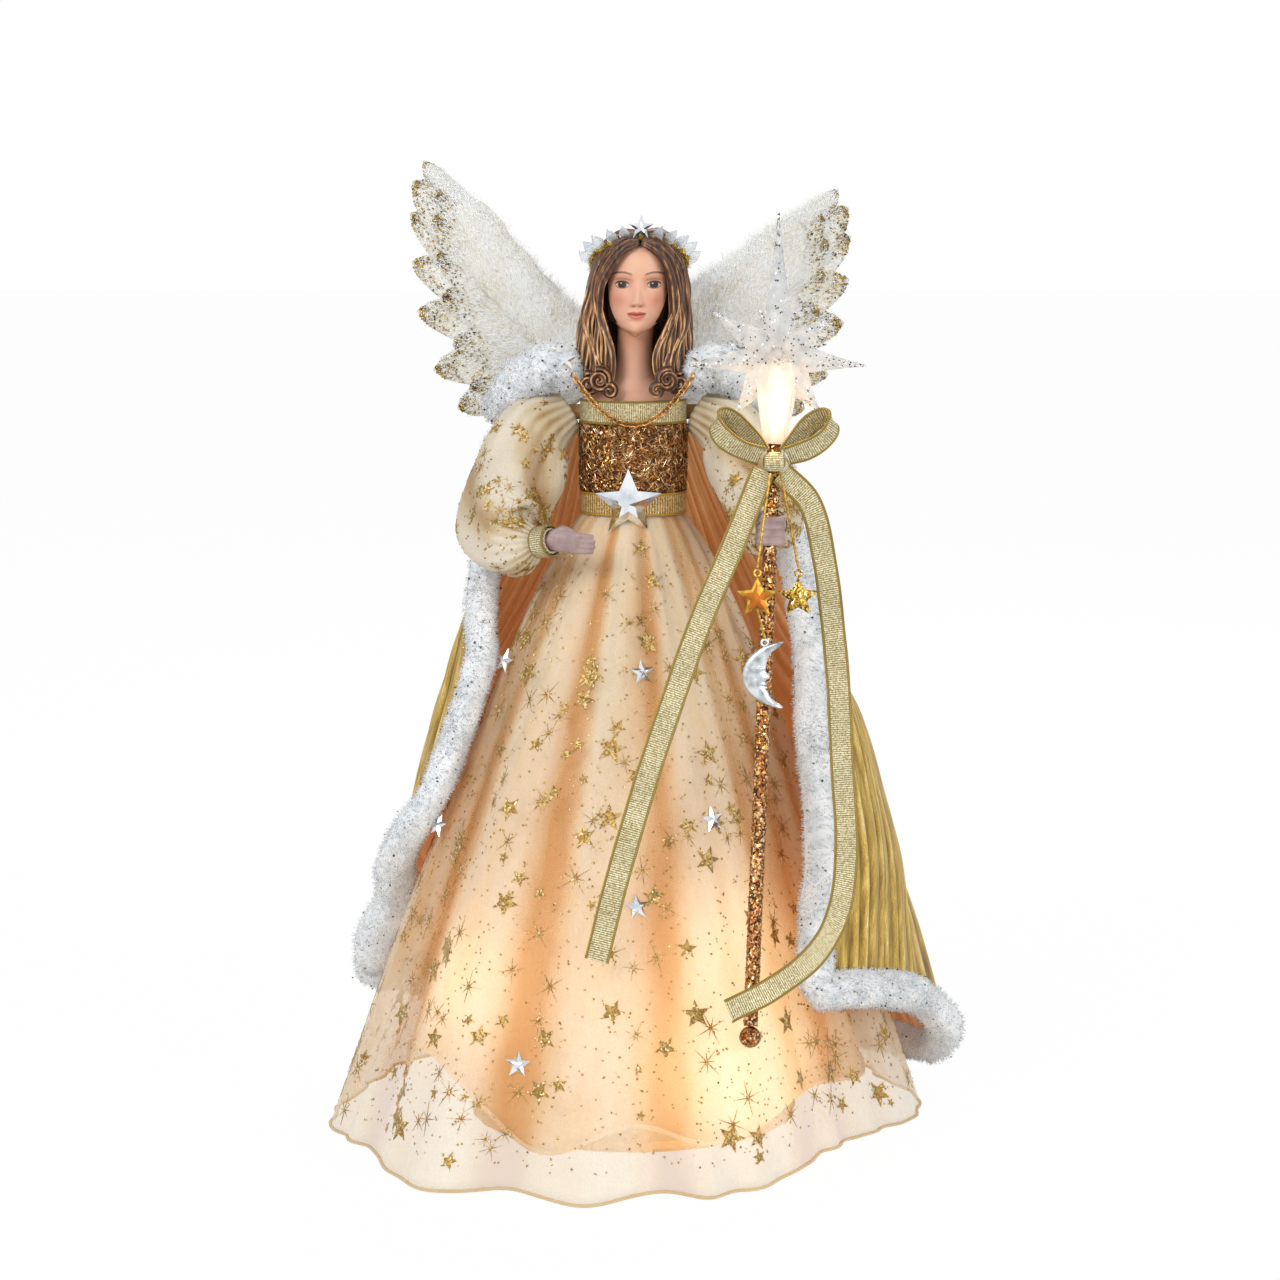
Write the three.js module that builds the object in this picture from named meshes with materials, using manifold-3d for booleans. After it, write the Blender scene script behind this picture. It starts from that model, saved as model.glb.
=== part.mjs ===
// Angel tree topper: a doll on an open cone, in layered skirts and a fur-edged cape, with feathered wings,
// a crown and a lit staff that carries a bow, charms and a clear starburst.
// Millimetres, +Z up, the front towards -Y, the origin on the table at the middle of the footprint.
// Turning angles are shares of a full turn from the front, growing towards the viewer's right.

import * as THREE from "three";
import { mergeVertices } from "three/addons/utils/BufferGeometryUtils.js";
import Module from "manifold-3d";

const wasm = await Module();
wasm.setup();

// Clearances and stock
const seat_gap = 0.3; // between pieces that touch
const cloth_thickness = 1;
const ribbon_thickness = 0.8;

// The cone and where the figure stands
const axis_x = -5; // the cone's axis, a little left of the footprint's middle
const cone_base_radius = 66;
const cone_top_radius = 15.5;
const cone_height = 231.7;
const cone_wall = 1.6;
const cone_foot_height = 3;
const cone_foot_width = 4;
const cone_sides = 28;

// The torso on the cone's top
const waist_rise = 26.9; // cone's top to the lower edge of the belt
const waist_height = cone_height + waist_rise;
const waist_half_width = 21.4; // outside of the gathered skirt top
const waist_depth_share = 0.78;
const waistband_height = 7.4;
const chest_half_width = 22.8;
const chest_depth_share = 0.8;
const bodice_rise = 38.4; // lower edge of the belt to the top edge of the bodice
const chest_height = waist_height + bodice_rise;
const shoulder_rise = 7; // top edge of the bodice to the top of the torso core
const shoulder_height = chest_height + shoulder_rise;
const shoulder_bar_radius = 3.2;
const shoulder_bar_half_length = 27;
const shoulder_bar_setback = 3;
const spigot_length = 14;
const spigot_taper = 1.6;
const torso_sides = 24;

// Skirts
const hem_radius = 140;
// overskirt hem radius every twelfth of a turn, starting at the back and passing the viewer's left
const hem_shares = [0.8, 0.81, 0.86, 0.92, 1.0, 1.035, 0.975, 0.87, 0.8, 0.86, 0.83, 0.8];
const bell_power_share = 0.82;
const overskirt_fold_count = 9;
const overskirt_fold_depth = 4.2;
const hem_point_reach = 12; // the one sharp fold that lies out over the table
const hem_point_turn_share = 0.0333;
const hem_point_width_share = 0.014;
const hem_lift = 2.4; // how far the hem waves up off the table
const pleat_count = 20;
const pleat_depth = 0.9;
const lining_share = 0.86; // lining hem radius against the overskirt's
const lining_fold_count = 7;
const lining_fold_depth = 4.5;
const lining_hem_height = 13;
const lining_hem_wave = 10;
const lining_hem_rise = 26; // where the lining's hem rides up at the viewer's left
const lining_rise_turn_share = -0.15;
const lining_rise_width_share = 0.045;
const overskirt_columns = 60;
const overskirt_rows = 6;
const lining_columns = 44;
const lining_rows = 5;

// Bodice, ribbons and belt star
const bodice_rows = 3;
const neckline_ribbon_width = 9.6;
const neckline_ribbon_turn_share = 0.215; // half of the arc that it covers
const belt_height = 9.6;
const belt_star_radius = 14.6;
const belt_star_thickness = 5;
const belt_star_rise = 5.8; // its centre above the belt's lower edge
const belt_star_lean_x = -2;
const belt_star_setoff = 4.4;
const belt_star_stud_radius = 3;

// Arms, sleeves and hands, each arm as a run of places measured from the shoulder joint
const arm_right_length = 84; // shoulder to wrist along the arm
const arm_left_length = 81;
const arm_radius = 3;
const sleeve_wall = 1;
const sleeve_sides = 16;
const sleeve_rows = 8;
const sleeve_pucker_count = 6;
const sleeve_pucker_share = 0.05;
const sleeve_shoulder_radius = 9;
const sleeve_puff_radius = 19.6;
const sleeve_end_radius = 5.4;
const sleeve_puff_shares = [0, 0.68, 1, 0.96, 0.66, 0]; // how far the puff has grown at each place
const cuff_width = 8;
const cuff_sides = 16;
const hand_length = 20.5;
const palm_half_width = 4.6;
const palm_half_thickness = 2.6;
const finger_radius = 1.45;
const finger_steps = 5;

// Head casting
const head_lean = 0.6; // the head leans a little to the viewer's right
const head_x = axis_x + head_lean;
const chin_rise = 23.6; // torso core's top to the chin
const chin_height = shoulder_height + chin_rise;
const face_height = 45;
const face_half_width = 12.8;
const face_depth = 17.5;
const skull_depth = 14;
const head_setback = -3.5;
const bust_half_width = 20.4;
const bust_half_depth = 14.6;
const neck_radius = 7.9;
const bust_sides = 16;
const nose_reach = 2.6;
const nose_radius = 2.1;
const hair_cap_half_width = 19.6;
const hair_cap_half_depth = 19.5;
const hair_cap_centre_height = chin_height + 0.542 * face_height;
const hair_cap_rise = 24; // from its middle to its top
const hair_cap_setback = 0.5;
const hair_power_share = 2.6;
const hair_opening_half_width = 12.4;
const hair_opening_half_height = 22.5;
const hair_opening_centre_height = chin_height + 0.409 * face_height;
const hair_tip_rise = 4.6; // torso core's top to the lowest curls
const hair_tip_height = shoulder_height + hair_tip_rise;
const back_hair_setback = 9;
const hair_sides = 18;
const lock_radius = 4.4;
const locks_per_side = 3;
const lock_wave = 1.3;
const lock_inner_reach = 14.6; // from the head's middle to the locks by the face and at their widest
const lock_outer_reach = 17.6;
const lock_curl_reach = 4.2; // how far the lowest curls turn back under
const lock_front_place = -11.5;
const lock_back_place = 9;
const lock_steps = 7;

// Crown
const wreath_radius = 2.1;
const wreath_height = hair_cap_centre_height + 0.585 * hair_cap_rise;
const wreath_front_rise = 7; // how far the front of the wreath rides above its sides
const leaf_length = 8.6;
const leaf_width = 4.4;
const leaf_thickness = 1.6;
const leaf_turn_shares = [-0.17, -0.085, 0.095, 0.165];
const crown_star_radius = 5;
const small_star_thickness = 1.8;

// Collar, clasps and neck chain
const collar_radius = 10.5;
const collar_length = 44;
const clasp_star_radius = 5.4;
const clasp_rise = 14.5; // torso core's top to the clasps
const clasp_height = shoulder_height + clasp_rise;
const clasp_half_span = 25;
const clasp_setback = -20.6;
const chain_drop = 21;
const chain_wire_radius = 0.42;
const chain_link_width = 2.9;
const chain_bite_share = 0.4; // how far the wires of neighbouring links press together, of a wire radius
const chain_links = 17;

// Wings
const wing_foot_drop = 1; // the wing's lowest feathers below the bodice's top edge
const wing_rise = 110; // from there to the tip of the higher wing
const wing_root_x = 8; // from the axis to the inner end of each wing
const wing_thickness = 2;
const wing_setback = 30;
const wing_sweep = 16; // how much further back the tips lie
const wing_feather_count = 9;
const wing_notch = 3.6;
const wing_right_reach = 96; // from the axis to the feather tips
const wing_left_reach = 93.5;
const wing_left_drop = 12.4; // how much lower the left tip lies
const wing_foot_height = chest_height - wing_foot_drop;
const wing_tip_height = wing_foot_height + wing_rise;
const down_radius = 5;
const bracket_half_width = 11;
const bracket_thickness = 2;
const bracket_foot_height = chest_height + bracket_thickness / 2;
const bracket_height = 30;
const bracket_post_radius = 2.2;

// Cape and its fur
const cape_columns = 30;
const cape_rows = 6;
const cape_fold_count = 11;
const cape_fold_depth = 2.6;
const cape_top_height = chest_height - 0.13 * bodice_rise;
const cape_back_depth = 23.5; // from the axis to the cape's top edge behind the back
const border_radius = 7.2;
const lobe_radius = 12.5;
const cape_clearance = 4.1; // between the cape's facets and the overskirt's folds
const hem_fur_radius = 8.6;
const fur_sides = 8;

// Staff, starburst and lamp
const staff_radius = 3;
const staff_bore_radius = 1.7;
const staff_ball_radius = 4.4;
const staff_foot_aside = 47; // from the cone's axis, aside and forwards
const staff_foot_forward = 107;
const staff_foot_height = 59.5;
const staff_head_aside = 58.4;
const staff_head_forward = 58;
const staff_head_rise = 69.9; // belt's lower edge to the centre of the starburst
const burst_spike_length = 57.5;
const burst_side_length = 36;
const burst_diagonal_length = 33;
const burst_small_length = 20;
const burst_spike_radius = 5.4;
const burst_stem_length = 35.5;
const burst_stem_radius = 5.4;
const burst_socket_wall = 1.3;
const burst_socket_depth = 20;
const staff_in_socket = 7;
const lamp_bulb_radius = 2.4;
const lamp_bulb_length = 10;

// Bow and tails
const bow_knot_half_width = 5;
const bow_knot_half_height = 4.6;
const bow_knot_half_depth = 3;
const bow_knot_rise = 28.9; // above the belt's lower edge
const bow_knot_height = waist_height + bow_knot_rise;
const bow_ribbon_width = 9;
const bow_loop_reach = 19;
const bow_loop_rise = 14.5;
const bow_loop_opening = 6;
const bow_loop_start_share = 0.8; // of the knot's half width
const bow_loop_mouth_share = 0.065; // how much of the loop's round is left open at the knot
const tail_ribbon_width = 9.6;
const tail_drop = 200; // how far the tails' routes are measured down from the knot

// Charms
const charm_star_radius = 8.6;
const charm_star_thickness = 3;
const moon_radius = 13.6; // half its height
const moon_half_width = 8.6;
const moon_thickness = 3.4;
const moon_crest_share = 0.87; // height of the outer curve above the moon's middle
const charm_cord_radius = 0.5;
const charm_ring_radius = 1.3;
const charm_front_drop = 48.8; // pivot to the middle of each charm
const charm_side_drop = 50.5;
const charm_moon_drop = 80;
const charm_front_setoff = 11.8; // from the staff's line forwards
const charm_side_setoff = -0.7;
const charm_moon_setoff = 6.9;
const charm_front_aside = -4.8; // from the staff's line to the viewer's right
const charm_side_aside = 12.2;
const charm_moon_aside = -0.45;
const charm_cord_spread = 1.6; // between the cord heads on the knot, from its middle
const charm_cord_side_share = 1.6; // of that, for the side star's cord

// Sewn stars and lamps
const jewel_radius = 5.2;
const jewel_thickness = 1.8;
// places of the sewn stars: share of a turn from the front, share of the way from waist to hem
const jewel_shares = [
  [-0.193, 0.237], [0.011, 0.235], [0.118, 0.17], [-0.19, 0.498],
  [0.071, 0.46], [0.003, 0.58], [-0.062, 0.815],
];
const lamp_husk_radius = 3.1;
const lamp_hole_clearance = 0.35;
const lamp_flange_radius = 4.4;
const lamp_flange_thickness = 1.2;
const lamp_husk_length = 5;
const lamp_glass_radius = 3.4;
const lamp_glass_length = 15;
// places of the lamps: share of a turn from the front, share of the way up the cone
const lamp_shares = [[0.052, 0.17], [0.11, 0.18], [-0.125, 0.3], [0.105, 0.36], [-0.42, 0.3]];

// Finishes
const finish = (color, roughness, metalness = 0) => (
  new THREE.MeshStandardMaterial({ color, roughness, metalness })
);
const white_card = finish(0xf2efe8, 0.8);
const painted_head = finish(0x5a3a24, 0.5);
const hand_skin = finish(0xa8918c, 0.5);
const silver = finish(0xcfd6de, 0.2, 0.9);
const gold_metal = finish(0xc9a04a, 0.3, 0.9);
const gold_ribbon = finish(0xb0a166, 0.5, 0.3);
const copper_glitter = finish(0xa35a22, 0.4, 0.4);
const organza = finish(0xe6c88f, 0.6);
const satin = finish(0xf3d9bd, 0.4);
const gold_cloth = finish(0xc08f2e, 0.45, 0.3);
const white_fur = finish(0xe9edf2, 0.9);
const feather = finish(0xefeee6, 0.9);
const clear_acrylic = finish(0xe8eef2, 0.1);
const amber_acrylic = finish(0x7a3f1c, 0.3);
const lamp_glass = finish(0xffd28a, 0.2);
const padding = finish(0xd8d2c4, 0.9);

const full_turn = 2 * Math.PI;
const at = (x, y, z) => new THREE.Vector3(x, y, z);
const mix = (a, b, share) => a + (b - a) * share;
const hump = (value, centre, width) => Math.exp(-(((value - centre) / width) ** 2));

// A smooth value between evenly spread knots that close on themselves.
function around(knots, turns) {
  const place = (((turns % 1) + 1) % 1) * knots.length;
  const i = Math.floor(place);
  const s = place - i;
  const [a, b, c, d] = [-1, 0, 1, 2].map((k) => knots[(i + k + knots.length) % knots.length]);
  return b + 0.5 * s * (c - a + s * (2 * a - 5 * b + 4 * c - d + s * (3 * (b - c) + d - a)));
}

// A smooth value at x through rows of [x, value, value...], with no overshoot; column picks the value.
function along(rows, column, x) {
  const last = rows.length - 1;
  let i = 0;
  while (i < last - 1 && x > rows[i + 1][0]) i++;
  const slope = (k) => (rows[k + 1][column] - rows[k][column]) / (rows[k + 1][0] - rows[k][0]);
  const lean = (k) => {
    if (k === 0 || k === last) return k === 0 ? slope(0) : slope(last - 1);
    const [p, q] = [slope(k - 1), slope(k)];
    return p * q <= 0 ? 0 : (2 * p * q) / (p + q);
  };
  const width = rows[i + 1][0] - rows[i][0];
  const s = Math.min(1, Math.max(0, (x - rows[i][0]) / width));
  const [p, q] = [rows[i][column], rows[i + 1][column]];
  const near = (1 + 2 * s) * (1 - s) ** 2 * p + s * (1 - s) ** 2 * width * lean(i);
  return near + s * s * (3 - 2 * s) * q + s * s * (s - 1) * width * lean(i + 1);
}

// Closed bodies from points and faces, turned to face outwards
function closedBody(points, faces) {
  let volume = 0;
  for (const [a, b, c] of faces) volume += points[a].dot(at(0, 0, 0).crossVectors(points[b], points[c]));
  const turned = volume < 0 ? faces.map(([a, b, c]) => [a, c, b]) : faces;
  const geometry = new THREE.BufferGeometry().setFromPoints(points);
  geometry.setIndex(turned.flat());
  return geometry;
}

// Rings of equal count joined side to side. A closed run of rings needs no ends, and a strip end closes a
// thin section. A thin shell is folded along its sides or its rings, which gives both skins the same creases.
function loft(rings, { closed = false, strip = false, folded = "" } = {}) {
  const n = rings[0].length;
  const points = rings.flat();
  const faces = [];
  const spans = closed ? rings.length : rings.length - 1;
  for (let i = 0; i < spans; i++) {
    const j = (i + 1) % rings.length;
    for (let k = 0; k < n; k++) {
      const m = (k + 1) % n;
      const back = folded === "sides" ? k >= n / 2 : folded === "rings" && i >= rings.length / 2;
      if (back) faces.push([i * n + k, j * n + k, i * n + m], [j * n + k, j * n + m, i * n + m]);
      else faces.push([i * n + k, j * n + k, j * n + m], [i * n + k, j * n + m, i * n + m]);
    }
  }
  if (closed) return closedBody(points, faces);
  for (const [ring, flip] of [[0, false], [rings.length - 1, true]]) {
    const add = (...corners) => faces.push((flip ? corners.reverse() : corners).map((k) => ring * n + k));
    if (strip) {
      for (let k = 0; k < n / 2 - 1; k++) {
        add(k, k + 1, n - 2 - k);
        add(k, n - 2 - k, n - 1 - k);
      }
    } else for (let k = 1; k < n - 1; k++) add(0, k, k + 1);
  }
  return closedBody(points, faces);
}

// Frames that slide along a run of points without twisting
function framesAlong(run, side = at(0, 0, 1)) {
  let across = side.clone();
  return run.map((point, i) => {
    const ahead = run[Math.min(i + 1, run.length - 1)].clone().sub(run[Math.max(i - 1, 0)]).normalize();
    across = across.sub(ahead.clone().multiplyScalar(across.dot(ahead))).normalize();
    return { point, across: across.clone(), beside: ahead.clone().cross(across) };
  });
}

// A round or oval rod along a run of points; radius may be one value or one for each point.
function rod(run, radius, { sides = 8, side, flat = 1 } = {}) {
  const reach = (i) => (Array.isArray(radius) ? radius[i] : radius);
  const ringAt = ({ point, across, beside }, i) => Array.from({ length: sides }, (_, k) => {
    const angle = (full_turn * k) / sides;
    return point.clone()
      .addScaledVector(across, Math.cos(angle) * reach(i) * flat)
      .addScaledVector(beside, Math.sin(angle) * reach(i));
  });
  return loft(framesAlong(run, side).map(ringAt));
}

// A flat ribbon along a run of points, its width laid along the direction given for each point.
function ribbon(run, width, thickness, across) {
  return loft(run.map((point, i) => {
    const ahead = run[Math.min(i + 1, run.length - 1)].clone().sub(run[Math.max(i - 1, 0)]).normalize();
    const wide = across(i).clone().addScaledVector(ahead, -across(i).dot(ahead)).normalize();
    const thick = ahead.cross(wide);
    return [[-1, -1], [1, -1], [1, 1], [-1, 1]].map(([w, t]) => point.clone()
      .addScaledVector(wide, (w * width) / 2)
      .addScaledVector(thick, (t * thickness) / 2));
  }), { folded: "sides" });
}

// Evenly spread points on a smooth curve through a few
const smooth = (points, count) => new THREE.CatmullRomCurve3(points).getPoints(count);

// Solids for joining and cutting
function solidOf(geometry) {
  const bare = new THREE.BufferGeometry().setAttribute("position", geometry.getAttribute("position").clone());
  if (geometry.index) bare.setIndex(geometry.index.clone());
  const merged = mergeVertices(bare, seat_gap / 1000);
  return new wasm.Manifold(new wasm.Mesh({
    numProp: 3,
    vertProperties: merged.attributes.position.array,
    triVerts: new Uint32Array(merged.index.array),
  }));
}

function geometryOf(solid) {
  const { numProp, vertProperties, triVerts } = solid.getMesh();
  const places = new Float32Array((vertProperties.length / numProp) * 3);
  for (let i = 0; i * numProp < vertProperties.length; i++) {
    for (let k = 0; k < 3; k++) places[i * 3 + k] = vertProperties[i * numProp + k];
  }
  const geometry = new THREE.BufferGeometry().setAttribute("position", new THREE.BufferAttribute(places, 3));
  return geometry.setIndex(new THREE.BufferAttribute(new Uint32Array(triVerts), 1));
}

// slivers that a join or cut leaves are smoothed away, by a tenth of the gap between pieces at most
const sliver_size = seat_gap / 10;
const fuse = (...geometries) => geometryOf(
  geometries.map(solidOf).reduce((a, b) => a.add(b)).simplify(sliver_size),
);
const cut = (geometry, ...tools) => geometryOf(
  tools.map(solidOf).reduce((a, b) => a.subtract(b), solidOf(geometry)).simplify(sliver_size),
);

// The figure's group and its nodes
const group = new THREE.Group();
function piece(name, geometry, material) {
  const mesh = new THREE.Mesh(geometry, material);
  mesh.name = name;
  group.add(mesh);
  return mesh;
}

// A point at a turn and radius about the cone's axis
const polar = (turns, radius, z) => at(
  axis_x + radius * Math.sin(full_turn * turns),
  -radius * Math.cos(full_turn * turns),
  z,
);
// Radius of an oval, half_width across and half_depth deep, at a turn from the front
function ovalRadius(half_width, half_depth, turns) {
  const [s, c] = [Math.sin(full_turn * turns), Math.cos(full_turn * turns)];
  return (half_width * half_depth) / Math.hypot(half_depth * s, half_width * c);
}
function ovalRing(half_width, half_depth, z, sides = torso_sides, centre_y = 0, centre_x = axis_x) {
  return Array.from({ length: sides }, (_, k) => at(
    centre_x + half_width * Math.sin((full_turn * k) / sides),
    centre_y - half_depth * Math.cos((full_turn * k) / sides),
    z,
  ));
}

// A faceted star with raised centre, flat behind, in the plane of x and z with its face towards -y
const star_points = 5;
const star_waist_share = 0.42;
function facetedStar(radius, thickness, waist_share = star_waist_share) {
  const rim = Array.from({ length: 2 * star_points }, (_, k) => {
    const reach = k % 2 ? radius * waist_share : radius;
    const angle = (full_turn * k) / (2 * star_points);
    return [reach * Math.sin(angle), reach * Math.cos(angle)];
  });
  const edge = thickness * 0.3;
  const points = [
    ...rim.map(([x, z]) => at(x, -edge, z)),
    ...rim.map(([x, z]) => at(x, 0, z)),
    at(0, -thickness, 0),
    at(0, 0, 0),
  ];
  const n = rim.length;
  const faces = [];
  for (let k = 0; k < n; k++) {
    const m = (k + 1) % n;
    faces.push([k, m, 2 * n], [n + m, n + k, 2 * n + 1], [k, n + k, n + m], [k, n + m, m]);
  }
  return closedBody(points, faces);
}

// Skirts: a bell of cloth from an oval waist to the hem, with pleats at the top and folds that grow downwards
const warped = (turns) => turns
  + 0.025 * Math.sin(full_turn * (2 * turns + 0.13))
  + 0.012 * Math.sin(full_turn * 3 * turns);
const overskirtPhase = (turns) => full_turn * (overskirt_fold_count * warped(turns) + 0.1);
const liningPhase = (turns) => full_turn * (lining_fold_count * warped(turns) + 0.15);
const lining_lag = 0.25 * full_turn; // the hem's wave runs this far ahead of the folds
function pleat(turns, drop) {
  const grow = Math.sin(Math.PI * Math.min(1, drop * 4));
  return pleat_depth * grow * Math.cos(full_turn * pleat_count * turns);
}
function overskirtPoint(turns, drop) {
  const waist = ovalRadius(waist_half_width, waist_half_width * waist_depth_share, turns);
  const hem = hem_radius * around(hem_shares, turns + 0.5);
  const fold = overskirt_fold_depth * drop * Math.cos(overskirtPhase(turns));
  const point = hem_point_reach * hump(turns, hem_point_turn_share, hem_point_width_share) * drop ** 5;
  const lift = hem_lift * (0.5 - 0.5 * Math.cos(overskirtPhase(turns))) * drop ** 4;
  const bell = Math.max(0, drop) ** bell_power_share;
  const radius = mix(waist, hem, bell) + fold + pleat(turns, drop) + point;
  return { radius, z: waist_height * (1 - drop) + lift };
}
function liningPoint(turns, drop) {
  const inset = cloth_thickness + seat_gap;
  const half_width = waist_half_width - inset;
  const waist = ovalRadius(half_width, waist_half_width * waist_depth_share - inset, turns);
  const hem = hem_radius * lining_share * around(hem_shares, turns + 0.5);
  const wave = lining_hem_wave * (0.5 + 0.5 * Math.sin(liningPhase(turns)));
  const rise = lining_hem_rise * hump(turns, lining_rise_turn_share, lining_rise_width_share);
  const z = mix(waist_height, lining_hem_height + wave + rise, drop);
  const down = Math.max(0, 1 - z / waist_height);
  const fold = lining_fold_depth * down ** 1.2 * Math.sin(liningPhase(turns) + lining_lag);
  return { radius: mix(waist, hem, down ** bell_power_share) + fold + pleat(turns, down), z };
}
// Both skirts share a straight waistband over the flared cloth. Their meridians close into one shell.
function skirt(pointAt, columns, rows) {
  const sections = Array.from({ length: columns }, (_, i) => {
    const turns = i / columns - 0.5;
    const outer = [];
    const inner = [];
    const add = (radius, z) => {
      outer.push(polar(turns, radius, z));
      inner.unshift(polar(turns, radius - cloth_thickness, z));
    };
    const top = pointAt(turns, 0);
    add(top.radius, waist_height + waistband_height);
    for (let j = 0; j <= rows; j++) {
      const { radius, z } = pointAt(turns, (j / rows) ** 1.25);
      add(radius, z);
    }
    return [...outer, ...inner];
  });
  return loft(sections, { closed: true, folded: "sides" });
}
// Largest radius of the overskirt's outside near a place, for pieces that lie on it
function skirtRadiusAt(turns, z) {
  const drop = Math.min(1, Math.max(0, 1 - z / waist_height));
  return overskirtPoint(turns, drop).radius;
}

function buildSkirts() {
  piece("underskirt", skirt(liningPoint, lining_columns, lining_rows), satin);
  piece("overskirt", skirt(overskirtPoint, overskirt_columns, overskirt_rows), organza);
}

// Sewn stars lie flat on the overskirt, set off far enough to clear its folds
function buildJewels() {
  const step_share = 0.004;
  jewel_shares.forEach(([turns, drop], i) => {
    const surface = (t, d) => {
      const { radius, z } = overskirtPoint(t, d);
      return polar(t, radius, z);
    };
    const centre = surface(turns, drop);
    const across = surface(turns + step_share, drop).sub(surface(turns - step_share, drop)).normalize();
    const down = surface(turns, drop + step_share).sub(surface(turns, drop - step_share)).normalize();
    const out = down.cross(across).normalize();
    const up = out.clone().cross(across).normalize();
    const turn_reach = jewel_radius / (full_turn * Math.hypot(centre.x - axis_x, centre.y));
    const drop_reach = jewel_radius / waist_height;
    let proud = 0;
    for (let k = 0; k < 16; k++) {
      const angle = (full_turn * k) / 16;
      const near = surface(turns + turn_reach * Math.cos(angle), drop + drop_reach * Math.sin(angle));
      proud = Math.max(proud, near.sub(centre).dot(out));
    }
    const mesh = piece("jewel_star_" + (i + 1), facetedStar(jewel_radius, jewel_thickness), silver);
    const turned = new THREE.Matrix4().makeBasis(across, out.clone().negate(), up);
    mesh.quaternion.setFromRotationMatrix(turned);
    mesh.position.copy(centre).addScaledVector(out, proud + seat_gap);
  });
}

// The cone: an open thin wall on a turned-out foot, with a hole for each lamp
const coneRadiusAt = (z) => mix(cone_base_radius, cone_top_radius, z / cone_height);
function lampFrame([turns, share]) {
  const z = cone_height * share;
  const slope = (cone_base_radius - cone_top_radius) / cone_height;
  const out = at(Math.sin(full_turn * turns), -Math.cos(full_turn * turns), slope).normalize();
  return { seat: polar(turns, coneRadiusAt(z), z), out };
}
const along_z = at(0, 0, 1);
function turnedTo(geometry, seat, out) {
  const turn = new THREE.Quaternion().setFromUnitVectors(along_z, out);
  return geometry.applyQuaternion(turn).translate(seat.x, seat.y, seat.z);
}
// A body of revolution about z from [radius, height] pairs, which start and end on the axis or form a ring
function turnedBody(profile, sides) {
  const lathe = new THREE.LatheGeometry(profile.map(([r, z]) => new THREE.Vector2(r, z)), sides);
  const solid = lathe.rotateX(Math.PI / 2);
  const bare = new THREE.BufferGeometry().setAttribute("position", solid.getAttribute("position"));
  return mergeVertices(bare.setIndex(solid.index), seat_gap / 1000);
}

function buildCone() {
  const wall = [
    [cone_base_radius - cone_wall, 0],
    [cone_base_radius + cone_foot_width, 0],
    [cone_base_radius + cone_foot_width, cone_foot_height / 2],
    [coneRadiusAt(cone_foot_height), cone_foot_height],
    [cone_top_radius, cone_height],
    [cone_top_radius - cone_wall, cone_height],
    [cone_base_radius - cone_wall, 0],
  ];
  const shell = turnedBody(wall, cone_sides).translate(axis_x, 0, 0);
  const holes = lamp_shares.map((place) => {
    const { seat, out } = lampFrame(place);
    const hole = new THREE.CylinderGeometry(
      lamp_husk_radius + lamp_hole_clearance,
      lamp_husk_radius + lamp_hole_clearance,
      4 * cone_wall + lamp_husk_length,
      10,
    ).rotateX(Math.PI / 2);
    return turnedTo(hole, seat, out);
  });
  piece("inner_cone", cut(shell, ...holes), white_card);

  lamp_shares.forEach((place, i) => {
    const { seat, out } = lampFrame(place);
    const neck = seat_gap + lamp_flange_thickness;
    const bulb = turnedBody([
      [0, -lamp_husk_length], [lamp_husk_radius, -lamp_husk_length],
      [lamp_husk_radius, seat_gap], [lamp_flange_radius, seat_gap],
      [lamp_flange_radius, neck], [lamp_glass_radius * 0.8, neck],
      [lamp_glass_radius, neck + lamp_glass_length * 0.4],
      [lamp_glass_radius * 0.8, neck + lamp_glass_length * 0.7],
      [0, neck + lamp_glass_length],
    ], 8);
    piece("lamp_" + (i + 1), turnedTo(bulb, seat, out), lamp_glass);
  });
}

// Half width and half depth of the bodice's outside, s of the way up it
function bodiceHalf(s) {
  const half = mix(waist_half_width + cloth_thickness, chest_half_width, Math.sqrt(s));
  return [half, half * mix(waist_depth_share, chest_depth_share, s)];
}

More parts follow.
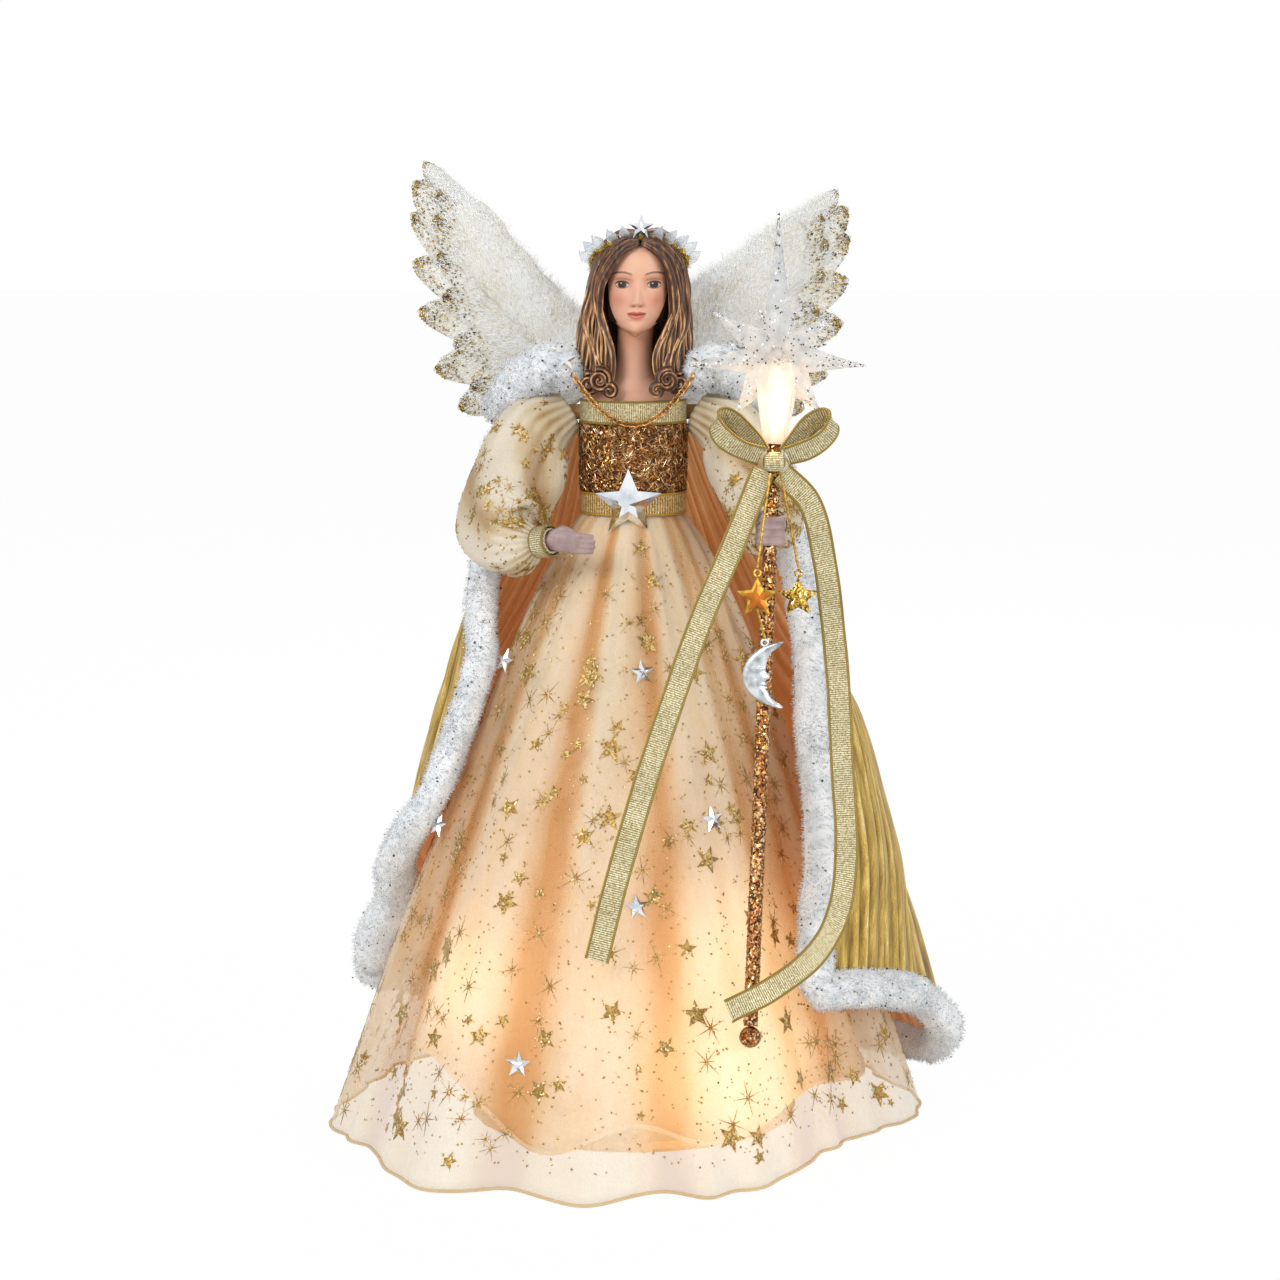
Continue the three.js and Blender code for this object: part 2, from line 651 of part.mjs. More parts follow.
// The torso core: spigot in the cone, waist, chest and a shoulder bar across
function buildTorso() {
  const inset = 2 * (cloth_thickness + seat_gap);
  const waist_in = waist_half_width - inset;
  const waist_in_depth = waist_half_width * waist_depth_share - inset;
  const chest_in = chest_half_width - cloth_thickness - seat_gap;
  const chest_in_depth = chest_half_width * chest_depth_share - cloth_thickness - seat_gap;
  const spigot = cone_top_radius - cone_wall - seat_gap;
  const foot = cone_height + seat_gap;
  const band_top = waist_height + waistband_height;
  const bodice_foot = waist_height + belt_height + seat_gap;
  const body = loft([
    ovalRing(spigot - spigot_taper, spigot - spigot_taper, cone_height - spigot_length),
    ovalRing(spigot - seat_gap, spigot - seat_gap, cone_height - cone_wall),
    ovalRing(spigot - seat_gap, spigot - seat_gap, foot),
    ovalRing(waist_in, waist_in_depth, foot + seat_gap),
    ovalRing(waist_in, waist_in_depth, band_top),
    ...Array.from({ length: bodice_rows + 1 }, (_, j) => {
      const [half, deep] = bodiceHalf(j / bodice_rows);
      const under = cloth_thickness + seat_gap;
      return ovalRing(half - under, deep - under, mix(bodice_foot, chest_height, j / bodice_rows));
    }),
    ovalRing(chest_in, chest_in_depth, shoulder_height),
  ]);
  const bar_height = shoulder_height - shoulder_bar_radius;
  const bar = rod([
    at(axis_x - shoulder_bar_half_length, shoulder_bar_setback, bar_height),
    at(axis_x + shoulder_bar_half_length, shoulder_bar_setback, bar_height),
  ], shoulder_bar_radius, { sides: 8 });
  const post_hole = rod([
    at(axis_x, chest_in_depth - 3 * bracket_post_radius, bracketPostHeight()),
    at(axis_x, chest_in_depth + bracket_post_radius, bracketPostHeight()),
  ], bracket_post_radius + seat_gap, { sides: 8 });
  piece("torso_core", cut(fuse(body, bar), post_hole), padding);
}

// Bodice, neckline ribbon and belt
function buildBodice() {
  const foot = waist_height + belt_height + seat_gap;
  const columns = torso_sides;
  const sections = Array.from({ length: columns }, (_, k) => {
    const turns = k / columns;
    const outer = [];
    const inner = [];
    for (let j = 0; j <= bodice_rows; j++) {
      const s = j / bodice_rows;
      const radius = ovalRadius(...bodiceHalf(s), turns);
      const z = mix(foot, chest_height, s);
      outer.push(polar(turns, radius, z));
      inner.unshift(polar(turns, radius - cloth_thickness, z));
    }
    return [...outer, ...inner];
  });
  piece("bodice", loft(sections, { closed: true, folded: "sides" }), copper_glitter);

  const neck_half = chest_half_width + seat_gap;
  const neck_half_depth = neck_half * chest_depth_share;
  const neck_steps = 16;
  const front = Array.from({ length: neck_steps + 1 }, (_, k) => {
    const turns = mix(-neckline_ribbon_turn_share, neckline_ribbon_turn_share, k / neck_steps);
    const inner = ovalRadius(neck_half - ribbon_thickness, neck_half_depth - ribbon_thickness, turns);
    return [[0, 0], [ribbon_thickness, 0], [ribbon_thickness, 1], [0, 1]].map(([deep, high]) => polar(
      turns,
      inner + deep,
      chest_height + seat_gap + high * neckline_ribbon_width,
    ));
  });
  piece("neckline_ribbon", loft(front, { folded: "sides" }), gold_ribbon);

  const belt_inner = waist_half_width + seat_gap;
  const belt_steps = torso_sides;
  const belt = Array.from({ length: belt_steps }, (_, k) => {
    const turns = k / belt_steps;
    const inner = ovalRadius(belt_inner, waist_half_width * waist_depth_share + seat_gap, turns);
    return [[0, 0], [ribbon_thickness, 0], [ribbon_thickness, 1], [0, 1]].map(([deep, high]) => polar(
      turns,
      inner + deep,
      waist_height + seat_gap + high * (belt_height - 2 * seat_gap),
    ));
  });
  piece("belt_ribbon", loft(belt, { closed: true, folded: "sides" }), gold_ribbon);

  const belt_front = waist_half_width * waist_depth_share + 2 * seat_gap + ribbon_thickness;
  const back = belt_front + belt_star_setoff;
  const stud_ends = [at(0, belt_star_setoff - seat_gap, 0), at(0, -belt_star_thickness / 2, 0)];
  const stud = rod(stud_ends, belt_star_stud_radius);
  const star = piece("belt_star", fuse(facetedStar(belt_star_radius, belt_star_thickness), stud), silver);
  star.position.set(axis_x + belt_star_lean_x, -back, waist_height + belt_star_rise);
}

// Arms: each runs from the end of the shoulder bar by way of the elbow to the wrist
const arm_top_z = shoulder_height - shoulder_bar_radius;
const shoulder = (side) => at(
  axis_x + side * (shoulder_bar_half_length + seat_gap),
  shoulder_bar_setback,
  arm_top_z,
);
// Places from an anchor, as shares of a length: outwards to that side, backwards, up
const placesFrom = (anchor, length, side, shares) => shares.map(
  ([out, back, up]) => anchor.clone().add(at(side * out * length, back * length, up * length)),
);
const arm_right_shares = [
  [0, 0, 0], [0.156, -0.048, -0.093], [0.266, -0.119, -0.331], [0.307, -0.25, -0.521], [0.26, -0.393, -0.617],
  [0.147, -0.488, -0.6],
];
const arm_left_shares = [
  [0, 0, 0], [0.169, -0.062, -0.096], [0.264, -0.173, -0.306], [0.332, -0.321, -0.467],
  [0.36, -0.481, -0.528], [0.36, -0.617, -0.516],
];
const arms = {
  right: {
    side: -1,
    run: placesFrom(shoulder(-1), arm_right_length, -1, arm_right_shares),
    puff: sleeve_puff_radius,
  },
  left: {
    side: 1,
    run: placesFrom(shoulder(1), arm_left_length, 1, arm_left_shares),
    puff: sleeve_puff_radius * 0.867,
  },
};
const evenRows = (values) => values.map((value, k) => [k / (values.length - 1), value]);
const sleeveRadii = (arm, count) => Array.from({ length: count + 1 }, (_, i) => {
  const s = i / count;
  const grown = along(evenRows(sleeve_puff_shares), 1, s);
  return mix(mix(sleeve_shoulder_radius, sleeve_end_radius, s), arm.puff, grown);
});

function buildArm(name, arm) {
  const rows = sleeve_rows;
  const run = smooth(arm.run, rows);
  const radii = sleeveRadii(arm, rows);
  const frames = framesAlong(run, at(0, 1, 0));
  const ringAt = ({ point, across, beside }, radius, s) => Array.from({ length: sleeve_sides }, (_, k) => {
    const angle = (full_turn * k) / sleeve_sides;
    const pucker = 1 + sleeve_pucker_share * Math.sin(Math.PI * s) * Math.cos(sleeve_pucker_count * angle);
    return point.clone()
      .addScaledVector(across, Math.cos(angle) * radius * pucker)
      .addScaledVector(beside, Math.sin(angle) * radius * pucker);
  });
  const wrist = run[rows];
  const before = run[rows - 1];
  const ahead = wrist.clone().sub(before).normalize();
  frames.push({ ...frames[rows], point: wrist.clone().addScaledVector(ahead, cuff_width) });
  radii.push(sleeve_end_radius);
  const skin_rings = (inset) => frames.map(
    (frame, i) => ringAt(frame, radii[i] - inset, Math.min(1, i / rows)),
  );
  const skins = [...skin_rings(0), ...skin_rings(sleeve_wall).reverse()];
  piece("sleeve_" + name, loft(skins, { closed: true, folded: "rings" }), organza);
  const arm_end = wrist.clone().addScaledVector(ahead, -cuff_width / 2);
  const start = run[0].clone().addScaledVector(at(arm.side, 0, 0), seat_gap);
  const inside = [
    start,
    start.clone().addScaledVector(at(arm.side, 0, 0), arm_radius),
    ...run.slice(2, rows),
    arm_end,
  ];
  piece("arm_" + name, rod(inside, arm_radius, { sides: 8 }), padding);

  const cuff_in = sleeve_end_radius + seat_gap + 0.5 * ribbon_thickness;
  const cuff_start = wrist.clone().addScaledVector(ahead, 2 * seat_gap);
  const cuff_end = wrist.clone().addScaledVector(ahead, cuff_width);
  const band = rod([cuff_start, cuff_end], cuff_in + ribbon_thickness, { sides: cuff_sides });
  const bore = rod(
    [
      cuff_start.clone().addScaledVector(ahead, -cuff_width),
      cuff_end.clone().addScaledVector(ahead, cuff_width),
    ],
    cuff_in,
    { sides: cuff_sides },
  );
  piece("cuff_" + name, cut(band, bore), gold_ribbon);
  const pressed = loft(skin_rings(-seat_gap - sleeve_pucker_share));
  return { wrist, ahead, arm_end, pressed };
}

// The right hand lies open: a palm, four fingers side by side and a thumb
function buildRightHand({ wrist, ahead, arm_end }) {
  const start = arm_end.clone().addScaledVector(ahead, seat_gap);
  const reach = ahead.clone().lerp(at(1, -0.12, -0.12), 0.8).normalize();
  const heel = wrist.clone().addScaledVector(ahead, cuff_width);
  const knuckle = heel.clone().addScaledVector(reach, hand_length * 0.45);
  const stem = rod([start, heel.clone().lerp(start, 0.2)], arm_radius, { sides: 8 });
  const up = at(0, 0, 1);
  const palm = rod(
    [
      heel.clone().addScaledVector(reach, -palm_half_thickness),
      heel,
      heel.clone().lerp(knuckle, 0.5),
      knuckle,
    ],
    [palm_half_thickness, palm_half_width * 0.85, palm_half_width, palm_half_width * 0.9],
    { sides: 10, side: at(0, 1, 0), flat: palm_half_thickness / palm_half_width },
  );
  const spread = (2 * (palm_half_width - finger_radius)) / 3;
  const fingers = [0, 1, 2, 3].map((k) => {
    const aside = up.clone().multiplyScalar((1.5 - k) * spread);
    const length = hand_length * (0.55 - 0.04 * Math.abs(1.5 - k));
    const from = knuckle.clone().add(aside).addScaledVector(reach, -finger_radius);
    const tip = from.clone().addScaledVector(reach, length).addScaledVector(at(0, 1, -0.2), length * 0.16);
    const bend = from.clone().lerp(tip, 0.5).addScaledVector(at(0, -1, 0), finger_radius * 0.4);
    const run = [from, bend, tip.clone().lerp(from, 0.08), tip];
    return rod(run, [1, 1, 0.85, 0.4].map((share) => finger_radius * share), { sides: 5 });
  });
  const thumb_from = heel.clone().addScaledVector(up, palm_half_width * 0.5);
  const thumb = rod([
    thumb_from,
    thumb_from.clone().addScaledVector(reach, hand_length * 0.24).addScaledVector(up, palm_half_width * 0.62),
    thumb_from.clone().addScaledVector(reach, hand_length * 0.42).addScaledVector(up, palm_half_width * 0.5),
  ], [finger_radius * 1.3, finger_radius * 1.15, finger_radius * 0.6], { sides: 6 });
  piece("hand_right", fuse(stem, palm, ...fingers, thumb), hand_skin);
}

// Staff line from the ball to the starburst
const staff_foot = at(axis_x + staff_foot_aside, -staff_foot_forward, staff_foot_height);
const staff_head = at(axis_x + staff_head_aside, -staff_head_forward, waist_height + staff_head_rise);
const staff_line = staff_head.clone().sub(staff_foot).normalize();
const staffAt = (z) => staff_foot.clone().addScaledVector(staff_line, (z - staff_foot.z) / staff_line.z);

// The left hand closes round the staff: a palm behind it and four fingers wrapped round its front
function buildLeftHand({ wrist, ahead, arm_end }) {
  const grip_height = wrist.z + 0.6 * finger_radius;
  const grip = staffAt(grip_height);
  const start = arm_end.clone().addScaledVector(ahead, seat_gap);
  const wrap = staff_radius + seat_gap + finger_radius;
  const palm_centre = grip.clone().add(at(0, wrap + palm_half_thickness, 0));
  const heel = wrist.clone().addScaledVector(ahead, cuff_width);
  const stem = rod(
    [start, heel, palm_centre.clone().lerp(heel, 0.4)],
    [arm_radius, arm_radius, palm_half_width * 0.8],
    { sides: 8 },
  );
  const palm = rod(
    [-0.36, -0.2, 0.2, 0.36].map(
      (share) => palm_centre.clone().addScaledVector(staff_line, hand_length * share),
    ),
    [0.6, 1.15, 1.15, 0.6].map((share) => palm_half_width * share),
    { sides: 8, side: at(0, 1, 0), flat: 0.8 },
  );
  const fingers = [0, 1, 2, 3].map((k) => {
    const level = grip.clone().addScaledVector(staff_line, (1.5 - k) * finger_radius * 2.05);
    const bend = Array.from({ length: finger_steps + 1 }, (_, i) => {
      const angle = mix(0.43, -0.43, i / finger_steps) * full_turn;
      return level.clone().add(at(wrap * Math.sin(angle), -wrap * Math.cos(angle), 0));
    });
    return rod(bend, finger_radius, { sides: 4 });
  });
  const hole = rod(
    [staffAt(grip_height - hand_length), staffAt(grip_height + hand_length)],
    staff_radius + seat_gap,
    { sides: 8 },
  );
  piece("hand_left", cut(fuse(stem, palm, ...fingers), hole), hand_skin);
}

// Head casting: bust plate, neck, face with nose, and sculpted hair that falls in waved locks
const face_rows = [
  // share of the height, then the half width, front and back as shares of theirs
  [0, 0.22, 0.82, 0.1],
  [0.05, 0.5, 0.92, 0.3],
  [0.14, 0.72, 0.95, 0.5],
  [0.3, 0.9, 0.96, 0.75],
  [0.46, 0.99, 0.97, 0.95],
  [0.62, 1, 0.97, 1],
  [0.78, 0.93, 0.94, 1],
  [0.91, 0.7, 0.76, 0.8],
  [1, 0.3, 0.36, 0.36],
];
// The hair down the back. Each row: width and depth shares of the cap's, then how far up it is from its tips
// to the cap's middle
const back_hair_shares = [[0.9, 0.615, 0.84], [1, 0.615, 0.49], [0.95, 0.51, 0.22], [0.8, 0.36, 0.046]];
const back_hair_sides = 14;
function hairCapRadius(turns, z) {
  const level = Math.min(1, Math.abs(z - hair_cap_centre_height) / hair_cap_rise);
  const shrink = (1 - level ** hair_power_share) ** (1 / hair_power_share);
  return shrink * ovalRadius(hair_cap_half_width, hair_cap_half_depth, turns);
}
function buildHead() {
  const chest_foot = shoulder_height + seat_gap;
  const throat = mix(chest_foot, chin_height, 0.5);
  const neck_top = chin_height + face_height * 0.3;
  const bust = loft([
    ovalRing(bust_half_width, bust_half_depth, chest_foot, bust_sides),
    ovalRing(bust_half_width * 0.97, bust_half_depth * 0.97, mix(chest_foot, throat, 0.25), bust_sides),
    ovalRing(bust_half_width * 0.72, bust_half_depth * 0.78, mix(chest_foot, throat, 0.6), bust_sides),
    ovalRing(neck_radius * 1.15, neck_radius * 1.1, throat, bust_sides, head_setback * 0.5, head_x),
    ovalRing(neck_radius, neck_radius, chin_height, bust_sides, head_setback * 0.8, head_x),
    ovalRing(neck_radius, neck_radius, neck_top, bust_sides, head_setback * 0.5, head_x),
  ]);
  const face = loft(face_rows.map(([share, wide, front, back]) => Array.from({ length: 16 }, (_, k) => {
    const angle = (full_turn * k) / 16;
    const deep = Math.cos(angle) > 0 ? face_depth * front : skull_depth * back;
    return at(
      head_x + face_half_width * wide * Math.sin(angle),
      head_setback - deep * Math.cos(angle),
      chin_height + face_height * share,
    );
  })));
  const nose_front = head_setback - face_depth;
  const nose = rod([
    at(head_x, nose_front + nose_radius, chin_height + face_height * 0.56),
    at(head_x, nose_front + nose_radius - nose_reach * 0.5, chin_height + face_height * 0.42),
    at(head_x, nose_front + nose_radius - nose_reach, chin_height + face_height * 0.34),
    at(head_x, nose_front + nose_radius, chin_height + face_height * 0.3),
  ], [nose_radius * 0.5, nose_radius * 0.7, nose_radius, nose_radius * 0.5], { sides: 6 });

  const cap_levels = [-0.62, -0.3, 0, 0.3, 0.55, 0.75, 0.9, 0.98];
  const cap = loft(cap_levels.map((level) => Array.from({ length: hair_sides }, (_, k) => {
    const z = hair_cap_centre_height + hair_cap_rise * level;
    const radius = hairCapRadius(k / hair_sides, z);
    return at(
      head_x + radius * Math.sin((full_turn * k) / hair_sides),
      hair_cap_setback - radius * Math.cos((full_turn * k) / hair_sides),
      z,
    );
  })));
  const opening = new THREE.CylinderGeometry(1, 1, hair_cap_half_depth, 20).scale(
    hair_opening_half_width, 1, hair_opening_half_height,
  ).translate(head_x, -hair_cap_half_depth, hair_opening_centre_height);
  const back_hair = loft(back_hair_shares.map(([wide, deep, up]) => ovalRing(
    hair_cap_half_width * wide,
    hair_cap_half_depth * deep,
    mix(hair_tip_height, hair_cap_centre_height, up),
    back_hair_sides,
    back_hair_setback,
    head_x,
  )));
  const locks = [-1, 1].flatMap((side) => Array.from({ length: locks_per_side }, (_, k) => {
    const order = k / (locks_per_side - 1);
    const run = Array.from({ length: lock_steps + 1 }, (_, i) => {
      const s = i / lock_steps;
      const curl = Math.max(0, s - 0.72) / 0.28;
      const widest = Math.sin(Math.PI * Math.min(1, s * 1.05)) * 0.6 + order * 0.5;
      const out = mix(lock_inner_reach, lock_outer_reach, widest) - lock_curl_reach * curl * curl;
      const wave = lock_wave * Math.sin(full_turn * (s * 1.6 + order * 0.37));
      return at(
        head_x + side * (out + wave),
        mix(lock_front_place, lock_back_place, order) + lock_wave * Math.cos(full_turn * (s * 1.5 + order)),
        mix(hair_cap_centre_height + lock_radius, hair_tip_height + lock_radius, s),
      );
    });
    const radii = run.map((_, i) => lock_radius * mix(0.85, 1.05, Math.sin((Math.PI * i) / lock_steps)));
    return rod(run, radii, { sides: 5 });
  }));
  piece("head_casting", fuse(cut(cap, opening), bust, face, nose, back_hair, ...locks), painted_head);
}

// Crown: a tinsel wreath that seats on the hair, with leaves, and a star at its front
const wreathHeight = (turns) => wreath_height + wreath_front_rise * Math.cos(full_turn * turns);
function wreathPoint(turns, outward = 0) {
  const z = wreathHeight(turns);
  const radius = hairCapRadius(turns, z - wreath_radius) + seat_gap + wreath_radius + outward;
  return at(
    head_x + radius * Math.sin(full_turn * turns),
    hair_cap_setback - radius * Math.cos(full_turn * turns),
    z,
  );
}
function buildCrown() {
  const steps = 24;
  const rings = Array.from({ length: steps }, (_, i) => {
    const turns = i / steps;
    const point = wreathPoint(turns);
    const out = at(Math.sin(full_turn * turns), -Math.cos(full_turn * turns), 0);
    return Array.from({ length: 6 }, (_, k) => {
      const angle = (full_turn * k) / 6;
      return point.clone()
        .addScaledVector(out, wreath_radius * Math.cos(angle))
        .addScaledVector(along_z, wreath_radius * Math.sin(angle));
    });
  });
  const leaves = leaf_turn_shares.map((turns) => {
    const base = wreathPoint(turns);
    const out = at(Math.sin(full_turn * turns), -Math.cos(full_turn * turns), 0.9).normalize();
    const leaf = new THREE.OctahedronGeometry(1).scale(leaf_width / 2, leaf_thickness / 2, leaf_length / 2);
    return turnedTo(leaf, base.addScaledVector(out, leaf_length * 0.34), out);
  });
  piece("crown_wreath", fuse(loft(rings, { closed: true }), ...leaves), gold_metal);
  const front = wreathPoint(0);
  const star = piece("crown_star", facetedStar(crown_star_radius, small_star_thickness), silver);
  star.position.set(front.x, front.y - wreath_radius - seat_gap, front.z + crown_star_radius * 0.35);
}

// Fur collar puffs over the shoulders, each with a star clasp, and the chain that hangs between the clasps
// each row: shares of the collar's length outwards, backwards and up, from the end of the shoulder bar
const collar_run_shares = [
  [-0.08, -0.2, 0.224], [0.1, -0.2, 0.38], [0.33, -0.12, 0.33], [0.56, 0.04, 0.145], [0.75, 0.2, -0.075],
];
const collar_radius_shares = [0.5, 0.88, 1, 0.84, 0.5];
function buildCollar(arm) {
  const steps = 8;
  const run = smooth(placesFrom(shoulder(arm.side), collar_length, arm.side, collar_run_shares), steps);
  const radii = run.map((_, i) => collar_radius * along(evenRows(collar_radius_shares), 1, i / steps));
  return rod(run, radii, { sides: 9, side: at(0, 1, 0) });
}
function clasp(side) {
  return at(axis_x + side * clasp_half_span, clasp_setback, clasp_height);
}
function buildClasps() {
  for (const [name, side] of [["right", -1], ["left", 1]]) {
    const star = piece("shoulder_star_" + name, facetedStar(clasp_star_radius, small_star_thickness), silver);
    star.position.copy(clasp(side)).add(at(side * clasp_star_radius * 0.6, 0, clasp_star_radius));
  }
}
function buildChain() {
  const bow = new THREE.CatmullRomCurve3(Array.from({ length: 2 * chain_links + 1 }, (_, i) => {
    const x = mix(-1, 1, i / (2 * chain_links));
    return at(axis_x + x * clasp_half_span, clasp_setback, clasp_height - chain_drop * (1 - x * x));
  }));
  const hang = bow.getSpacedPoints(2 * chain_links).filter((_, i) => i % 2);
  const link_length = bow.getLength() / chain_links + (2 - chain_bite_share) * chain_wire_radius;
  const link_steps = 6;
  const links = hang.map((centre, i) => {
    const ahead = hang[Math.min(i + 1, chain_links - 1)].clone().sub(hang[Math.max(i - 1, 0)]).normalize();
    const flat = i % 2 ? at(0, 1, 0) : ahead.clone().cross(at(0, 1, 0)).normalize();
    const rings = Array.from({ length: link_steps }, (_, k) => {
      const angle = (full_turn * k) / link_steps;
      const out = ahead.clone().multiplyScalar(Math.cos(angle)).addScaledVector(flat, Math.sin(angle));
      const wire_centre = centre.clone()
        .addScaledVector(ahead, (link_length / 2) * Math.cos(angle))
        .addScaledVector(flat, (chain_link_width / 2) * Math.sin(angle));
      const upright = ahead.clone().cross(flat);
      return Array.from({ length: 4 }, (_, m) => {
        const turn = (full_turn * m) / 4;
        return wire_centre.clone()
          .addScaledVector(out, chain_wire_radius * Math.cos(turn))
          .addScaledVector(upright, chain_wire_radius * Math.sin(turn));
      });
    });
    return loft(rings, { closed: true });
  });
  piece("neck_chain", fuse(...links), gold_metal);
}

// Wings: a stiff panel whose outer edge steps from feather tip to feather tip, with a second row over it
// outline places: share of the reach from the axis, share of the way up from the wing's foot to its tip
const wing_lead_shares = [[0.02, 0.18], [0.18, 0.34], [0.4, 0.58], [0.62, 0.76], [0.8, 0.9], [0.93, 1]];
const wing_foot_shares = [[0.6, -0.01], [0.4, 0.05], [0.1, 0.08]];
const wing_edge_shares = [[0.99, 0.93], [1, 0.8], [1, 0.6], [0.985, 0.42], [0.91, 0.2], [0.78, 0.02]];
function wingOutline(reach, tip_height, side, scale_share = 1) {
  const height = tip_height - wing_foot_height;
  const place = ([x, z]) => [
    axis_x + side * mix(wing_root_x, reach, x * scale_share),
    wing_foot_height + height * mix(0.32, z, scale_share),
  ];
  const edge = new THREE.CatmullRomCurve3(wing_edge_shares.map(([x, z]) => {
    const [px, pz] = place([x, z]);
    return at(px, 0, pz);
  }));
  const middle = place([0.35, 0.45]);
  const steps = [];
  for (let k = 0; k < wing_feather_count; k++) {
    for (const [where, inset_share] of [[0.08, 0.2], [0.5, 0], [0.86, 0.25], [1, 1]]) {
      const p = edge.getPoint(Math.min(1, (k + where) / wing_feather_count));
      const inward = at(middle[0] - p.x, 0, middle[1] - p.z).normalize();
      inward.multiplyScalar(wing_notch * scale_share * inset_share);
      steps.push([p.x + inward.x, p.z + inward.z]);
    }
  }
  return [...wing_lead_shares.map(place), ...steps, ...wing_foot_shares.map(place)];
}
// A panel over an outline in x and z, with its front and back as functions of x and z
function panel(outline, front, back) {
  const flat = outline.map(([x, z]) => new THREE.Vector2(x, z));
  const n = outline.length;
  const skin = (depth) => outline.map(([x, z]) => at(x, depth(x, z), z));
  const points = [...skin(front), ...skin(back)];
  const clockwise = THREE.ShapeUtils.isClockWise(flat);
  const faces = THREE.ShapeUtils.triangulateShape(flat, []).flatMap(
    ([a, b, c]) => [[a, b, c], [c + n, b + n, a + n]],
  );
  for (let k = 0; k < n; k++) {
    const m = (k + 1) % n;
    faces.push(...(clockwise ? [[k, m, m + n], [k, m + n, k + n]] : [[m, k, k + n], [m, k + n, m + n]]));
  }
  return closedBody(points, faces);
}
function buildWing(name, side, reach, tip_height) {
  const sweep = (x) => wing_setback + wing_sweep * Math.min(1, Math.abs(x - axis_x) / reach) ** 1.5;
  const primaries = panel(wingOutline(reach, tip_height, side), sweep, (x) => sweep(x) + wing_thickness);
  const coverts = panel(
    wingOutline(reach, tip_height, side, 0.8),
    (x) => sweep(x) - wing_thickness * 0.6,
    (x) => sweep(x) + wing_thickness * 0.5,
  );
  piece("wing_" + name, fuse(primaries, coverts), feather);

  const height = tip_height - wing_foot_height;
  const run = [...wing_lead_shares.slice(1, 5)].map(([x, z]) => {
    const px = axis_x + side * mix(wing_root_x, reach, x * 0.96);
    const py = sweep(px) - wing_thickness * 0.6 - seat_gap - down_radius * 0.53;
    return at(px, py, wing_foot_height + height * (z - 0.07));
  });
  const down = smooth(run, 8);
  const radii = down.map((_, i) => down_radius * mix(0.75, 1, Math.sin((Math.PI * (i + 1)) / 10)));
  piece("wing_down_" + name, rod(down, radii, { sides: 8, side: at(0, 1, 0), flat: 0.55 }), feather);
}

function bracketPostHeight() {
  return chest_height + (shoulder_height - chest_height) / 2;
}
function buildBracket() {
  const chest_in_depth = chest_half_width * chest_depth_share - cloth_thickness - seat_gap;
  const back = wing_setback - wing_thickness * 0.6 - seat_gap;
  const plate = new THREE.BoxGeometry(2 * bracket_half_width, bracket_thickness, bracket_height)
    .translate(axis_x, back - bracket_thickness / 2, bracket_foot_height + bracket_height / 2);
  const post = rod([
    at(axis_x, chest_in_depth - 2 * bracket_post_radius, bracketPostHeight()),
    at(axis_x, back - bracket_thickness / 2, bracketPostHeight()),
  ], bracket_post_radius, { sides: 8 });
  piece("wing_bracket", fuse(plate, post), white_card);
}

// Cape edges. Each row: share of the way down, turn share, hem radius share, height share
const cape_right_shares = [
  [0, -0.3, 0.425, 1], [0.14, -0.302, 0.455, 0.89], [0.26, -0.27, 0.457, 0.79], [0.4, -0.215, 0.465, 0.69],
  [0.52, -0.194, 0.505, 0.6], [0.66, -0.19, 0.56, 0.51], [0.78, -0.227, 0.61, 0.4],
  [0.88, -0.275, 0.73, 0.31], [1, -0.31, 0.9, 0.17],
];
const cape_left_shares = [
  [0, 0.3, 0.445, 1], [0.14, 0.288, 0.475, 0.89], [0.26, 0.268, 0.5, 0.79], [0.4, 0.232, 0.535, 0.69],
  [0.52, 0.188, 0.575, 0.6], [0.66, 0.172, 0.62, 0.52], [0.78, 0.146, 0.7, 0.4], [0.9, 0.13, 0.735, 0.32],
  [1, 0.112, 0.8, 0.245],
];
// Cape hem from the viewer's left round the back. Each row: share of the way round, radius and height shares
const cape_hem_shares = [
  [0, 0.9, 0.17], [0.07, 0.93, 0.1], [0.16, 0.93, 0.036], [0.31, 0.935, 0.032], [0.5, 0.93, 0.032],
  [0.686, 0.99, 0.042], [0.733, 0.995, 0.09], [0.77, 0.91, 0.15], [0.87, 0.815, 0.2], [1, 0.8, 0.245],
];
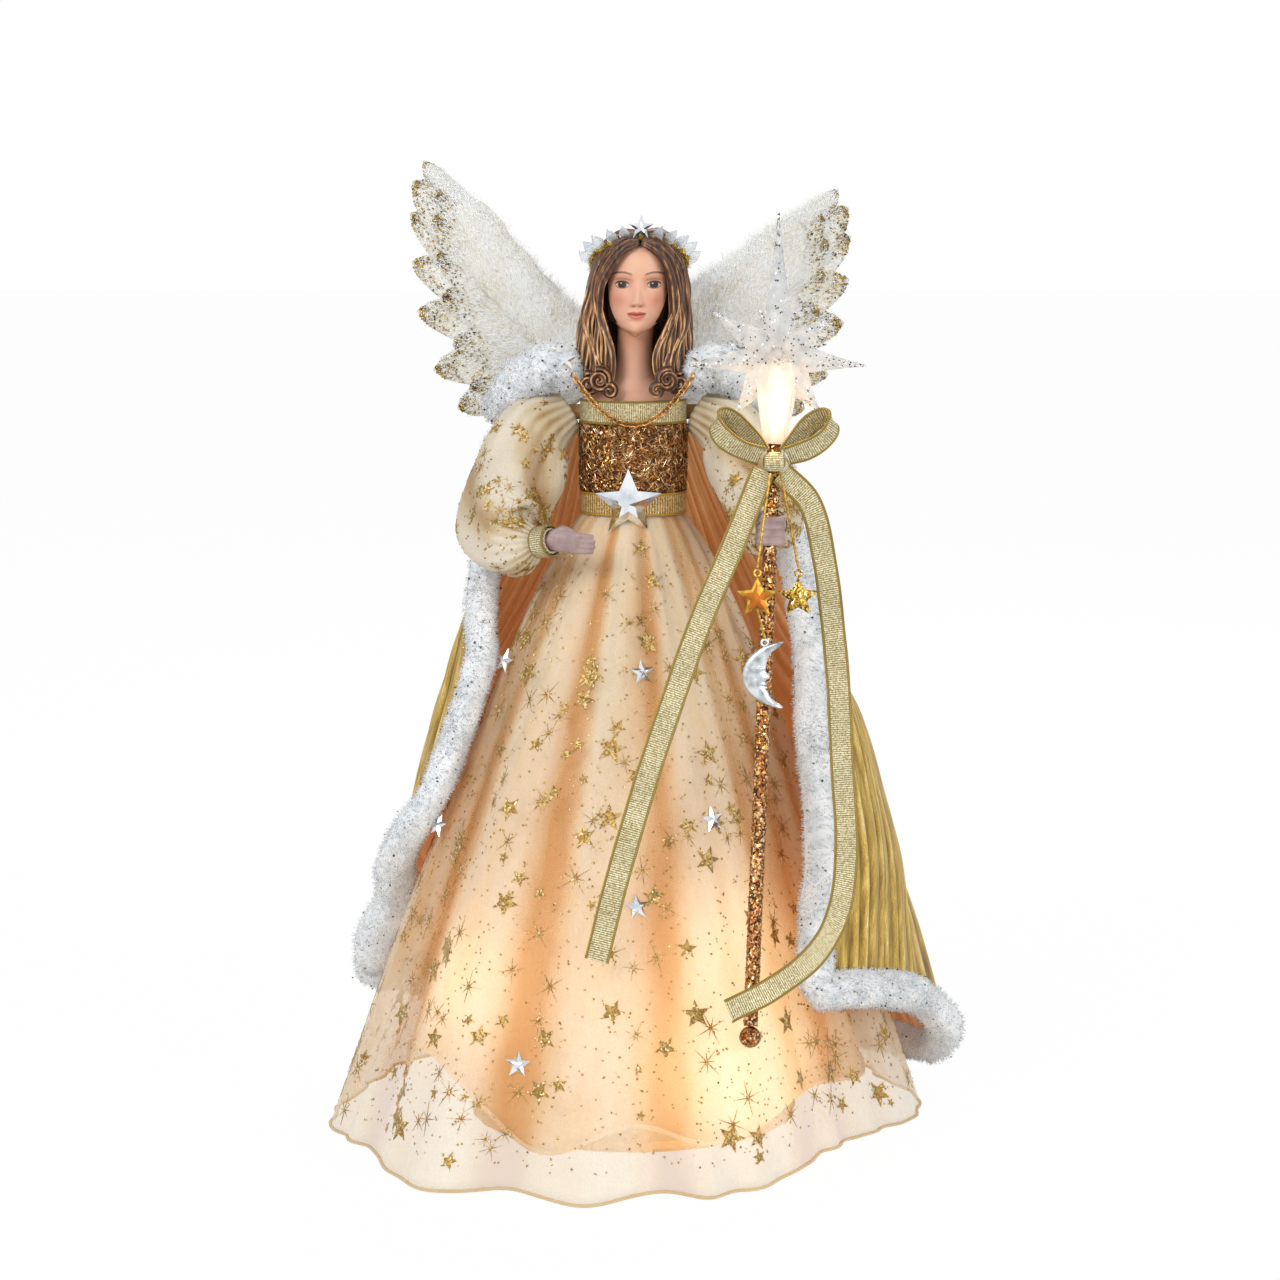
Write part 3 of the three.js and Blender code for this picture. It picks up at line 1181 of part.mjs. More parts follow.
// How far the cape has spread by each share of the way down: at the viewer's left, behind, and at the right
const cape_spread_shares = [
  [0, 0, 0, 0], [0.15, 0.2, 0.2, 0.2], [0.3, 0.36, 0.4, 0.44], [0.42, 0.47, 0.54, 0.6],
  [0.55, 0.57, 0.65, 0.79], [0.66, 0.66, 0.74, 0.88], [0.84, 0.82, 0.88, 0.96], [1, 1, 1, 1],
];
const edgePlace = (shares, down) => ({
  turns: along(shares, 1, down),
  radius: along(shares, 2, down) * hem_radius,
  z: along(shares, 3, down) * cape_top_height,
});
function capePlace(round, down) {
  const [right, left] = [edgePlace(cape_right_shares, down), edgePlace(cape_left_shares, down)];
  const turns = mix(right.turns, left.turns - 1, round);
  const top_radius = mix(
    mix(edgePlace(cape_right_shares, 0).radius, edgePlace(cape_left_shares, 0).radius, round),
    cape_back_depth,
    Math.sin(Math.PI * round) ** 0.8,
  );
  const hem_place = along(cape_hem_shares, 1, round) * hem_radius;
  const hem_z = along(cape_hem_shares, 2, round) * cape_top_height;
  const [at_left, behind, at_right] = [1, 2, 3].map((column) => along(cape_spread_shares, column, down));
  const middle = Math.sin(Math.PI * round) ** 2;
  const spread = mix(round < 0.5 ? at_left : at_right, behind, middle);
  const [near_right, near_left] = [(1 - round) ** 7, round ** 7];
  const folds = cape_fold_depth * Math.sin(Math.PI * round) * Math.sin(Math.PI * Math.min(1, down * 0.9))
    * Math.cos(full_turn * cape_fold_count * round);
  const free_radius = mix(top_radius, hem_place, spread);
  const free_z = mix(cape_top_height, hem_z, down);
  const blend = (free, at_right, at_left) => mix(mix(free, at_right, near_right), at_left, near_left);
  return {
    turns,
    radius: blend(free_radius, right.radius, left.radius) + folds,
    z: blend(free_z, right.z, left.z),
  };
}
// A place on the cape, held clear of the overskirt by a piece of the given thickness on its inside
function capePoint(round, down, inside = 0) {
  const { turns, radius, z } = capePlace(round, down);
  const clear = z < waist_height ? skirtRadiusAt(turns, z) + cape_clearance + inside : radius;
  return polar(turns, Math.max(radius, clear), z);
}
function capeSheet() {
  const sections = Array.from({ length: cape_columns + 1 }, (_, i) => {
    const outer = [];
    const inner = [];
    for (let j = 0; j <= cape_rows; j++) {
      const point = capePoint(i / cape_columns, j / cape_rows, 2 * cloth_thickness);
      const out = at(point.x - axis_x, point.y, 0).normalize();
      outer.push(point);
      inner.unshift(point.clone().addScaledVector(out, -cloth_thickness));
    }
    return [...outer, ...inner];
  });
  return loft(sections, { strip: true, folded: "sides" });
}
// Fur rolls along the cape's front edges and hem
function furRoll(places, radii, grow = 0) {
  return rod(places, radii.map((r) => r + grow), { sides: fur_sides, side: at(0, 0, 1) });
}
function borderRun(round, from, to, count, radius) {
  return Array.from(
    { length: count + 1 },
    (_, i) => capePoint(round, mix(from, to, i / count), radius(i / count)),
  );
}
function buildCape() {
  const right_radius = (s) => mix(border_radius, lobe_radius, Math.max(0, s - 0.7) / 0.3);
  const left_radius = (s) => mix(border_radius, hem_fur_radius, s);
  const steps = 12;
  const stations = Array.from({ length: steps + 1 }, (_, i) => i / steps);
  const right_run = borderRun(0, 0, 1, steps, right_radius);
  const left_run = borderRun(1, 0, 1, steps, left_radius);
  const hem_steps = 24;
  const hem_radius_at = (s) => mix(lobe_radius, hem_fur_radius, Math.min(1, s * 6));
  const hem_stations = Array.from({ length: hem_steps + 1 }, (_, i) => i / hem_steps);
  const hem_radii = hem_stations.map(hem_radius_at);
  const hem_run = hem_stations.map((round, i) => capePoint(round, 1, hem_radii[i]));
  const right = (grow) => furRoll(right_run, stations.map(right_radius), grow);
  const left = (grow) => furRoll(left_run, stations.map(left_radius), grow);
  piece("fur_border_right", right(0), white_fur);
  piece("fur_border_left", left(0), white_fur);
  piece("fur_hem", cut(furRoll(hem_run, hem_radii), right(seat_gap), left(seat_gap)), white_fur);
  const hem_room = furRoll(hem_run, hem_radii, seat_gap);
  piece("cape", cut(capeSheet(), hem_room, right(seat_gap), left(seat_gap)), gold_cloth);
}

// Staff: hollow rod, ball end, clear starburst with a stem socket, and the lamp inside that socket
function spike(direction, length, radius) {
  const steps = [[0, 0.25], [0.12, 1], [0.5, 0.62], [1, 0.06]];
  const line = direction.clone().normalize();
  const run = steps.map(([share]) => line.clone().multiplyScalar(length * share));
  const side = Math.abs(line.y) > 0.5 ? at(0, 0, 1) : at(0, 1, 0);
  return rod(run, steps.map(([, wide]) => radius * wide), { sides: 4, side });
}
function buildStaff() {
  const socket_foot = staff_head.clone().addScaledVector(staff_line, -burst_stem_length);
  const rod_top = socket_foot.clone().addScaledVector(staff_line, staff_in_socket);
  const rod_foot = staff_foot.clone().addScaledVector(staff_line, staff_ball_radius + seat_gap);
  const length = rod_top.distanceTo(rod_foot);
  const tube = turnedBody([
    [staff_bore_radius, 0], [staff_radius, 0], [staff_radius, length], [staff_bore_radius, length],
    [staff_bore_radius, 0],
  ], 12);
  piece("staff_rod", turnedTo(tube, rod_foot, staff_line), amber_acrylic);

  const plug_radius = staff_bore_radius - seat_gap;
  const ball_profile = Array.from({ length: 8 }, (_, k) => {
    const angle = (Math.PI * k) / 8;
    return [staff_ball_radius * Math.sin(angle), -staff_ball_radius * Math.cos(angle)];
  });
  const neck = staff_ball_radius * Math.cos(Math.asin(plug_radius / staff_ball_radius));
  const plug_top = 2 * staff_ball_radius;
  const ball = turnedBody([...ball_profile, [plug_radius, neck], [plug_radius, plug_top], [0, plug_top]], 12);
  piece("staff_ball", turnedTo(ball, staff_foot, staff_line), amber_acrylic);

  const lamp_foot = rod_top.clone().addScaledVector(staff_line, seat_gap);
  const lamp = turnedBody([
    [0, 0], [lamp_bulb_radius, 0], [lamp_bulb_radius, lamp_bulb_length * 0.4],
    [lamp_bulb_radius * 0.9, lamp_bulb_length * 0.75], [0, lamp_bulb_length],
  ], 10);
  piece("star_lamp", turnedTo(lamp, lamp_foot, staff_line), lamp_glass);

  const stem = turnedBody([
    [0, 0], [staff_radius + burst_socket_wall, 0], [burst_stem_radius, burst_stem_length * 0.5],
    [burst_stem_radius * 0.8, burst_stem_length * 0.95], [0, burst_stem_length],
  ], 10);
  const socket = turnedBody([
    [0, -staff_radius], [staff_radius + seat_gap, -staff_radius],
    [staff_radius + seat_gap, burst_socket_depth], [0, burst_socket_depth],
  ], 12);
  const spikes = [
    [at(0, 0, 1), burst_spike_length, 1],
    [at(1, 0, -0.1), burst_side_length, 0.9],
    [at(-1, 0, -0.1), burst_side_length, 0.9],
    [at(-0.82, 0, 0.57), burst_diagonal_length, 0.75],
    [at(0.82, 0, 0.62), burst_diagonal_length * 0.78, 0.75],
    [at(0.62, 0, -0.82), burst_diagonal_length * 0.8, 0.75],
    [at(-0.62, 0, -0.82), burst_diagonal_length * 0.8, 0.75],
    [at(0.36, 0, 0.93), burst_small_length, 0.6], [at(-0.36, 0, 0.93), burst_small_length, 0.6],
    [at(0.95, 0, 0.25), burst_small_length, 0.6], [at(-0.95, 0, 0.25), burst_small_length, 0.6],
    [at(0, -1, 0), burst_small_length * 0.8, 0.8], [at(0, 1, 0), burst_small_length * 0.8, 0.8],
  ].map(([direction, reach, wide]) => {
    const made = spike(direction, reach, burst_spike_radius * wide);
    return made.translate(staff_head.x, staff_head.y, staff_head.z);
  });
  const body = fuse(turnedTo(stem, socket_foot, staff_line), ...spikes);
  piece("star_finial", cut(body, turnedTo(socket, socket_foot, staff_line)), clear_acrylic);
}

// Bow in front of the stem's foot: a knot, two loops in one ribbon and two long tails
const knot_staff = staffAt(bow_knot_height);
const knot = knot_staff.clone().add(at(0, -staff_radius - seat_gap - bow_knot_half_depth, 0));
function buildBow() {
  const knot_body = new THREE.IcosahedronGeometry(1, 1);
  knot_body.scale(bow_knot_half_width, bow_knot_half_depth, bow_knot_half_height);
  piece("bow_knot", mergeVertices(new THREE.BufferGeometry().setAttribute(
    "position", knot_body.getAttribute("position"),
  ).translate(knot.x, knot.y, knot.z), seat_gap / 1000), gold_ribbon);
  for (const [name, side] of [["left", -1], ["right", 1]]) {
    const steps = 18;
    const ahead = at(side * bow_loop_reach, 0, bow_loop_rise);
    const aside = at(-side * 0.35, 0.5, 0.8).normalize();
    const start_aside = side * (bow_knot_half_width * bow_loop_start_share + seat_gap);
    const start = knot.clone().add(at(start_aside, 0, bow_knot_half_height * 0.5));
    const run = Array.from({ length: steps }, (_, i) => {
      const angle = mix(bow_loop_mouth_share, 1 - bow_loop_mouth_share, i / (steps - 1)) * full_turn;
      const out = 0.5 - 0.5 * Math.cos(angle);
      const spread = bow_loop_opening * Math.sin(angle) * Math.sqrt(out);
      return start.clone().addScaledVector(ahead, out).addScaledVector(aside, spread);
    });
    const lay = at(-side * 0.42, -0.5, 0.9).normalize();
    piece("bow_loop_" + name, ribbon(run, bow_ribbon_width, ribbon_thickness, () => lay), gold_ribbon);
  }
}

// Tails: places from the knot to the cut end, chosen by eye on the cloth's outside, as shares of the drop
const tail_left_shares = [
  [-0.0218, 0.0024, -0.0175], [-0.0733, -0.03, -0.1425], [-0.143, -0.065, -0.3025], [-0.228, -0.115, -0.5375],
  [-0.301, -0.167, -0.7675], [-0.356, -0.22, -0.9725],
];
const tail_right_shares = [
  [0.0145, 0.0031, -0.0228], [0.0717, 0.0153, -0.0825], [0.1042, 0.0353, -0.2075], [0.1292, 0.0453, -0.3975],
  [0.1417, 0.0153, -0.6025], [0.1492, -0.0347, -0.8025], [0.1317, -0.0947, -0.9025],
  [0.0817, -0.1647, -0.9725], [-0.0083, -0.2247, -1.03], [-0.0933, -0.2497, -1.0675],
];
function buildTails() {
  for (const [name, shares, steps] of [["left", tail_left_shares, 12], ["right", tail_right_shares, 20]]) {
    const run = smooth(placesFrom(knot, tail_drop, 1, shares), steps);
    const across = (i) => {
      const ahead = run[Math.min(i + 1, steps)].clone().sub(run[Math.max(i - 1, 0)]).normalize();
      return ahead.cross(at(0.15, -1, 0.1)).normalize();
    };
    piece("ribbon_tail_" + name, ribbon(run, tail_ribbon_width, ribbon_thickness, across), gold_ribbon);
  }
}

// Charms: two stars hang by their cords from the underside of the knot, and the moon below the front star
const pivot = knot.clone().add(at(0, -bow_knot_half_depth * 0.48, -bow_knot_half_height * 0.8 - seat_gap));
const charms = {
  star_front: {
    drop: charm_front_drop, aside: charm_front_aside, setoff: charm_front_setoff, head: -charm_cord_spread,
  },
  star_side: {
    drop: charm_side_drop, aside: charm_side_aside, setoff: charm_side_setoff,
    head: charm_cord_side_share * charm_cord_spread,
  },
  moon: { drop: charm_moon_drop, aside: charm_moon_aside, setoff: charm_moon_setoff },
};
const charmPlace = ({ drop, aside, setoff }) => staffAt(pivot.z - drop).add(at(aside, -setoff, 0));
// the moon's cord starts in the notch between the front star's lower tips, with room to turn there
const moon_pivot = charmPlace(charms.star_front).add(at(
  0,
  -charm_star_thickness / 2,
  -charm_star_radius * star_waist_share - seat_gap - charm_cord_radius,
));
// The moon's inner edge is a profile: chin, lips, nose and brow. Each pair: height share, half width share
const moon_profile_shares = [
  [-0.88, 0.71], [-0.68, 0.31], [-0.5, 0.16], [-0.38, 0.06], [-0.28, 0.12], [-0.2, 0.05], [-0.06, 0.25],
  [0.14, 0.06], [0.38, 0.11], [0.62, 0.26], [0.86, 0.71],
];
function moonShape() {
  const steps = 12;
  const outer = Array.from({ length: steps + 1 }, (_, i) => {
    const angle = mix(0.014, 0.986, i / steps) * Math.PI;
    return [moon_half_width * (1 - 2 * Math.sin(angle)), moon_radius * Math.cos(angle)];
  });
  const inner = moon_profile_shares.map(([z, x]) => [moon_half_width * x, moon_radius * z]);
  return [...outer, ...inner];
}
function buildCharms() {
  const hang = (name, charm, top, body_parts, cord_head, material) => {
    const lift = charmPlace(charm).add(at(0, -charm_cord_radius, top + charm_ring_radius));
    const ring_rings = Array.from({ length: 8 }, (_, k) => {
      const angle = (full_turn * k) / 8;
      const out = at(0, Math.cos(angle), Math.sin(angle));
      return Array.from({ length: 4 }, (_, m) => {
        const turn = (full_turn * m) / 4;
        return lift.clone().addScaledVector(out, charm_ring_radius)
          .addScaledVector(out, charm_cord_radius * Math.cos(turn))
          .addScaledVector(at(1, 0, 0), charm_cord_radius * Math.sin(turn));
      });
    });
    piece("charm_" + name, fuse(body_parts, loft(ring_rings, { closed: true })), material);
    const cord_foot = lift.clone().add(at(0, 0, charm_ring_radius + charm_cord_radius + seat_gap));
    const cord_run = [cord_head, cord_head.clone().lerp(cord_foot, 0.5), cord_foot];
    piece("charm_cord_" + name, rod(cord_run, charm_cord_radius, { sides: 6 }), gold_metal);
  };
  for (const name of ["star_front", "star_side"]) {
    const charm = charms[name];
    const place = charmPlace(charm);
    const body = facetedStar(charm_star_radius, charm_star_thickness).translate(place.x, place.y, place.z);
    const cord_head = pivot.clone().add(at(charm.head, 0, -charm_cord_radius));
    hang(name, charm, charm_star_radius, body, cord_head, gold_metal);
  }
  const { x, y, z } = charmPlace(charms.moon);
  const half = moon_thickness / 2;
  const moon = panel(moonShape(), () => -half, () => half).translate(x, y, z);
  hang("moon", charms.moon, moon_radius * moon_crest_share, moon, moon_pivot, silver);
}

buildCone();
buildTorso();
buildSkirts();
buildJewels();
buildBodice();
const right_wrist = buildArm("right", arms.right);
const left_wrist = buildArm("left", arms.left);
buildRightHand(right_wrist);
buildLeftHand(left_wrist);
buildHead();
buildCrown();
piece("fur_collar_right", cut(buildCollar(arms.right), right_wrist.pressed), white_fur);
piece("fur_collar_left", cut(buildCollar(arms.left), left_wrist.pressed), white_fur);
buildClasps();
buildChain();
buildWing("right", -1, wing_right_reach, wing_tip_height);
buildWing("left", 1, wing_left_reach, wing_tip_height - wing_left_drop);
buildBracket();
buildCape();
buildStaff();
buildBow();
buildTails();
buildCharms();

export default group;
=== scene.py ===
"""Angel tree topper, dressed: skirts, fur-edged gold cape, feathered wings, crown, chain and lit staff.

Lengths inside the functions are millimetres in the model's own frame: +Z up, the front towards -Y.
Turning angles are shares of a full turn from the front, growing towards the viewer's right.
"""
import math

import bmesh
import bpy
import numpy as np
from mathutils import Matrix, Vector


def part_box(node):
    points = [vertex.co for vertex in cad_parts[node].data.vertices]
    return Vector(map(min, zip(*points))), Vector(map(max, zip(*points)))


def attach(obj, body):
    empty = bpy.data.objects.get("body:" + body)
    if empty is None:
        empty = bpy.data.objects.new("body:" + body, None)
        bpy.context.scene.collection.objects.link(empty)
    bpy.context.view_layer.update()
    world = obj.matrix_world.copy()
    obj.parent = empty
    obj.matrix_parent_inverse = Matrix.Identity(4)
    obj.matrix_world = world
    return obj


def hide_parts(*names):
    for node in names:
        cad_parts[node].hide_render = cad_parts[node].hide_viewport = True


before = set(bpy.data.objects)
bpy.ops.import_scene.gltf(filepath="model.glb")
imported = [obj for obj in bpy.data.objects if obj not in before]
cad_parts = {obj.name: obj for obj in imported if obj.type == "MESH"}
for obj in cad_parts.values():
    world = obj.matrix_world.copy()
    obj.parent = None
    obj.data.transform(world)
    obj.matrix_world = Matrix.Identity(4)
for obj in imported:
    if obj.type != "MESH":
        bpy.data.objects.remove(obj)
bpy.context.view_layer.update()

MM = 0.001
TURN = 2 * math.pi
rng = np.random.default_rng(24)

# Figure, as in the model's source
axis_x = -5.0
head_x = -4.4
cone_height = 231.7
waist_height, waist_half_width, waist_depth_share = 258.6, 21.4, 0.78
waist_half_depth = waist_half_width * waist_depth_share
waistband_height = 7.4
chest_half_width, chest_depth_share, chest_height = 22.8, 0.8, 297.0
chin_height = 334.8
hem_radius = 140.0
hem_shares = [0.8, 0.81, 0.85, 0.88, 0.96, 1.03, 0.975, 0.87, 0.8, 0.86, 0.83, 0.8]
bell_power = 0.82
# Of each sewn star: place round the skirt, share of the way down
jewel_shares = [
    (-0.193, 0.237), (0.011, 0.235), (0.118, 0.17), (-0.19, 0.498), (0.071, 0.46), (0.003, 0.58),
    (-0.062, 0.815),
]
# Of each lamp in the cone: place round it, share of its height
lamp_shares = [(0.052, 0.17), (0.11, 0.18), (-0.125, 0.3), (0.105, 0.36), (-0.42, 0.3)]

# Camera, floor and light, in metres
camera_place, camera_down_degrees = (-0.00217, -1.5, 0.44), 8.945
camera_lens, camera_sensor = 100.6, 36
white, paper_grey = (1, 1, 1, 1), (0.9, 0.9, 0.9, 1)
air_colour, air_strength = (0.99, 0.99, 1, 1), 0.42
floor_reach, floor_white_share = 6.0, 0.975
lamps_aim_at = (0, 0, 0.2)
# Name, place, side of the square, watts
studio_lamps = [
    ("key", (-0.9, -1.3, 1.2), 0.8, 17),
    ("fill", (1.2, -1.0, 0.7), 0.9, 9),
    ("rim", (0.3, 1.2, 1.1), 0.8, 9),
]


def add_object(name, data):
    made = bpy.data.objects.new(name, data)
    bpy.context.scene.collection.objects.link(made)
    return made


def make_camera():
    camera = add_object("camera", bpy.data.cameras.new("camera"))
    camera.data.sensor_width = camera_sensor
    camera.data.lens = camera_lens
    camera.location = camera_place
    camera.rotation_euler = (math.radians(90 - camera_down_degrees), 0, 0)
    bpy.context.scene.camera = camera


def coloured(tree, kind, colour, strength=None):
    made = tree.nodes.new("ShaderNode" + kind)
    made.inputs["Color"].default_value = colour
    if strength is not None:
        made.inputs["Strength"].default_value = strength
    return made


def seen_rays(tree):
    """1 for camera, mirror and see-through rays, which all see the plain white background."""
    path = tree.nodes.new("ShaderNodeLightPath")
    total = path.outputs["Is Camera Ray"]
    for ray in ("Is Glossy Ray", "Is Transmission Ray"):
        add = tree.nodes.new("ShaderNodeMath")
        add.operation = "MAXIMUM"
        tree.links.new(total, add.inputs[0])
        tree.links.new(path.outputs[ray], add.inputs[1])
        total = add.outputs[0]
    return total


def blend_by(tree, share, lit, shown, output):
    """Light on the object comes from the first shader, and what the camera sees from the second."""
    blend = tree.nodes.new("ShaderNodeMixShader")
    for socket, source in zip(blend.inputs, (share, lit.outputs[0], shown.outputs[0])):
        tree.links.new(source, socket)
    tree.links.new(blend.outputs[0], output.inputs["Surface"])


def make_world():
    world = bpy.data.worlds.new("studio")
    bpy.context.scene.world = world
    world.use_nodes = True
    tree = world.node_tree
    tree.nodes.clear()
    output = tree.nodes.new("ShaderNodeOutputWorld")
    shown = coloured(tree, "Background", white, 1)
    lighting = coloured(tree, "Background", air_colour, air_strength)
    blend_by(tree, seen_rays(tree), lighting, shown, output)


def make_floor():
    floor = add_object("floor", bpy.data.meshes.new("floor"))
    corners = [(x * floor_reach, y * floor_reach, 0) for x, y in ((-1, -1), (1, -1), (1, 1), (-1, 1))]
    floor.data.from_pydata(corners, [], [(0, 1, 2, 3)])
    paper = bpy.data.materials.new("paper")
    paper.use_nodes = True
    tree = paper.node_tree
    tree.nodes.clear()
    output = tree.nodes.new("ShaderNodeOutputMaterial")
    share = tree.nodes.new("ShaderNodeMath")
    share.operation = "MULTIPLY"
    share.inputs[1].default_value = floor_white_share
    tree.links.new(seen_rays(tree), share.inputs[0])
    lit = coloured(tree, "BsdfDiffuse", paper_grey)
    blend_by(tree, share.outputs[0], lit, coloured(tree, "Emission", white), output)
    floor.data.materials.append(paper)


def make_lamps():
    for name, place, size, power in studio_lamps:
        lamp = bpy.data.lights.new(name, "AREA")
        lamp.energy = power
        lamp.size = size
        light = add_object(name, lamp)
        light.location = place
        aim = np.array(lamps_aim_at) - np.array(place)
        tip = math.atan2(math.hypot(aim[0], aim[1]), -aim[2])
        light.rotation_euler = (tip, 0, math.atan2(aim[0], -aim[1]) + math.pi)


def make_stage():
    bpy.context.scene.view_settings.view_transform = "Standard"
    make_camera()
    make_world()
    make_floor()
    make_lamps()


# Materials
def linear(hex_colour):
    """A colour written as six hex digits, as Blender's linear values."""
    values = [int(hex_colour[i:i + 2], 16) / 255 for i in (0, 2, 4)]
    return (*[v / 12.92 if v <= 0.04045 else ((v + 0.055) / 1.055) ** 2.4 for v in values], 1)


class Finish:
    """A material whose nodes are added one by one."""

    def __init__(self, name, **values):
        self.material = bpy.data.materials.new(name)
        self.material.use_nodes = True
        self.tree = self.material.node_tree
        self.shader = self.tree.nodes["Principled BSDF"]
        self.output = self.tree.nodes["Material Output"]
        for key, value in values.items():
            self.shader.inputs[key.replace("_", " ")].default_value = value

    def node(self, kind, links=(), values=(), **settings):
        made = self.tree.nodes.new("ShaderNode" + kind)
        for key, value in settings.items():
            setattr(made, key, value)
        for key, value in dict(values).items():
            made.inputs[key].default_value = value
        for key, value in dict(links).items():
            self.tree.links.new(value, made.inputs[key])
        return made

    def link(self, source, key):
        self.tree.links.new(source, self.shader.inputs[key])

    def surface(self, source):
        self.tree.links.new(source, self.output.inputs["Surface"])

    def place(self, stretch=None):
        """Object coordinates in metres, stretched along each axis where asked."""
        source = self.node("TexCoord").outputs["Object"]
        if stretch is None:
            return source
        return self.node("Mapping", {"Vector": source}, {"Scale": stretch}).outputs[0]

    def attribute(self, name):
        return self.node("Attribute", attribute_name=name).outputs["Fac"]

    def noise(self, size_mm, detail=3, vector=None):
        return self.node(
            "TexNoise", {"Vector": vector or self.place()},
            {"Scale": 1 / (size_mm * MM), "Detail": detail, "Roughness": 0.55},
        ).outputs["Fac"]

    def ramp(self, source, stops, stepped=False):
        """Colours at places from 0 to 1."""
        made = self.node("ValToRGB", {"Fac": source})
        ramp = made.color_ramp
        ramp.interpolation = "CONSTANT" if stepped else "LINEAR"
        while len(ramp.elements) < len(stops):
            ramp.elements.new(0.5)
        for element, (place, colour) in zip(ramp.elements, stops):
            element.position = place
            element.color = linear(colour) if isinstance(colour, str) else (colour, colour, colour, 1)
        return made.outputs["Color"]

    def fill(self, made, *inputs):
        """Links each socket, or sets each value, at its own input."""
        for key, value in inputs:
            if isinstance(value, bpy.types.NodeSocket):
                self.tree.links.new(value, made.inputs[key])
            else:
                made.inputs[key].default_value = linear(value) if isinstance(value, str) else value

    def mixed(self, share, first, second, blend_type="MIX"):
        made = self.node("Mix", data_type="RGBA", blend_type=blend_type)
        self.fill(made, (0, share), (6, first), (7, second))
        return made.outputs[2]

    def maths(self, operation, first, second=0.0):
        made = self.node("Math", operation=operation)
        self.fill(made, (0, first), (1, second))
        return made.outputs[0]

    def plus(self, first, second):
        return self.maths("ADD", first, second)

    def times(self, first, second):
        return self.maths("MULTIPLY", first, second)

    def ribs(self, pitch_mm):
        """Waves along a piece that carries its own length in millimetres."""
        return self.maths("SINE", self.times(self.attribute("along"), TURN / pitch_mm))

    def spread(self, source, low, high):
        """The value moved from 0..1 to low..high."""
        return self.node("MapRange", {"Value": source}, {"To Min": low, "To Max": high}).outputs["Result"]

    def bump(self, height, strength, distance_mm):
        made = self.node("Bump", {"Height": height}, {"Strength": strength, "Distance": distance_mm * MM})
        self.link(made.outputs["Normal"], "Normal")

    def lit_through(self, colour, share):
        """The shader, with a share of the light that falls on its back coming through."""
        soft = self.node("BsdfTranslucent", {"Color": colour}).outputs[0]
        return self.node("MixShader", {1: self.shader.outputs[0], 2: soft}, {0: share}).outputs[0]


def matt(name, light, dark, grain_mm, roughness, bump_mm=0.1):
    """Moulded or painted stuff with a mottled colour and a fine grain."""
    made = Finish(name, Roughness=roughness)
    made.link(made.ramp(made.noise(grain_mm * 6), [(0.3, dark), (0.7, light)]), "Base Color")
    made.link(made.spread(made.noise(grain_mm * 2), roughness - 0.1, min(1, roughness + 0.12)), "Roughness")
    made.bump(made.noise(grain_mm * 0.4), 0.5, bump_mm)
    return made.material


def metal(name, light, dark, roughness, grain_mm, metallic=1.0):
    """Bright metal or plated plastic with a little tarnish."""
    made = Finish(name, Metallic=metallic)
    made.link(made.ramp(made.noise(grain_mm * 3), [(0.35, dark), (0.6, light)]), "Base Color")
    made.link(made.spread(made.noise(grain_mm), roughness * 0.6, roughness * 1.6), "Roughness")
    made.bump(made.noise(grain_mm * 0.5), 0.3, 0.06)
    return made.material


def glitter(name, stops, cell_mm, tilt, metallic=0.85, roughness=0.25):
    """Close-packed flakes, each with its own colour and tilt."""
    made = Finish(name, Metallic=metallic, Roughness=roughness)
    cells = made.node("TexVoronoi", {"Vector": made.place()}, {"Scale": 1 / (cell_mm * MM)})
    parts = made.node("SeparateColor", {"Color": cells.outputs["Color"]})
    made.link(made.ramp(parts.outputs[0], stops, stepped=True), "Base Color")
    lean = made.node("VectorMath", {0: cells.outputs["Color"]}, {1: (0.5, 0.5, 0.5)}, operation="SUBTRACT")
    scaled = made.node("VectorMath", {0: lean.outputs[0]}, {"Scale": tilt}, operation="SCALE")
    normal = made.node("NewGeometry").outputs["Normal"]
    tilted = made.node("VectorMath", {0: normal, 1: scaled.outputs[0]}, operation="ADD")
    level = made.node("VectorMath", {0: tilted.outputs[0]}, operation="NORMALIZE")
    made.link(level.outputs[0], "Normal")
    return made.material


def cloth_material(name, ridge, between, valley, see_through, glow_strength, sheen=0.3):
    """Cloth with painted shade deeper in the valleys of its folds, paler ridges, and a painted glow near the
    lamps inside.
    """
    made = Finish(name, Roughness=0.5, Sheen_Weight=sheen, Sheen_Roughness=0.4)
    weave = made.noise(0.5, 2, made.place((1, 1, 0.4)))
    drift = made.maths("SUBTRACT", made.noise(14, 3, made.place((1, 1, 0.35))), 0.5)
    fold = made.plus(made.attribute("fold"), made.times(drift, 0.7))
    colour = made.ramp(fold, [(0.08, valley), (0.42, between), (0.8, ridge)])
    colour = made.mixed(0.22, colour, made.ramp(weave, [(0.35, 0.55), (0.65, 1.0)]), "MULTIPLY")
    made.link(colour, "Base Color")
    crumple = made.noise(5, 4, made.place((1, 1, 0.3)))
    made.bump(made.plus(weave, made.times(crumple, 6)), 0.5, 0.25)
    made.link(made.mixed(made.attribute("glow"), "e8823a", "ffdca8"), "Emission Color")
    made.link(made.times(made.attribute("glow"), glow_strength), "Emission Strength")
    if see_through:
        clear = made.node("BsdfTransparent").outputs[0]
        share = made.spread(fold, see_through * 1.12, see_through * 0.86)
        sheer = made.node("MixShader", {0: share, 1: made.lit_through(colour, 0.3), 2: clear})
        made.surface(sheer.outputs[0])
    return made.material


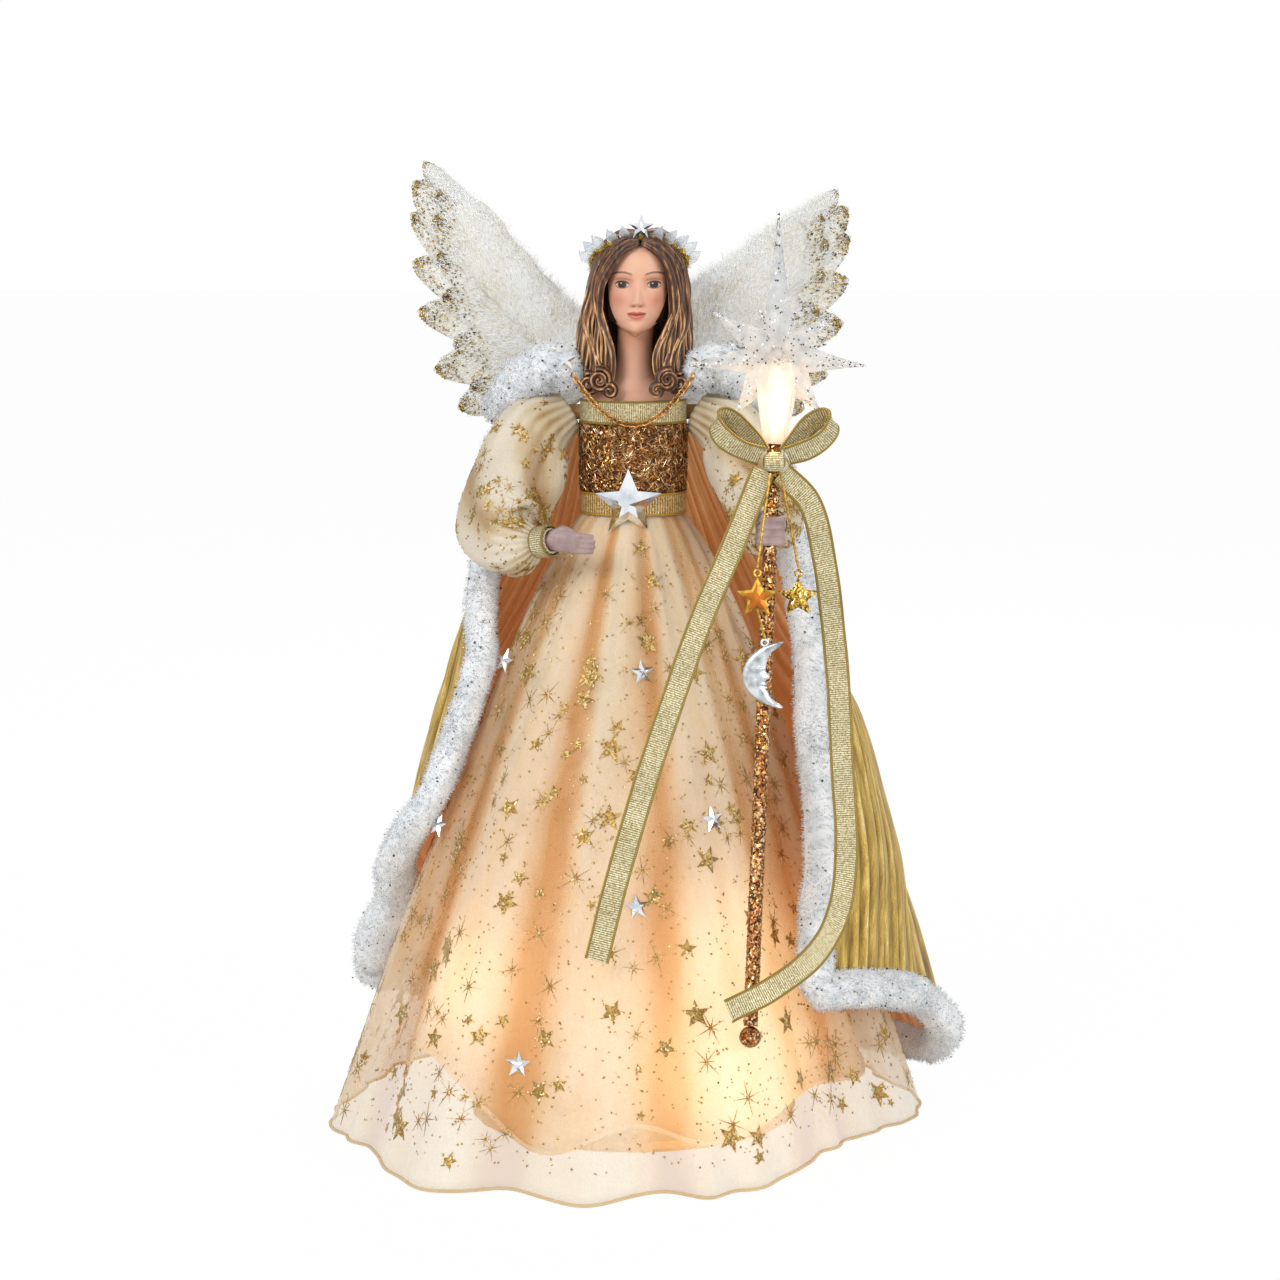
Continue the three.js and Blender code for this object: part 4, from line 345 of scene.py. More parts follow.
def ribbon_material(name, light, dark, rib_mm, edge_colour):
    """Wired metallic ribbon: fine ribs across it, threads of gold and silver, gold edges."""
    made = Finish(name, Metallic=0.45, Roughness=0.38)
    ribs = made.ribs(rib_mm)
    speckle = made.noise(0.7, 2)
    tone = made.plus(made.times(ribs, 0.16), speckle)
    body = made.ramp(tone, [(0.3, dark), (0.5, light), (0.72, "e6e2c4")])
    edge = made.maths("GREATER_THAN", made.maths("ABSOLUTE", made.attribute("across")), 0.84)
    made.link(made.mixed(edge, body, edge_colour), "Base Color")
    made.bump(made.plus(ribs, made.times(speckle, 1.5)), 0.5, 0.12)
    return made.material


def skin_material(name):
    """The head's paint, which the mesh carries, with a little unevenness."""
    made = Finish(name, Roughness=0.48, Subsurface_Weight=0.12, Subsurface_Scale=0.004)
    paint = made.node("Attribute", attribute_name="paint").outputs["Color"]
    shade = made.ramp(made.noise(6), [(0.3, 0.82), (0.7, 1.0)])
    made.link(made.mixed(0.2, paint, shade, "MULTIPLY"), "Base Color")
    made.bump(made.noise(0.6), 0.15, 0.05)
    return made.material


def hair_material(name):
    """Strands with painted shade, dark brown, in their grooves and painted highlights, gold, on their ridges.
    """
    made = Finish(name, Roughness=0.42, Metallic=0.15)
    streaks = made.maths("SUBTRACT", made.noise(1.6, 3, made.place((1, 1, 0.22))), 0.5)
    ridge = made.plus(made.attribute("ridge"), made.times(streaks, 1.3))
    shades = [(0.16, "2a1811"), (0.5, "5d3b27"), (0.76, "99693f"), (1.0, "e2b680")]
    made.link(made.ramp(ridge, shades), "Base Color")
    made.bump(made.noise(0.8, 3, made.place((1, 1, 0.2))), 0.5, 0.25)
    return made.material


def fur_material(name):
    # A faint white glow: painted light that lifts the shade in the pile
    made = Finish(
        name, Roughness=0.85, Sheen_Weight=0.5, Emission_Color=(0.96, 0.98, 1, 1), Emission_Strength=0.08
    )
    made.link(made.ramp(made.noise(9, 4), [(0.3, "d3d8dc"), (0.5, "ebeef0"), (0.75, "fbfbfa")]), "Base Color")
    made.bump(made.noise(1.1, 4), 0.9, 0.8)
    return made.material


def down_material(name):
    # A faint white glow: painted light that lifts the shade among the down
    made = Finish(
        name, Roughness=0.9, Sheen_Weight=0.5, Emission_Color=(0.93, 0.97, 1, 1), Emission_Strength=0.17
    )
    made.link(made.ramp(made.noise(11, 4), [(0.3, "f5f1e6"), (0.6, "fffffc")]), "Base Color")
    made.bump(made.noise(1.2, 4, made.place((1, 1, 0.5))), 0.7, 0.5)
    return made.material


def feather_material(name):
    """Cream vanes with fine barbs, which let some light through."""
    made = Finish(name, Roughness=0.75, Sheen_Weight=0.4)
    barbs = made.ribs(1.1)
    tone = made.plus(made.noise(13, 4), made.times(barbs, 0.05))
    colour = made.ramp(tone, [(0.3, "e4dcc4"), (0.45, "f5f1e4"), (0.62, "fffdf8")])
    made.link(colour, "Base Color")
    made.bump(made.plus(barbs, made.noise(1.6, 4)), 0.5, 0.25)
    made.surface(made.lit_through(colour, 0.25))
    return made.material


def lame_material(name):
    """Gold cloth. Its crinkles are laid out in the cloth's own millimetres, so they follow its folds."""
    made = Finish(name, Metallic=0.55, Roughness=0.4)
    down = made.times(made.attribute("across"), 0.1)
    laid = made.node("CombineXYZ", {0: made.attribute("along"), 1: down}).outputs[0]
    crinkle = made.node("TexNoise", {"Vector": laid}, {"Scale": 0.42, "Detail": 4, "Roughness": 0.6})
    crinkle = crinkle.outputs["Fac"]
    # Darker in the hollows of the crinkles and folds and paler on their tops: painted shade and highlight
    tone = made.plus(made.times(crinkle, 0.7), made.times(made.attribute("fold"), 0.3))
    shades = [(0.28, "624a18"), (0.45, "a28236"), (0.6, "cba952"), (0.78, "f0dfa0")]
    made.link(made.ramp(tone, shades), "Base Color")
    made.bump(made.plus(crinkle, made.noise(0.9, 3, made.place((1, 1, 0.5)))), 0.8, 0.9)
    return made.material


def clear_material(name):
    """Clear moulding that glows warm near the lamp in its stem."""
    made = Finish(name, Roughness=0.1, IOR=1.45, Transmission_Weight=0.5, Alpha=0.86, Coat_Weight=0.5)
    made.link(made.ramp(made.noise(5), [(0.35, "d2d8dc"), (0.65, "f6f4f0")]), "Base Color")
    warm = made.attribute("glow")
    made.link(made.mixed(warm, "ffe9d2", "ffcf9c"), "Emission Color")
    made.link(made.times(warm, 0.3), "Emission Strength")
    made.bump(made.noise(1.5), 0.25, 0.2)
    return made.material


def leaf_material(name):
    made = Finish(name, Roughness=0.15, Transmission_Weight=0.5, Alpha=0.62, Coat_Weight=0.5)
    made.link(made.ramp(made.noise(4), [(0.35, "c3d0d8"), (0.65, "f4f8fa")]), "Base Color")
    return made.material


def bulb_material(name, strength):
    made = Finish(name, Roughness=0.15, Emission_Strength=strength)
    made.link(made.ramp(made.noise(5), [(0.4, "ffc37a"), (0.6, "ffdca6")]), "Base Color")
    made.link(made.ramp(made.noise(5), [(0.4, "ffb566"), (0.6, "ffd79a")]), "Emission Color")
    return made.material


# Light colour, dark colour, grain in mm, roughness, depth of the grain in mm
matt_finishes = {
    "card": ("f4f1ea", "e6e1d6", 2.5, 0.8),
    "core": ("c4a067", "9c7840", 2.0, 0.6),
    "padding": ("efe9dc", "d5ccb9", 0.8, 0.95, 0.3),
    "hand": ("b49c98", "937c7a", 1.2, 0.45),
}
# Light colour, dark colour, roughness, grain in mm, share of metal
metal_finishes = {
    "silver": ("eef2f6", "aab6c4", 0.16, 2.5),
    "mirror_silver": ("f4f7fa", "c3ccd6", 0.06, 4),
    "gold_metal": ("dba865", "8f5d2a", 0.3, 0.9),
    "gold_edge": ("d9b04e", "8f6a20", 0.32, 0.8),
    "amber_mirror": ("e58a35", "9c4a12", 0.2, 4, 0.75),
    "tinsel": ("d3b24c", "6b561c", 0.3, 0.5),
    "cord": ("cfa64a", "7d5c1e", 0.4, 0.4, 0.7),
    "moon": ("e3e7ea", "98a0a6", 0.28, 1.6),
    "fibre_copper": ("bd7c3e", "6f421e", 0.3, 1.0, 0.8),
    "fibre_dark": ("5e3c22", "2e1a0e", 0.35, 1.0, 0.6),
    "fibre_pale": ("f2dcb4", "bf9862", 0.25, 1.0, 0.8),
    "flake_silver": ("ffffff", "c9d2da", 0.15, 2),
    "flake_dark": ("4a4640", "23201c", 0.3, 2, 0.5),
    "flake_gold": ("d9b650", "8a6a22", 0.25, 2, 0.85),
}
# Colours of the flakes and where each begins, size in mm, tilt, share of metal, roughness
glitter_finishes = {
    "gold_glitter": ([(0, "7d5c1c"), (0.35, "b8902f"), (0.65, "dcb858"), (0.88, "f6e7a8")], 0.7, 0.7),
    "print": ([(0, "9c7a38"), (0.35, "b8944c"), (0.65, "84663a"), (0.85, "e0cc98")], 0.7, 0.6, 0.45, 0.4),
    "bodice": ([(0, "4e2f18"), (0.3, "93602e"), (0.6, "bb8544"), (0.85, "e8c898")], 0.8, 0.9),
    "staff": ([(0, "4a2713"), (0.3, "8a4e22"), (0.55, "b8793a"), (0.8, "e8c79a")], 0.9, 0.8, 0.7),
}
# Colour of the ridges, between, of the valleys, where it is painted shade, share seen through, glow, sheen
cloth_finishes = {
    "organza": ("fdf2da", "f6dfb4", "dcab66", 0.66, 0.1),
    "sleeve": ("f7eedb", "ead7b2", "b98a4c", 0.08, 0),
    "organza_hem": ("eed9a8", "e2c283", "c99a50", 0.3, 0.1),
    "satin": ("fef0dc", "fad9b2", "eab681", 0, 0.5, 0.6),
    # The cape's inside: its warm colour and glow are painted lamplight
    "cape_lining": ("f6d6a2", "e6ab66", "cb8a44", 0, 0.55),
}
# Light colour, dark colour, distance between ribs in mm, colour of the wired edge
ribbon_finishes = {
    "ribbon": ("b9a878", "83754a", 0.9, "8c7634"),
    "ribbon_gold": ("cfa04a", "8f6a24", 1.2, "b8903a"),
}
bulb_finishes = {"bulb": (9.0,), "star_bulb": (0.9,)}


def make_materials():
    m = {}
    for make, finishes in (
        (matt, matt_finishes), (metal, metal_finishes), (glitter, glitter_finishes),
        (cloth_material, cloth_finishes), (ribbon_material, ribbon_finishes), (bulb_material, bulb_finishes),
    ):
        for name, values in finishes.items():
            m[name] = make(name, *values)
    for name, make in (
        ("skin", skin_material), ("hair", hair_material), ("fur", fur_material), ("down", down_material),
        ("feather", feather_material), ("lame", lame_material), ("clear", clear_material),
        ("leaf", leaf_material),
    ):
        m[name] = make(name)
    return m


# Small sums
def mix(a, b, share):
    return a + (b - a) * share


def hump(value, centre, width):
    return np.exp(-(((value - centre) / width) ** 2))


def around(knots, turns):
    """A smooth value between evenly spread knots that close on themselves."""
    knots = np.asarray(knots, float)
    place = np.mod(turns, 1) * len(knots)
    i = np.floor(place).astype(int)
    s = place - i
    a, b, c, d = (knots[(i + k) % len(knots)] for k in (-1, 0, 1, 2))
    return b + 0.5 * s * (c - a + s * (2 * a - 5 * b + 4 * c - d + s * (3 * (b - c) + d - a)))


def along(rows, column, x):
    """A smooth value at x through rows of (x, value, value...), with no overshoot."""
    rows = np.asarray(rows, float)
    xs, ys = rows[:, 0], rows[:, column]
    slope = np.diff(ys) / np.diff(xs)
    lean = np.concatenate([slope[:1], np.zeros(len(xs) - 2), slope[-1:]])
    p, q = slope[:-1], slope[1:]
    lean[1:-1] = np.where(p * q <= 0, 0, 2 * p * q / np.where(p + q == 0, 1, p + q))
    i = np.clip(np.searchsorted(xs, x, side="left") - 1, 0, len(xs) - 2)
    width = xs[i + 1] - xs[i]
    s = np.clip((x - xs[i]) / width, 0, 1)
    start = (1 + 2 * s) * (1 - s) ** 2 * ys[i] + s * (1 - s) ** 2 * width * lean[i]
    return start + s * s * (3 - 2 * s) * ys[i + 1] + s * s * (s - 1) * width * lean[i + 1]


def even(values):
    """Values at even places from 0 to 1, as rows for along()."""
    return [(k / (len(values) - 1), value) for k, value in enumerate(values)]


def ease(low, high, x):
    """0 below low, 1 above high and a smooth step between, or the other way round where low is the higher."""
    s = np.clip((x - low) / (high - low), 0, 1)
    return s * s * (3 - 2 * s)


def smooth(points, count):
    """count + 1 points on a smooth curve through a few, as the model's source has them."""
    points = np.asarray(points, float)
    ends = np.vstack([2 * points[0] - points[1], points, 2 * points[-1] - points[-2]])
    made = []
    for step in range(count + 1):
        place = (len(points) - 1) * step / count
        i = min(int(place), len(points) - 2)
        s = place - i
        p0, p1, p2, p3 = ends[i:i + 4]
        d0, d1, d2 = (max(1e-6, np.linalg.norm(b - a) ** 0.5) for a, b in ((p0, p1), (p1, p2), (p2, p3)))
        t1 = ((p1 - p0) / d0 - (p2 - p0) / (d0 + d1) + (p2 - p1) / d1) * d1
        t2 = ((p2 - p1) / d1 - (p3 - p1) / (d1 + d2) + (p3 - p2) / d2) * d1
        bend = (-3 * p1 + 3 * p2 - 2 * t1 - t2) * s ** 2
        made.append(p1 + t1 * s + bend + (2 * p1 - 2 * p2 + t1 + t2) * s ** 3)
    return np.array(made)


def unit(v):
    v = np.asarray(v, float)
    return v / np.maximum(1e-12, np.linalg.norm(v, axis=-1, keepdims=True))


def frames_along(run, side=(0, 0, 1)):
    """For each point of a run: the direction ahead and two across it, sliding without a twist."""
    run = np.asarray(run, float)
    across = np.array(side, float)
    ahead_all = unit(np.gradient(run, axis=0))
    rows = []
    for ahead in ahead_all:
        across = unit(across - ahead * across.dot(ahead))
        rows.append((ahead, across, np.cross(ahead, across)))
    return rows


def tube_points(run, radii, sides, side=(0, 0, 1), flat=1.0, shape=None):
    """Rings of points round a run. shape(angle, s) scales the radius."""
    frames = frames_along(run, side)
    angle = np.arange(sides) * TURN / sides
    radii = np.broadcast_to(radii, len(run))
    rings = []
    for i, (_, across, beside) in enumerate(frames):
        scale = radii[i] * (shape(angle, i / (len(run) - 1)) if shape else 1.0)
        rings.append(
            run[i] + np.outer(np.cos(angle) * scale * flat, across) + np.outer(np.sin(angle) * scale, beside)
        )
    return np.array(rings)


def polar(turns, radius, z, centre_x=axis_x, centre_y=0.0):
    turns, radius, z = np.broadcast_arrays(turns, radius, z)
    x, y = centre_x + radius * np.sin(TURN * turns), centre_y - radius * np.cos(TURN * turns)
    return np.stack([x, y, z], axis=-1)


def oval_radius(half_width, half_depth, turns):
    across, forward = np.sin(TURN * turns), np.cos(TURN * turns)
    return half_width * half_depth / np.hypot(half_depth * across, half_width * forward)


def circle(count):
    """Angles all round, without the last one, which is the first again."""
    return np.arange(count) * TURN / count


def run_length(run):
    """How far along a run each of its points lies."""
    return np.concatenate([[0], np.cumsum(np.linalg.norm(np.diff(run, axis=0), axis=1))])


def box_mm(node):
    """The low and high corners of a CAD piece's box, in millimetres."""
    return [np.array(corner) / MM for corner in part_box(node)]


# Meshes
class Parts:
    """Points, faces, and values at the points, gathered from several surfaces into one mesh."""

    def __init__(self):
        self.points, self.faces, self.marks, self.values, self.count = [], [], [], {}, 0

    def add(self, points, faces, mark=0, **values):
        points = np.asarray(points, float).reshape(-1, 3)
        n = len(points)
        self.points.append(points)
        self.faces += [tuple(int(k) + self.count for k in face) for face in faces]
        self.marks += [mark] * len(faces)
        for key, value in values.items():
            chunk = np.asarray(value, float).reshape(n, -1) if np.ndim(value) else np.full((n, 1), value)
            self.values.setdefault(key, []).append((self.count, chunk))
        self.count += n
        return self

    def grid(self, points, closed_u=False, closed_v=False, caps=False, **values):
        """Rows of points. closed_u joins each row's ends, closed_v joins the last row to the first."""
        points = np.asarray(points, float)
        rows, columns = points.shape[:2]
        faces = []
        for i in range(rows if closed_v else rows - 1):
            j = (i + 1) % rows
            for k in range(columns if closed_u else columns - 1):
                m = (k + 1) % columns
                faces.append((i * columns + k, i * columns + m, j * columns + m, j * columns + k))
        if caps:
            faces.append(tuple(range(columns))[::-1])
            faces.append(tuple(range((rows - 1) * columns, rows * columns)))
        flat = {}
        for key, value in values.items():
            if np.ndim(value) == 3:
                flat[key] = value.reshape(-1, 4)
            else:
                flat[key] = np.broadcast_to(value, (rows, columns)).reshape(-1)
        return self.add(points, faces, **flat)

    def tube(self, points, **values):
        """Rings of points as a closed skin with flat ends."""
        return self.grid(points, closed_u=True, caps=True, **values)

    def hoop(self, points, **values):
        """Rings of points whose last ring joins the first."""
        return self.grid(points, closed_u=True, closed_v=True, **values)

    def lean(self):
        """Moves the points with the head, which leans a little."""
        self.points = [lean_above(chunk) for chunk in self.points]
        return self

    def make(self, name, materials, body="figure", slot=None, replaces=(), smooth_faces=True, thick=0.0):
        mesh = bpy.data.meshes.new(name)
        mesh.from_pydata((np.vstack(self.points) * MM).tolist(), [], self.faces)
        for key, chunks in self.values.items():
            width = chunks[0][1].shape[1]
            whole = np.zeros((self.count, width))
            for start, value in chunks:
                whole[start:start + len(value)] = value
            if width == 4:
                mesh.attributes.new(key, "FLOAT_COLOR", "POINT").data.foreach_set("color", whole.ravel())
            else:
                mesh.attributes.new(key, "FLOAT", "POINT").data.foreach_set("value", whole.ravel())
        materials = materials if isinstance(materials, (list, tuple)) else [materials]
        for material in materials:
            mesh.materials.append(material)
        mesh.polygons.foreach_set("material_index", self.marks)
        mesh.polygons.foreach_set("use_smooth", [smooth_faces] * len(mesh.polygons))
        mesh.validate()
        skin = bmesh.new()
        skin.from_mesh(mesh)
        bmesh.ops.recalc_face_normals(skin, faces=skin.faces)
        skin.to_mesh(mesh)
        skin.free()
        mesh.update()
        piece = bpy.data.objects.new(name, mesh)
        bpy.context.scene.collection.objects.link(piece)
        if thick:
            shell = piece.modifiers.new("thickness", "SOLIDIFY")
            shell.thickness = thick * MM
            shell.offset = -1
        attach(piece, body)
        if replaces:
            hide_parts(*replaces)
        return piece


def spikes(parts, roots, directions, lengths, widths, **values):
    """Closed three-sided spikes: hairs, barbs or tinsel."""
    roots, directions = np.asarray(roots, float), unit(directions)
    n = len(roots)
    lengths, widths = np.broadcast_to(lengths, n)[:, None], np.broadcast_to(widths, n)[:, None]
    helper = np.where(np.abs(directions[:, 2:]) > 0.8, [[1.0, 0, 0]], [[0, 0, 1.0]])
    a = unit(np.cross(directions, helper))
    b = np.cross(directions, a)
    thirds = (0, TURN / 3, 2 * TURN / 3)
    corners = [roots + widths * 0.5 * (a * math.cos(t) + b * math.sin(t)) for t in thirds]
    points = np.stack([*corners, roots + directions * lengths], axis=1).reshape(-1, 3)
    faces = []
    for k in range(n):
        o = 4 * k
        faces += [(o, o + 1, o + 3), (o + 1, o + 2, o + 3), (o + 2, o, o + 3), (o + 2, o + 1, o)]
    given = {key: np.repeat(np.broadcast_to(value, n), 4) for key, value in values.items()}
    parts.add(points, faces, **given)


def flakes(parts, centres, normals, length, width, thickness, mark=0):
    """Small closed flat lozenges, turned at random about their normals."""
    centres, normals = np.asarray(centres, float), unit(normals)
    n = len(centres)
    helper = unit(rng.normal(size=(n, 3)))
    a = unit(np.cross(normals, helper))
    b = np.cross(normals, a)
    length, width = np.broadcast_to(length, n)[:, None], np.broadcast_to(width, n)[:, None]
    points = np.stack([
        centres + a * length / 2, centres + b * width / 2, centres - a * length / 2, centres - b * width / 2,
        centres + normals * thickness / 2, centres - normals * thickness / 2,
    ], axis=1).reshape(-1, 3)
    faces = []
    for k in range(n):
        o = 6 * k
        for p, q in ((0, 1), (1, 2), (2, 3), (3, 0)):
            faces += [(o + p, o + q, o + 4), (o + q, o + p, o + 5)]
    parts.add(points, faces, mark)


ribbon_columns = 9


def ribbon_points(run, width, across, wave):
    """A flat strip along a run, its width laid along the direction given for each point."""
    run = np.asarray(run, float)
    ahead = unit(np.gradient(run, axis=0))
    across = np.broadcast_to(np.asarray(across, float), run.shape)
    wide = unit(across - ahead * np.sum(across * ahead, axis=1, keepdims=True))
    thick = np.cross(ahead, wide)
    places = np.linspace(-1, 1, ribbon_columns)
    points = run[:, None, :] + wide[:, None, :] * (places * width / 2)[None, :, None]
    length = run_length(run)
    if wave is not None:
        points = points + thick[:, None, :] * wave(length[:, None], places[None, :])[..., None]
    shape = points.shape[:2]
    return points, np.broadcast_to(length[:, None], shape), np.broadcast_to(places[None, :], shape)


def add_ribbon(parts, run, width, across, edge=0.45, thickness=0.5, wave=None):
    """A wired ribbon: a closed thin strip and a round wire along both of its edges. Gives its length."""
    points, length, places = ribbon_points(run, width, across, wave)
    ahead = unit(np.gradient(points, axis=0))
    wide = unit(np.gradient(points, axis=1))
    lift = unit(np.cross(ahead, wide)) * thickness / 2

    def both(front, back):
        return np.concatenate([front, back[:, ::-1]], axis=1)

    parts.tube(both(points - lift, points + lift), along=both(length, length), across=both(places, places))
    for column in (0, -1):
        wire = tube_points(points[:, column], edge, 6, side=(0.3, 0.5, 0.8))
        shape = wire.shape[:2]
        parts.tube(wire, along=np.broadcast_to(length[:, :1], shape), across=np.ones(shape))
    return float(length[-1, 0])


def ribbon_piece(m, name, finish, node, run, width, across, held, rests_on, **wired):
    """A ribbon as a piece of its own. At the nearest width that a sheet may have."""
    parts = Parts()
    length = add_ribbon(parts, run, width, across, **wired)
    piece = parts.make(name, m[finish], slot="gold_ribbon", replaces=[node], smooth_faces=False)


def faceted_star(radius, thickness, waist_share, centre=(0, 0, 0), basis=None):
    """A star with ridged arms and a raised centre, flat behind, face towards -y."""
    rim = []
    for k in range(10):
        reach = radius * waist_share if k % 2 else radius
        rim.append((reach * math.sin(k * TURN / 10), reach * math.cos(k * TURN / 10)))
    edge = 0.3 * thickness
    points = [(x, -edge, z) for x, z in rim] + [(x * 0.97, 0, z * 0.97) for x, z in rim]
    points += [(x * 0.45, -0.86 * thickness, z * 0.45) for x, z in rim] + [(0, -thickness, 0), (0, 0, 0)]
    faces = []
    for k in range(10):
        m = (k + 1) % 10
        faces += [(k, m, 20 + m), (k, 20 + m, 20 + k), (20 + k, 20 + m, 30), (10 + m, 10 + k, 31)]
        faces += [(k, 10 + k, 10 + m), (k, 10 + m, m)]
    points = np.array(points)
    if basis is not None:
        points = points @ np.array(basis)
    return points + np.array(centre), faces


def silver_star(m, name, node, points, faces):
    star = Parts().add(points, faces)
    star.make(name, m["mirror_silver"], slot="silver", replaces=[node], smooth_faces=False)


class Surface:
    """A grid of points that can be read anywhere between them. Columns may close on themselves."""

    def __init__(self, points, closed=True, out=1):
        self.points = np.asarray(points, float)
        self.closed = closed
        if closed:
            wrapped = np.concatenate([self.points[:, -1:], self.points, self.points[:, :1]], axis=1)
            self.du = (wrapped[:, 2:] - wrapped[:, :-2]) / 2
        else:
            self.du = np.gradient(self.points, axis=1)
        self.dv = np.gradient(self.points, axis=0)
        self.normals = out * unit(np.cross(self.dv, self.du))

    def read(self, grid, row, column):
        rows, columns = self.points.shape[:2]
        row = np.clip(row, 0, rows - 1.001)
        i = np.floor(row).astype(int)
        r = (row - i)[..., None]
        column = np.mod(column, columns) if self.closed else np.clip(column, 0, columns - 1.001)
        k = np.floor(column).astype(int)
        c = (column - k)[..., None]
        k, m = k % columns, (k + 1) % columns
        top = grid[i, k] * (1 - c) + grid[i, m] * c
        low = grid[i + 1, k] * (1 - c) + grid[i + 1, m] * c
        return top * (1 - r) + low * r

    def at(self, row, column, lift=0.0):
        row, column = np.broadcast_arrays(np.asarray(row, float), np.asarray(column, float))
        return self.read(self.points, row, column) + self.read(self.normals, row, column) * lift

    def stamp(self, parts, row, column, outline, lift=0.12, thickness=0.18):
        """A thin closed shape laid on the surface, its outline given in millimetres across and up."""
        row, column = np.array(float(row)), np.array(float(column))
        wide = np.linalg.norm(self.read(self.du, row, column))
        tall = np.linalg.norm(self.read(self.dv, row, column))
        outline = np.vstack([np.asarray(outline, float), [[0, 0]]])
        rows, columns = row - outline[:, 1] / tall, column + outline[:, 0] / wide
        n = len(outline) - 1
        points = np.vstack([self.at(rows, columns, lift + thickness), self.at(rows, columns, lift)])
        faces = []
        for k in range(n):
            m = (k + 1) % n
            faces += [(k, m, n), (n + 1 + m, n + 1 + k, 2 * n + 1), (k, n + 1 + k, n + 1 + m, m)]
        parts.add(points, faces)


def star_outline(radius, points, waist_share, turn, short=1.0):
    """A flat star. Every other arm may be shorter than the rest."""
    made = []
    for k in range(2 * points):
        reach = radius * (waist_share if k % 2 else (short if (k // 2) % 2 else 1.0))
        angle = TURN * (k / (2 * points) + turn)
        made.append((reach * math.sin(angle), reach * math.cos(angle)))
    return made


def motifs(parts, surface, rows, columns_wide, counts, star_size, area=None):
    """Our own scatter of printed stars, eight-rayed bursts and dots, denser towards the last row."""
    for kind, count in zip(("star", "burst", "dot"), counts):
        for _ in range(count):
            row = rows[0] + (rows[1] - rows[0]) * rng.random() ** 0.62
            column = rng.random() * columns_wide
            if area is not None and not area(row, column):
                continue
            turn = rng.random()
            if kind == "star":
                outline = star_outline(star_size * rng.uniform(0.35, 1.1), 5, 0.42, turn)
            elif kind == "burst":
                outline = star_outline(star_size * rng.uniform(0.8, 1.35), 8, 0.1, turn, 0.6)
            else:
                outline = star_outline(rng.uniform(0.35, 0.62), 3, 0.8, turn)
            surface.stamp(parts, row, column, outline)


def print_piece(m, name, surface, *scatter):
    parts = Parts()
    motifs(parts, surface, *scatter)
    parts.make(name, m["print"], smooth_faces=False)


# Skirts: a place on the cloth is a turn round the figure and a share of the way from waist to hem
fold_count, lining_fold_count, pleat_count = 9, 7, 20
hem_roll = 0.8
lining_hem_share = 0.86
# The hem comes to a point under the staff
hem_point_turn, hem_point_reach = 0.0333, 12
skirt_columns, skirt_steps = 320, 66
lining_columns, lining_steps = 280, 58
# Stars, bursts and dots of the print
skirt_print_counts, sleeve_print_counts = (260, 230, 4200), (58, 34, 420)


def near(turns, centre, width):
    """1 at a turn round the figure, falling to nothing beside it."""
    return np.exp(-(((turns - centre + 0.5) % 1 - 0.5) / width) ** 2)


def warped(turns):
    return turns + 0.025 * np.sin(TURN * (2 * turns + 0.13)) + 0.012 * np.sin(TURN * 3 * turns)


def overskirt_phase(turns):
    return TURN * (fold_count * warped(turns) + 0.1)


def lining_phase(turns):
    return TURN * (lining_fold_count * warped(turns) + 0.15)


def pleat(turns, drop):
    return 0.9 * np.sin(math.pi * np.minimum(1, 4 * drop)) * np.cos(TURN * pleat_count * turns)


def overskirt_radius(turns, drop):
    waist = oval_radius(waist_half_width, waist_half_depth, turns)
    hem = hem_radius * around(hem_shares, turns + 0.5)
    fold = 4.2 * drop * np.cos(overskirt_phase(turns))
    point = hem_point_reach * near(turns, hem_point_turn, 0.014) * drop ** 5
    return mix(waist, hem, np.maximum(0, drop) ** bell_power) + fold + pleat(turns, drop) + point


def fine_folds(turns, drop):
    """Small gathers over the broad folds, none of them under a sewn star."""
    quiet = 1.0
    for turn, share in jewel_shares:
        quiet = quiet - near(turns, turn, 0.02) * hump(drop, share, 0.035)
    wave = np.sin(TURN * (23 * turns + 0.3 * np.sin(TURN * 3 * turns + 4 * drop)))
    second = np.sin(TURN * (41 * turns + 0.4 * np.sin(TURN * 2 * turns - 3 * drop)))
    return drop ** 0.6 * (1.1 * wave + 0.5 * second) * np.maximum(0, quiet)


def overskirt_point(turns, drop):
    lift = (hem_roll + 2.4 * (0.5 - 0.5 * np.cos(overskirt_phase(turns)))) * drop ** 4
    radius = overskirt_radius(turns, drop) + fine_folds(turns, drop)
    return polar(turns, radius, waist_height * (1 - drop) + lift)


def lining_point(turns, drop):
    waist = oval_radius(waist_half_width - 1.3, waist_half_depth - 1.3, turns)
    hem = hem_radius * lining_hem_share * around(hem_shares, turns + 0.5)
    low = 13 + 10 * (0.5 + 0.5 * np.sin(lining_phase(turns))) + 26 * near(turns, -0.15, 0.045)
    z = mix(waist_height, low, drop)
    down = np.maximum(0, 1 - z / waist_height)
    fold = 4.5 * down ** 1.2 * np.sin(lining_phase(turns) + TURN / 4)
    radius = mix(waist, hem, down ** bell_power) + fold + pleat(turns, down)
    return polar(turns, radius - 0.4, z)


def lamp_glow(points, reach=24.0, wide_reach=58.0):
    """How much light from the lamps inside falls on each point of the cloth, from 0 to about 1."""
    turns = np.arctan2(points[..., 0] - axis_x, -points[..., 1]) / TURN
    radius = np.hypot(points[..., 0] - axis_x, points[..., 1])
    total = np.zeros(points.shape[:-1])
    for turn, share in lamp_shares:
        arc = ((turns - turn + 0.5) % 1 - 0.5) * TURN * radius * 0.85
        rise = points[..., 2] - cone_height * share - 2
        apart = arc ** 2 + rise ** 2
        total += np.exp(-apart / reach ** 2) + 0.3 * np.exp(-apart / wide_reach ** 2)
    return np.minimum(total, 1.3)


